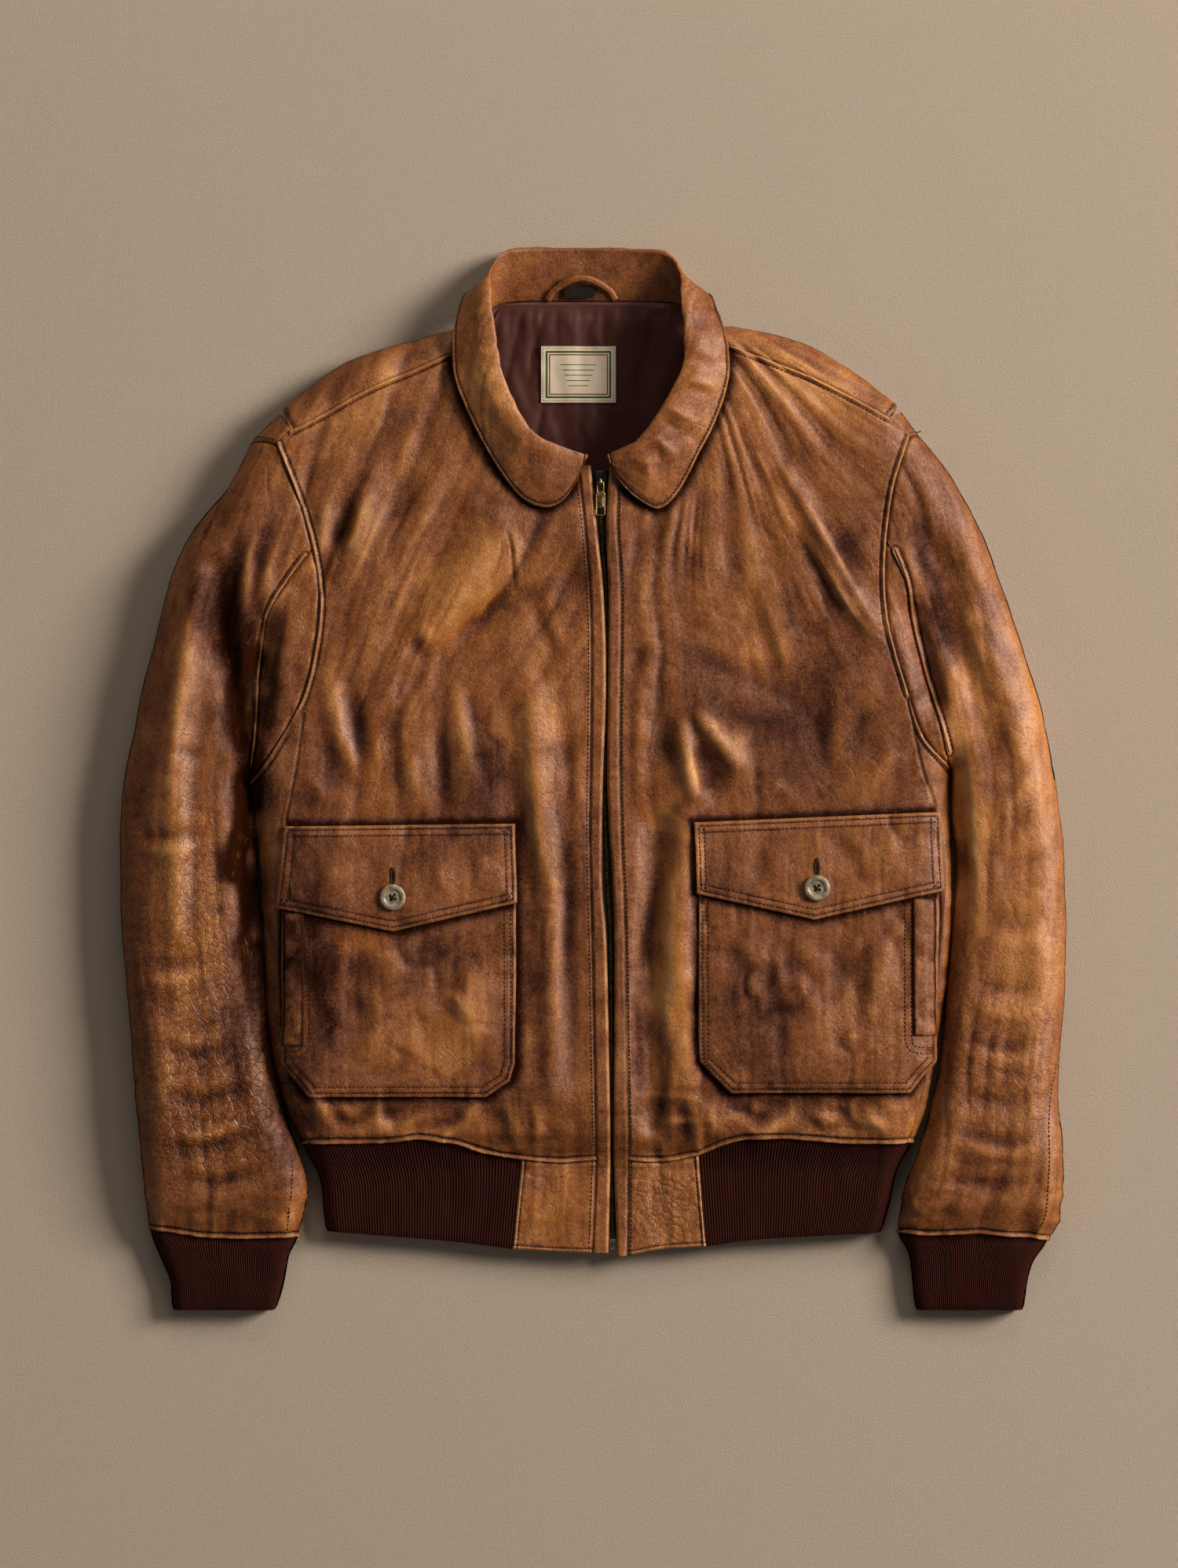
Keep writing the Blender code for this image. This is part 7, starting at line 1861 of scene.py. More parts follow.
collarOuter, collarNormal, collarSplit = collarPieces()
print("collar done")


creases["pocketLeft"] = (
    ("ridge", 12, 1.8, (-160, -118), (-150, -138), (-134, -150)),
    ("trough", 9, 1.5, (-176, -120), (-182, -160), (-172, -200)),
    ("fold", 12, 1.6, (-110, -130), (-104, -170), (-112, -214)),
    ("trough", 9, 1.2, (-206, -140), (-200, -180), (-206, -214)),
    ("ridge", 9, 1.2, (-90, -130), (-84, -170), (-86, -210)),
    ("fold", 9, 1.2, (-196, -150), (-170, -176), (-176, -212)),
    ("trough", 6, 1.5, (-150, -170), (-128, -186), (-120, -222)),
    ("ridge", 7, 1.6, (-120, -150), (-96, -176), (-84, -214)),
)
creases["pocketRight"] = (
    ("fold", 9, 1.6, (110, -120), (118, -150), (104, -190)),
    ("ridge", 9, 1.6, (150, -124), (158, -152), (176, -184), (190, -206)),
    ("trough", 8, 1.5, (132, -122), (140, -160), (150, -206)),
    ("fold", 8, 1.5, (206, -112), (212, -150), (204, -196)),
    ("trough", 7, 1.3, (180, -122), (196, -150), (222, -176)),
    ("fold", 8, 1.2, (93, -115), (121, -137), (147, -148)),
    ("fold", 8, 1.2, (147, -119), (160, -137), (182, -154)),
    ("trough", 7, 1.1, (199, -106), (208, -128), (190, -154), (177, -176)),
    ("fold", 8, 1.1, (221, -115), (208, -172), (221, -203)),
    ("trough", 7, 1.0, (125, -176), (143, -190), (151, -220)),
    ("ridge", 8, 1.1, (182, -190), (208, -198), (225, -216)),
)
creases["flapLeft"] = (
    ("fold", 6, 0.8, (-208, -50), (-204, -72), (-208, -94)),
    ("ridge", 5, 0.9, (-122, -52), (-114, -72), (-110, -92)),
    ("fold", 5, 0.8, (-90, -48), (-86, -66), (-90, -88)),
    ("trough", 6, 0.8, (-174, -50), (-166, -70), (-170, -92)),
)
creases["flapRight"] = (
    ("fold", 7, 1.1, (196, -44), (206, -60), (210, -84)),
    ("ridge", 6, 1.0, (226, -36), (228, -58), (222, -78)),
    ("fold", 6, 1.0, (128, -44), (134, -62), (130, -84)),
    ("trough", 7, 1.0, (176, -40), (192, -52), (200, -70)),
    ("trough", 6, 0.8, (100, -44), (104, -62), (100, -80)),
)
pocket = {"lift": 2.6, "flapLift": 5.2, "sewnLift": 2.9, "topLifts": (3.9, 5.2), "bulge": 2.4,
          "weltLift": 4.8, "edges": (-234.0, 82.0), "width": 178.0,
          "bottom": -244.0, "height": 204.0, "button": {left: (-151, -89), right: (172, -82)}}


# Outer row of stitches round each pocket
pocketPaths = {
    left: ((-222, -92), (-222, -203), (-234, -203), (-234, -216), (-224, -229), (-214, -241),
           (-80, -241), (-62, -229), (-58, -216), (-58, -60)),
    right: ((81, -60), (82, -214), (94, -226), (107, -238), (243, -238), (252, -226),
            (262, -214), (262, -200), (247, -200), (247, -84)),
}


def pillow(side, plan):
    # Soft rise of a pocket over the front: a flattened half wave both ways.
    u = np.clip((plan[..., 0] - pocket["edges"][side]) / pocket["width"], 0, 1)
    v = np.clip((plan[..., 1] - pocket["bottom"]) / pocket["height"], 0, 1)
    return pocket["bulge"] * (np.sin(np.pi * u) * np.sin(np.pi * v)) ** 0.6


def pocketUse(side, on, extra=()):
    groups = frontGroups[side] + (("pocketLeft", "pocketRight")[side],) + tuple(extra)
    return {"groups": groups, "seamsOn": on}


def laidOn(plan, side, lift, use):
    got = surface(plan, flatter=0.35, **use)
    got["shift"] = got["shift"] + pillow(side, plan) + lift
    return got


def sewnOn(side, plan, lift, use):
    stitched(side, laidOn(stitchPlan(plan), side, lift, use))


def pocketPiece(side):
    # A patch pocket with cut lower corners, sewn on with two rows.
    table = np.array(pocketRows[side], dtype=float)[::-1]
    height = runOf(table[:, :1])
    rows = dense(height[-1], pitch["pocket"])
    y = np.interp(rows * height[-1], height, table[:, 0])
    low, high = (np.interp(y, table[:, 0], table[:, k]) for k in (1, 2))
    columns = dense(pocket["width"], pitch["pocket"])
    x = low[:, None] + (high - low)[:, None] * columns[None]
    plan = np.stack([x, np.repeat(y[:, None], len(columns), axis=1)], axis=-1)
    edge = np.vstack([np.stack([table[::-1, 1], table[::-1, 0]], 1),
                      np.stack([table[:, 2], table[:, 0]], 1)])
    corners = np.array(flapCorners[side], dtype=float)
    # The flap's lower edges cast a painted shadow on the pocket.
    use = pocketUse(side, ((edge, "doubled"), (corners[1:], "shade")))
    got = laidOn(plan, side, pocket["lift"], use)
    sidePiece(side, "pocket", [got], wall=leather["pocketWall"],
              turned=False)
    path = resampled(np.array(pocketPaths[side], dtype=float), even(220))
    for step in thread["rows"]:
        sewnOn(side, beside(path, step), pocket["lift"], use)


# Each welt's two long edges and its two ends
weltPlaces = {left: (-219.0, -233.0, -202, -101), right: (244.5, 261.0, -194, -90)}


def weltPiece(side):
    # A rolled strip over the side opening of the pocket.
    inner, outer, low, high = weltPlaces[side]
    y = np.linspace(low, high, int(100 / pitch["strip"]))
    x = min(inner, outer) + abs(outer - inner) * dense(15, 1.1, edgePitch=0.6, reach=3)
    plan = np.stack(np.meshgrid(x, y), axis=-1)
    box = np.array([(x[0], y[0]), (x[0], y[-1]), (x[-1], y[-1]), (x[-1], y[0]), (x[0], y[0])])
    use = pocketUse(side, ((box, "plain"),))
    got = laidOn(plan, side, pocket["weltLift"], use)
    middle = 0.5 * (inner + outer)
    roll = np.abs(plan[..., 0] - middle) / abs(0.5 * (outer - inner))
    got["shift"] += 0.9 * np.sqrt(np.clip(1 - roll ** 2, 0, 1)) - 1.0
    # A little darker all over, with painted shade along both long edges where the roll turns down.
    got["toneAndShading"] -= 0.25 + 1.3 * np.exp(-((roll - 1) / 0.2) ** 2)
    got["wear"] = 0.3 * got["wear"]
    sidePiece(side, "welt", [got], wall=1.4,
              materials=("trim", "inside"), turned=False)


def flapPiece(side):
    # A flap with a point in the middle of its lower edge and a puckered buttonhole.
    topInner, topOuter, lowOuter, point, lowInner = np.array(flapCorners[side], dtype=float)
    rows = dense(72, pitch["flap"])
    columns = dense(pocket["width"], pitch["flap"])
    shares = np.unique(np.insert(columns, np.searchsorted(columns, 0.5), 0.5))
    low = np.where(shares[:, None] <= 0.5, lowOuter + (point - lowOuter) * shares[:, None] * 2,
                   point + (lowInner - point) * (shares[:, None] * 2 - 1))
    top = topOuter + (topInner - topOuter) * shares[:, None]
    plan = low[None] + rows[:, None, None] * (top - low)[None]
    edge = np.vstack([topOuter, lowOuter, point, lowInner, topInner, topOuter])
    group = (("flapLeft", "flapRight")[side],)
    use = pocketUse(side, ((edge, "doubled"),), group)
    lift = np.interp(rows, (0, 0.9, 1), (pocket["flapLift"],) * 2 + (pocket["sewnLift"],))
    got = laidOn(plan, side, lift[:, None], use)
    hole = np.array(pocket["button"][side], dtype=float) + (0, 16)
    s = np.hypot(plan[..., 0] - hole[0], (plan[..., 1] - hole[1]) / 5.0)
    got["shift"] -= 0.9 * np.exp(-s ** 2)
    # The buttonhole's slit is a shallow dent with painted shade in it.
    got["toneAndShading"] -= 1.2 * np.exp(-s ** 2)
    sidePiece(side, "flap", [got], wall=leather["flapWall"])
    turn = turnOf[side]
    path = resampled(np.array([topOuter - (0, 4), lowOuter, point, lowInner, topInner - (0, 4)]),
                     even(160))
    for step in thread["rows"]:
        sewnOn(side, beside(path, step * turn), pocket["flapLift"], use)
    top = np.array([topOuter + (4 * turn, 0), topInner - (4 * turn, 0)])
    for step, lift in zip(thread["rows"], pocket["topLifts"]):
        sewnOn(side, beside(resampled(top, even(90)), -step * turn), lift, use)
    return use


def lathe(profileLine, sidesCount, centre, axis):
    # A profile of radius and height turned round an axis through a centre.
    turn = np.linspace(0, 2 * np.pi, sidesCount, endpoint=False)
    r, h = np.array(profileLine, dtype=float).T
    z = np.array(axis, dtype=float) / np.linalg.norm(axis)
    x = np.cross((0, 1, 0) if abs(z[1]) < 0.9 else (1, 0, 0), z)
    x /= np.linalg.norm(x)
    y = np.cross(z, x)
    around = np.cos(turn)[:, None] * x + np.sin(turn)[:, None] * y
    points = np.array(centre) + r[:, None, None] * around + h[:, None, None] * z
    index = wrapped(np.arange(points.shape[0] * sidesCount).reshape(-1, sidesCount))
    return points.reshape(-1, 3), quads(index, False), (x, y, z)


hardPiece = {"sharp": 40, "weld": 0.004}


def solid(name, node, slot, finishName, points, faces, body="jacket"):
    # A closed hard or thread piece; points that fall together are one.
    key = np.rint(points / hardPiece["weld"]).astype(np.int64)
    _, first, use = np.unique(key, axis=0, return_index=True, return_inverse=True)
    faces = use.ravel()[faces]
    good = ((faces[:, 0] != faces[:, 1]) & (faces[:, 1] != faces[:, 2])
            & (faces[:, 2] != faces[:, 0]))
    faces = faces[good]
    thing = makeMesh(name, points[first], faces, np.zeros(len(faces), dtype=int),
                     sharp=hardPiece["sharp"])
    settle(thing, node, (finishName,), body=body)


# The face gives how far it lies below the rim's crest at each radius.
button = {"radius": 10.0, "thick": 3.4, "holeAt": 2.3, "holeDepth": 1.7, "turned": 0.2,
          "well": 1.1, "under": ((0.001, 0.0), (9.0, 0.1), (9.7, 0.6)),
          "face": ((0, 1.1), (5.6, 1.1), (6.6, 0.15), (7.6, 0), (8.8, 0.1), (9.6, 0.7),
                   (10.0, 1.6))}


def buttonPiece(side, use):
    # Turned disc with a raised rim, a shallow well and four holes sunk into it.
    x, y = pocket["button"][side]
    got = laidOn(np.array([[float(x), float(y)]]), side, pocket["flapLift"], use)
    centre = (got["base"] + got["normal"] * (got["shift"] + 0.5)[:, None])[0]
    crest = button["thick"]
    radii = np.concatenate([[0.001], np.linspace(0.4, 4.6, 15),
                            (5.4, 5.9, 6.3, 6.8, 7.5, 8.4, 9.1, 9.6, 9.9, button["radius"])])
    level = crest - np.interp(radii, *zip(*button["face"]))
    profileLine = np.vstack([button["under"], np.stack([radii, level], 1)[::-1]])
    points, faces, (ax, ay, az) = lathe(profileLine, 64, centre, got["normal"][0])
    flat = points - centre
    u, v, h = flat @ ax, flat @ ay, flat @ az
    for k in range(4):
        at = np.radians(45 + 90 * k) + button["turned"]
        far = np.hypot(u - button["holeAt"] * np.cos(at), v - button["holeAt"] * np.sin(at))
        drop = button["holeDepth"] * (1 - ease(far, 0.75, 1.25)) * (h > 1.5)
        points = points - drop[:, None] * az
    solid(sides(side, "button"), sides(side, "button"), "horn", "horn", points, faces)
    cross = []
    for k in range(2):
        at = np.radians(45 + 90 * k) + button["turned"]
        way = np.cos(at) * ax + np.sin(at) * ay
        s = np.linspace(-1, 1, 15)
        lift = (crest - button["well"] + 0.55 * (1 - s ** 2)
                - 1.2 * np.clip(np.abs(s) - 0.85, 0, 1) * 6 + 0.15 * k)
        line = centre + s[:, None] * (button["holeAt"] + 0.2) * way + lift[:, None] * az
        for step in (-0.32, 0.32):
            sideways = np.cross(way, az) * step
            cross.append((line + sideways, np.tile(az, (15, 1))))
    points, faces = tubes(cross, 0.34, sides=6)
    solid(sides(side, "buttonThread"), None, "tape", "thread", points, faces)
    t = np.linspace(0, 2 * np.pi, 60)
    ring = np.stack([x + 1.5 * np.cos(t), y + 16 + 6.4 * np.sin(t)], 1)
    stitched(side, laidOn(ring, side, pocket["flapLift"], use), 0.35, pitch=0.62, across=True,
             length=2.0, radius=0.26)


for side in (left, right):
    pocketPiece(side)
    weltPiece(side)
    use = flapPiece(side)
    buttonPiece(side, use)
print("pockets done")


def boxOf(node):
    # The frame's box of a node, in millimetres on the plan.
    return [np.array(corner) * 1000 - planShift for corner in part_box(node)]


zipper = {"top": 236.0, "bottom": -350.0, "depth": 2.9, "chain": 4.2, "tape": 10.0,
          "tapeColumns": 8, "tapePitch": 2.2, "tapeWall": 0.9,
          "toothPitch": 2.5, "sliderY": 230.0, "pinY": 227.5}


def zipMiddle(y):
    # The middle of the opening at heights y, and the depth line of the surface there.
    lines = []
    for side in (left, right):
        edge = joined(seam("placketEdge", side, even(120)), seam("tabEdge", side, even(12)))
        lines.append(np.interp(-y, -edge[:, 1], edge[:, 0]))
    x = 0.5 * (lines[0] + lines[1])
    got = surface(np.stack([x, y], axis=-1), groups=())
    level = (got["base"] + got["normal"] * got["shift"][..., None])[..., 2]
    smoothed = np.convolve(np.pad(level, 6, mode="edge"), np.ones(13) / 13, "valid")
    return x, smoothed


def zipTapes():
    rows = int((zipper["top"] - zipper["bottom"]) / zipper["tapePitch"])
    y = np.linspace(zipper["bottom"], zipper["top"], rows)
    count = zipper["tapeColumns"]
    x, level = zipMiddle(y)
    gap = 0.5 * zipper["chain"] + leather["seamGap"] - 0.7
    for side, turn in ((left, -1), (right, 1)):
        across = np.linspace(gap, gap + zipper["tape"], count)
        across = across[::-1] if side == left else across
        px = x[:, None] + turn * across[None]
        z = np.repeat((level - zipper["depth"])[:, None], count, axis=1)
        grid = np.stack([px, np.repeat(y[:, None], count, axis=1), z], axis=-1)
        flat = {"base": grid, "normal": np.broadcast_to((0.0, 0.0, 1.0), grid.shape).copy(),
                "shift": np.zeros(z.shape)}
        flat.update({key: np.zeros(z.shape) for key in looks})
        thing = shell(sides(side, "zipTape"), [flat], zipper["tapeWall"])
        settle(thing, sides(side, "zip_tape"), ("tape", "tape"))


# One tooth: its outline in plan, and how large it is at each level
tooth = {"outline": ((-0.7, 0.42), (0.9, 0.55), (1.5, 0.42), (1.5, -0.42), (0.9, -0.55),
                     (-0.7, -0.42)),
         "levels": (-1.1, -0.75, 0.75, 1.1), "sizes": (0.8, 1.0, 1.0, 0.8)}


def zipTeeth():
    # Small six-sided teeth, alternately from the left and the right tape.
    count = int((zipper["top"] - 4 - zipper["bottom"]) / (0.5 * zipper["toothPitch"]))
    y = zipper["bottom"] + 2 + 0.5 * zipper["toothPitch"] * np.arange(count)
    x, level = zipMiddle(y)
    turn = np.where(np.arange(count) % 2 == 0, -1.0, 1.0)
    size = np.array(tooth["sizes"])[:, None]
    ring = np.zeros((4, 6, 3))
    ring[..., 0], ring[..., 1] = (values * size for values in zip(*tooth["outline"]))
    ring[..., 2] = np.array(tooth["levels"])[:, None]
    index = wrapped(np.arange(24).reshape(4, 6))
    k = np.arange(1, 5)
    caps = np.vstack([np.stack([0 * k, k + 1, k], -1), 18 + np.stack([0 * k, k, k + 1], -1)])
    shape = np.vstack([quads(index, True)[:, ::-1], caps])
    points = np.broadcast_to(ring, (count, 4, 6, 3)).copy()
    points[..., 0] = points[..., 0] * turn[:, None, None] + x[:, None, None]
    points[..., 1] = points[..., 1] * turn[:, None, None] + y[:, None, None]
    points[..., 2] += (level - zipper["depth"] - 0.3)[:, None, None]
    faces = (24 * np.arange(count)[:, None, None] + shape).reshape(-1, 3)
    solid("zipTeeth", "zip_chain", "brass", "teeth", points.reshape(-1, 3), faces)


def plate(outline, levels, insets):
    # A flat part from rings of one outline, drawn in towards its middle at each level.
    middle = outline.mean(axis=0)
    reach = np.linalg.norm(outline - middle, axis=1, keepdims=True)
    rings = [np.column_stack([middle + (outline - middle) * (1 - inset / reach),
                              np.full(len(outline), level)])
             for level, inset in zip(levels, insets)]
    points = np.vstack(rings + [[(*middle, levels[0]), (*middle, levels[-1])]])
    n = len(outline)
    index = wrapped(np.arange(n * len(levels)).reshape(-1, n))
    k = np.arange(n)
    low = np.stack([np.full(n, n * len(levels)), (k + 1) % n, k], -1)
    high = np.stack([np.full(n, n * len(levels) + 1), k + n * (len(levels) - 1),
                     (k + 1) % n + n * (len(levels) - 1)], -1)
    return points, np.vstack([quads(index, False), low, high])


def rounded(width, length, corner, lean=0.0, steps=8):
    # A rectangle with round corners, its lower end narrower by lean.
    t = np.linspace(0, 0.5 * np.pi, steps)
    points = []
    for k, (sx, sy) in enumerate(((1, 1), (-1, 1), (-1, -1), (1, -1))):
        a = t + 0.5 * np.pi * k
        points.append(np.stack([sx * (0.5 * width - corner) + corner * np.cos(a),
                                sy * (0.5 * length - corner) + corner * np.sin(a)], 1))
    points = np.vstack(points)
    points[:, 0] *= 1 - lean * ease(-points[:, 1], -0.1 * length, 0.5 * length)
    return points


def merged(*parts):
    points = np.vstack([part[0] for part in parts])
    starts = np.cumsum([0] + [len(part[0]) for part in parts[:-1]])
    return points, np.vstack([part[1] + start for part, start in zip(parts, starts)])


puller = {
    "body": (8.6, 12.0, 2.0), "lean": 0.28, "high": 3.0,
    "bodyLevels": (3.0, 2.7, 1.9, 1.6, 1.4, 1.1, 0.3, 0.0),
    "bodyInsets": (0.5, 0.1, 0.0, 0.7, 0.7, 0.0, 0.1, 0.6),
    "bridgeWire": 0.62, "bridgeReach": 2.9, "bridgeRise": 3.4,
    "eyeWire": 0.62, "frameWire": 0.66, "bars": 6, "barPitch": 1.3,
}
sliderBox = boxOf("zip_slider")
sliderX = 0.5 * (sliderBox[0][0] + sliderBox[1][0])


def sliderPiece():
    # Waisted body with two fins, and the arched bridge that carries the pull.
    x, y = sliderX, zipper["sliderY"]
    top = sliderBox[0][2] + puller["high"]
    width, length, corner = puller["body"]
    body = plate(rounded(width, length, corner, lean=puller["lean"]) + (x, y),
                 top - np.array(puller["bodyLevels"]), puller["bodyInsets"])
    s = np.linspace(0, np.pi, 15)
    arch = np.stack([0 * s + x, zipper["pinY"] - puller["bridgeReach"] * np.cos(s),
                     top - 0.4 + puller["bridgeRise"] * np.sin(s) ** 0.7], 1)
    bridge = tubes([(arch, np.tile((1.0, 0, 0), (15, 1)))], puller["bridgeWire"], sides=10,
                   squash=1.7)
    fins = [plate(rounded(0.9, 7.0, 0.4) + (x + step, y + 0.5),
                  (top - 0.2, top + 0.25, top + 0.4), (0.0, 0.0, 0.2))
            for step in (-2.6, 2.6)]
    points, faces = merged(body, *fins)
    solid("zipSlider", "zip_slider", "brass", "snap", points, faces)
    solid("zipBridge", None, "brass", "brass", *bridge)


def pullPiece():
    # Wire eye on the pin, wire frame below it, and a plate with bars across inside it.
    low, high = boxOf("zip_pull")
    x, level = sliderX, 0.5 * (low[2] + high[2])
    pin = high[1] - 0.7

    def loop(halfWide, fromY, toY, corner, wire):
        ring = rounded(2 * halfWide, fromY - toY, corner, steps=6) + (x, pin + 0.5 * (fromY + toY))
        ring = np.vstack([ring, ring[:1]])
        line = np.column_stack([ring, np.full(len(ring), level)])
        return tubes([(line, np.tile((0, 0, 1.0), (len(line), 1)))], wire, sides=10, closed=True)

    eye = loop(2.35, 0.0, -9.4, 1.4, puller["eyeWire"])
    wireFrame = loop(3.15, -8.2, -25.6, 1.6, puller["frameWire"])
    inner = plate(rounded(5.4, 10.6, 0.5) + (x, pin - 14.4),
                  (level - 0.4, level - 0.3, level + 0.25, level + 0.4), (0.2, 0.0, 0.0, 0.35))
    bars = [plate(rounded(3.4, 0.5, 0.2) + (x, pin - 11.2 - puller["barPitch"] * k),
                  (level + 0.2, level + 0.5, level + 0.56), (0.0, 0.0, 0.12))
            for k in range(puller["bars"])]
    points, faces = merged(eye, wireFrame, inner, *bars)
    solid("zipPull", "zip_pull", "brass", "brass", points, faces, body="pull")


def zipBoxPiece():
    # Block at the lower end with a small key on it.
    low, high = boxOf("zip_box")
    middle = 0.5 * (low + high)
    block = plate(rounded(high[0] - low[0], high[1] - low[1], 0.9) + middle[:2],
                  (low[2], low[2] + 0.4, high[2] - 0.4, high[2]), (0.4, 0.0, 0.0, 0.4))
    key = plate(rounded(1.6, 5.6, 0.5) + middle[:2],
                (high[2] - 0.1, high[2] + 0.35, high[2] + 0.5), (0.0, 0.0, 0.2))
    points, faces = merged(block, key)
    solid("zipBox", "zip_box", "brass", "steel", points, faces)


zipTapes()
zipTeeth()
sliderPiece()
pullPiece()
zipBoxPiece()
print("zip done")


inside = {"heights": (150, 364), "wide": 160, "pitch": (2.2, 1.7), "pleatX": -10.0,
          "halves": ((150, 104.0), (300, 88.0), (340, 79.0), (364, 69.0))}


def onLining(plan, gap):
    # The lining hangs in soft folds over the inner side of the back, with a box pleat.
    base, normal, _ = skin(plan, face="back")
    x, y = plan[..., 0], plan[..., 1]
    s = (x - inside["pleatX"]) / 2.4

    def folds(across, along, cell, which):
        return noise(np.stack([across, along, 0 * x], -1), cell, which)

    form = (0.9 * (1 - ease(s, -1.2, 1.2)) * np.exp(-np.clip(-s, 0, 9) ** 2 / 20)
            + 2.6 * (np.abs(folds(x - 0.25 * np.abs(y - 250), y, (17, 90, 9), 4)) - 0.2)
            + 1.1 * folds(x, y, (11, 52, 9), 0) + 0.6 * folds(x + 0.4 * y, y, (7, 30, 9), 1)
            + 0.25 * folds(x, y, 5, 2))
    form = form + 1.7 * np.exp(-(360 - y) / 15) * folds(x, 0.2 * y, (4.5, 9, 9), 5)
    form = (1.4 + form) * ease(-y, -364, -352)
    form = form - 0.5 * np.exp(-((y - 356) / 1.6) ** 2)
    points = base - normal * (leather["wall"] + gap)
    points[..., 2] += np.maximum(form, 0.0)
    return points


def sheetGrid(points):
    got = {"base": points, "normal": across3(points), "shift": np.zeros(points.shape[:2])}
    got.update({key: np.zeros(points.shape[:2]) for key in looks})
    return got


def liningPiece():
    low, high = inside["heights"]
    rowPitch, columnPitch = inside["pitch"]
    y = np.linspace(low, high, int((high - low) / (rowPitch * fineness)))
    half = np.interp(y, *zip(*inside["halves"]))
    across = np.linspace(-1, 1, int(inside["wide"] / (columnPitch * fineness)))
    x = half[:, None] * across[None]
    plan = np.stack([x, np.repeat(y[:, None], x.shape[1], axis=1)], axis=-1)
    grid = onLining(plan, leather["layGap"] + leather["liningWall"])
    thing = shell("satinLining", [sheetGrid(grid)], leather["liningWall"])
    settle(thing, "lining", ("satin", "satin"))


label = {
    "rows": 56, "columns": 72, "calming": 12, "wall": 0.7, "stitchInset": 1.3,
    "borders": (("labelBorderGreen", "labelGreen", 4.2, 0.75),
                ("labelBorderRed", "labelRed", 6.4, 0.42)),
    "lines": 5, "lineInset": 15, "lineTop": 14, "lineShorter": 1.5, "linePitch": 4,
}


def labelPiece():
    # Cloth label with two woven borders and plain bars in place of its words.
    a, b, c, d = labelBox
    rows, columns = label["rows"], label["columns"]
    plan = np.stack(np.meshgrid(np.linspace(a, b, columns), np.linspace(c, d, rows)), axis=-1)
    below = onLining(plan, 2 * leather["layGap"] + leather["liningWall"] + label["wall"])
    calm = below.copy()
    for _ in range(label["calming"]):
        calm[1:-1, 1:-1, 2] = 0.25 * (calm[:-2, 1:-1, 2] + calm[2:, 1:-1, 2]
                                      + calm[1:-1, :-2, 2] + calm[1:-1, 2:, 2])
    calm[..., 2] = np.maximum(calm[..., 2], below[..., 2] - 0.2) + 0.2
    thing = shell("neckLabel", [sheetGrid(calm)], label["wall"])
    settle(thing, "label", ("label", "label"))

    def onLabel(places):
        u = (places[:, 0] - a) / (b - a) * (columns - 1)
        v = (places[:, 1] - c) / (d - c) * (rows - 1)
        i = np.clip(np.rint(v).astype(int), 0, rows - 1)
        j = np.clip(np.rint(u).astype(int), 0, columns - 1)
        return np.column_stack([places, calm[i, j, 2] + 0.1]), across3(calm)[i, j]

    def frameOf(inset):
        box = np.array(((a + inset, c + inset), (b - inset, c + inset), (b - inset, d - inset),
                        (a + inset, d - inset), (a + inset, c + inset)))
        return onLabel(resampled(box, even(220)))

    for name, finishName, inset, radius in label["borders"]:
        points, faces = tubes([frameOf(inset)], radius, sides=6, squash=0.3, closed=True)
        solid(name, None, "label", finishName, points, faces)
    bars = []
    for k in range(label["lines"]):
        inset = label["lineInset"] + label["lineShorter"] * k
        y = d - label["lineTop"] - label["linePitch"] * k
        bars.append(onLabel(resampled(np.array(((a + inset, y), (b - inset, y))), even(60))))
    points, faces = tubes(bars, 0.32, sides=5, squash=0.35)
    solid("labelLines", None, "label", "labelGreen", points, faces)
    line, normals = frameOf(label["stitchInset"])
    stitchLines["collar"].append((line, normals, {"pitch": 2.2, "length": 1.5, "radius": 0.18}))


def sizeTagPiece():
    low, high = boxOf("size_tag")
    x, y = np.meshgrid(np.linspace(low[0], high[0], 30), np.linspace(low[1], high[1], 14))
    t = (y - low[1]) / (high[1] - low[1])
    z = high[2] + 0.6 * np.sin(np.pi * t) + 0.3 * noise(np.stack([x, y, 0 * x], -1), 8, 1)
    thing = shell("sizeTag", [sheetGrid(np.stack([x, y, z], -1))], 0.7)
    settle(thing, "size_tag", ("tape", "tape"))


hangLoop = {"from": -33.0, "to": 19.0, "endsY": 371.0, "sag": 13.0, "above": 1.7, "rise": 3.0,
            "tuck": 3.2, "tuckShare": 0.08, "radius": 2.5, "squash": 0.42, "stitchAbove": 1.05}


def hangLoopPiece():
    # Flat strap that bows up from the stand between its two tucked ends, as a half wave.
    s = even(60)
    bow = np.sin(np.pi * s)
    stand = collarOuter[:collarSplit + 1]
    column = stand.shape[1] // 2
    y = hangLoop["endsY"] + hangLoop["sag"] * bow
    z = (np.interp(y, stand[:, column, 1], stand[:, column, 2]) + hangLoop["above"]
         + hangLoop["rise"] * bow)
    x = hangLoop["from"] + (hangLoop["to"] - hangLoop["from"]) * s
    line = np.stack([x, y, z], axis=-1)
    for share in (s, 1 - s):
        line[:, 1] -= hangLoop["tuck"] * (1 - ease(share, 0, hangLoop["tuckShare"]))
    up = np.tile((0, 0, 1.0), (len(line), 1))
    size = hangLoop["radius"] + 0.15 * noise(line, 9, 2)
    points, faces = tubes([(line, up)], size, sides=14, squash=hangLoop["squash"])
    solid("hangLoop", "hang_loop", "leather_trim", "trim", points, faces)
    edge = line + hangLoop["stitchAbove"] * up
    stitchLines["collar"].append((edge, up, {"pitch": 2.4, "length": 1.7, "radius": 0.2}))


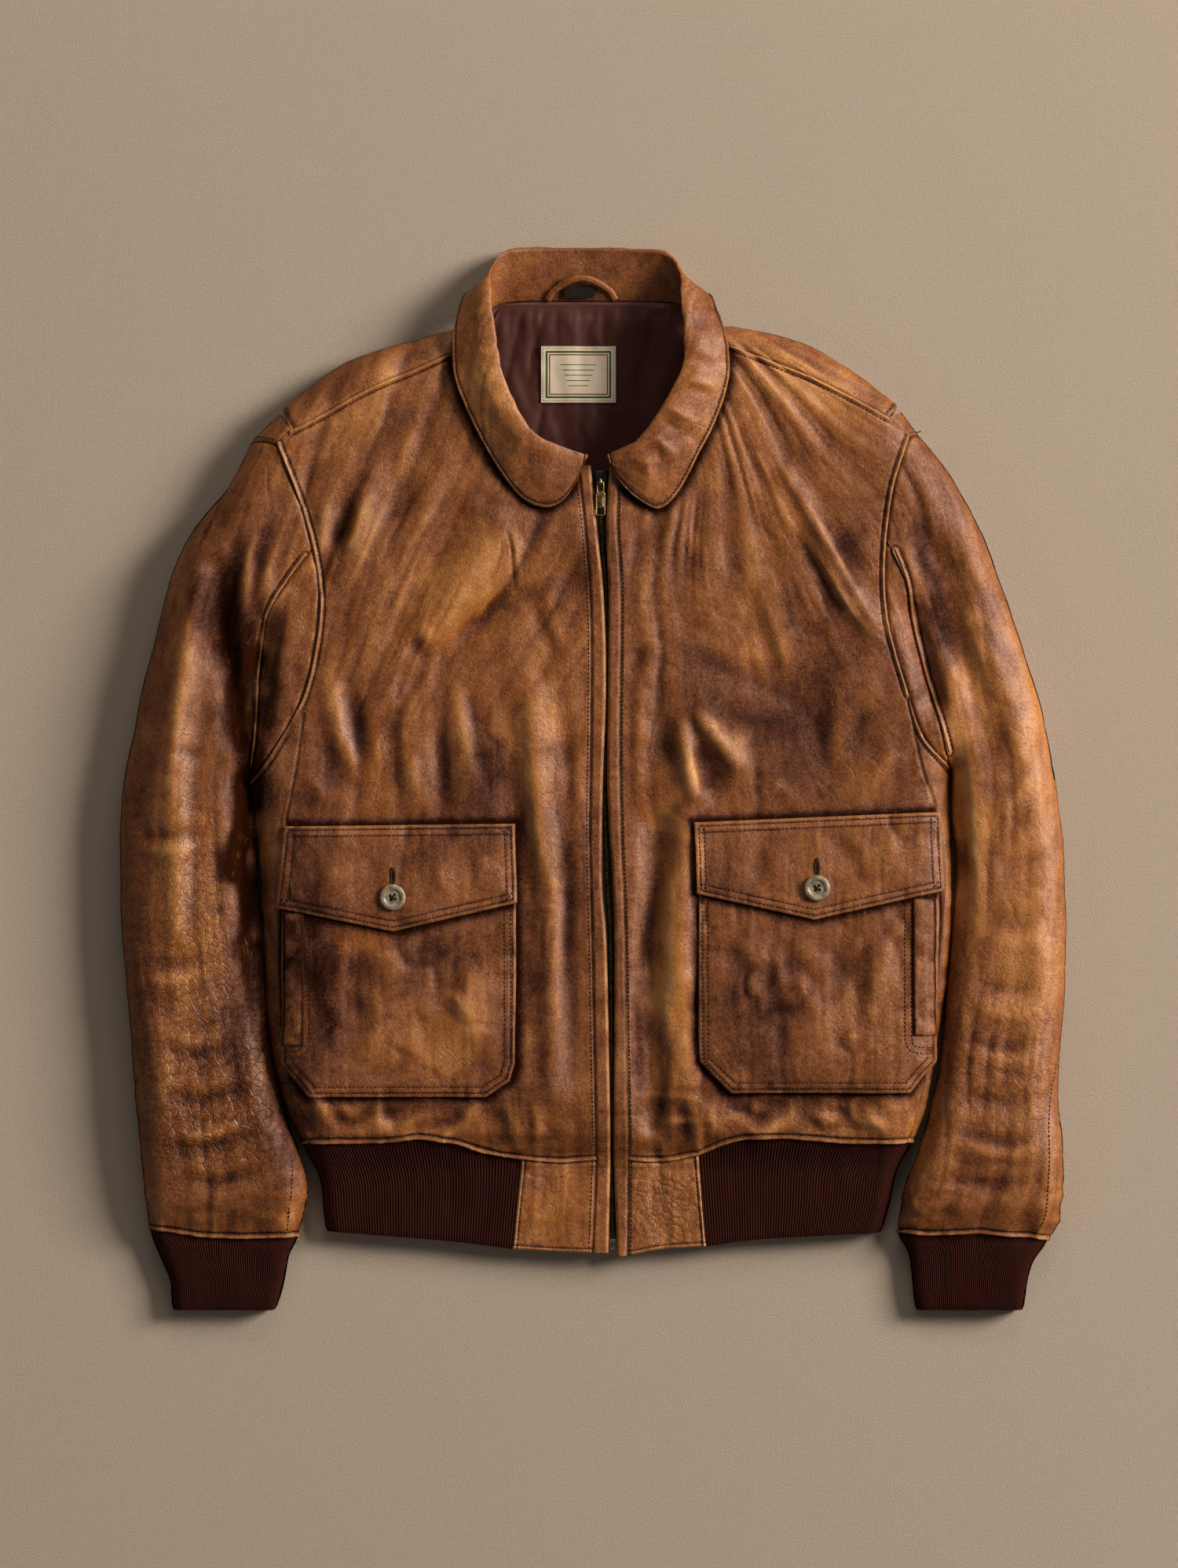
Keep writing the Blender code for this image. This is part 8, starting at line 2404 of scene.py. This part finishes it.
snap = {"places": ((left, -33.0), (right, 37.0)), "y": 256.0, "row": 0.75, "sides": 40,
        "profile": ((0.001, 0.0), (4.2, 0.0), (4.2, 0.9), (3.9, 1.3), (3.3, 1.4), (2.9, 1.0),
                    (2.5, 0.9), (2.0, 1.5), (1.5, 1.9), (0.8, 2.05), (0.001, 2.1))}


def snapPieces():
    # Turned snaps on the stand under the collar's front ends.
    row = int(snap["row"] * collarSplit)
    stand, normal = collarOuter[row], collarNormal[row]
    for side, x in snap["places"]:
        column = int(np.argmin(np.abs(stand[:, 0] - x) + np.abs(stand[:, 1] - snap["y"])))
        axis = normal[column]
        points, faces, _ = lathe(snap["profile"], snap["sides"], stand[column] + 0.3 * axis, axis)
        solid(sides(side, "snap"), sides(side, "snap"), "snap", "snap", points, faces)


liningPiece()
labelPiece()
sizeTagPiece()
hangLoopPiece()
snapPieces()
print("neck done")


for group, name in ((left, "stitchesLeft"), (right, "stitchesRight"), ("collar", "stitchesNeck")):
    points, faces = merged(*[stitchRow(line, normals, **row)
                             for line, normals, row in stitchLines[group]])
    thing = makeMesh(name, points, faces, np.zeros(len(faces), dtype=int), sharp=80)
    settle(thing, None, ("thread",))
print("stitches done")


# Camera places and heights are in millimetres; lamps are name, place and size in metres,
# power and colour.
studio = {
    "floor": (0.452, 0.360, 0.277, 1), "floorReach": 3, "floorBelow": 0.0004,
    "world": (1.0, 0.97, 0.93, 1), "worldStrength": 0.085, "aim": (0, 0, 0.02),
    "lamps": (("keyLight", (5.8, 2.3, 3.3), (2.6, 2.6), 800, (1.0, 0.945, 0.87)),
              ("windowLight", (0.3, 3.6, 2.2), (2.4, 1.0), 34, (1.0, 0.95, 0.88)),
              ("lowFill", (-3.0, -1.6, 2.6), (1.6, 1.6), 10, (1.0, 0.95, 0.88))),
    "camera": (-2.64, -4.14), "seenHeight": 1198.2, "level": 15.0, "lens": 240.0,
}


def floorFinish():
    # Pale plain floor with a faint cloth tooth: two sizes of noise in tint and height.
    made, tree, shader = shaderOf("paleFloor")
    where = add(tree, "ShaderNodeTexCoord").outputs["Object"]
    broad, fine = cloud(tree, where, 3, 2), cloud(tree, where, 640, 5, 0.8)
    r, g, b, _ = studio["floor"]
    dark = (r * 0.93, g * 0.92, b * 0.91, 1)
    factor = maths(tree, "MULTIPLY_ADD", fine, 0.8, maths(tree, "MULTIPLY", broad, 0.2))
    tree.links.new(mixed(tree, factor, dark, (r * 1.06, g * 1.06, b * 1.06, 1)),
                   shader.inputs["Base Color"])
    shader.inputs["Roughness"].default_value = 0.95
    bumped(tree, shader, fine, 0.7, 0.0012)
    return made


mesh = bpy.data.meshes.new("floor")
reach, down = studio["floorReach"], -studio["floorBelow"]
corners = ((-reach, -reach), (reach, -reach), (reach, reach), (-reach, reach))
mesh.from_pydata([(x, y, down) for x, y in corners], [], [(0, 1, 2, 3)])
mesh.materials.append(floorFinish())
floor = bpy.data.objects.new("floor", mesh)
bpy.context.scene.collection.objects.link(floor)


def softbox(name, at, size, power, colour):
    # A rectangular area lamp that faces the middle of the jacket.
    lamp = bpy.data.lights.new(name, "AREA")
    lamp.shape = "RECTANGLE"
    lamp.size, lamp.size_y = size
    lamp.energy, lamp.color = power, colour
    thing = bpy.data.objects.new(name, lamp)
    thing.location = at
    aim = Vector(studio["aim"]) - Vector(at)
    thing.rotation_euler = aim.to_track_quat("-Z", "Y").to_euler()
    bpy.context.scene.collection.objects.link(thing)


for lamp in studio["lamps"]:
    softbox(*lamp)

world = bpy.data.worlds.new("studio")
world.use_nodes = True
background = world.node_tree.nodes["Background"]
background.inputs[0].default_value = studio["world"]
background.inputs[1].default_value = studio["worldStrength"]
bpy.context.scene.world = world
bpy.context.scene.view_settings.view_transform = "Standard"

lens = bpy.data.cameras.new("camera")
lens.lens = studio["lens"]
lens.sensor_width = 36.0
lens.clip_end = 50
camera = bpy.data.objects.new("camera", lens)
x, y = studio["camera"]
high = studio["seenHeight"] * studio["lens"] / lens.sensor_width
camera.location = (x * 0.001, y * 0.001, (high + studio["level"]) * 0.001)
bpy.context.scene.collection.objects.link(camera)
bpy.context.scene.camera = camera
print("floor, light and camera ready")
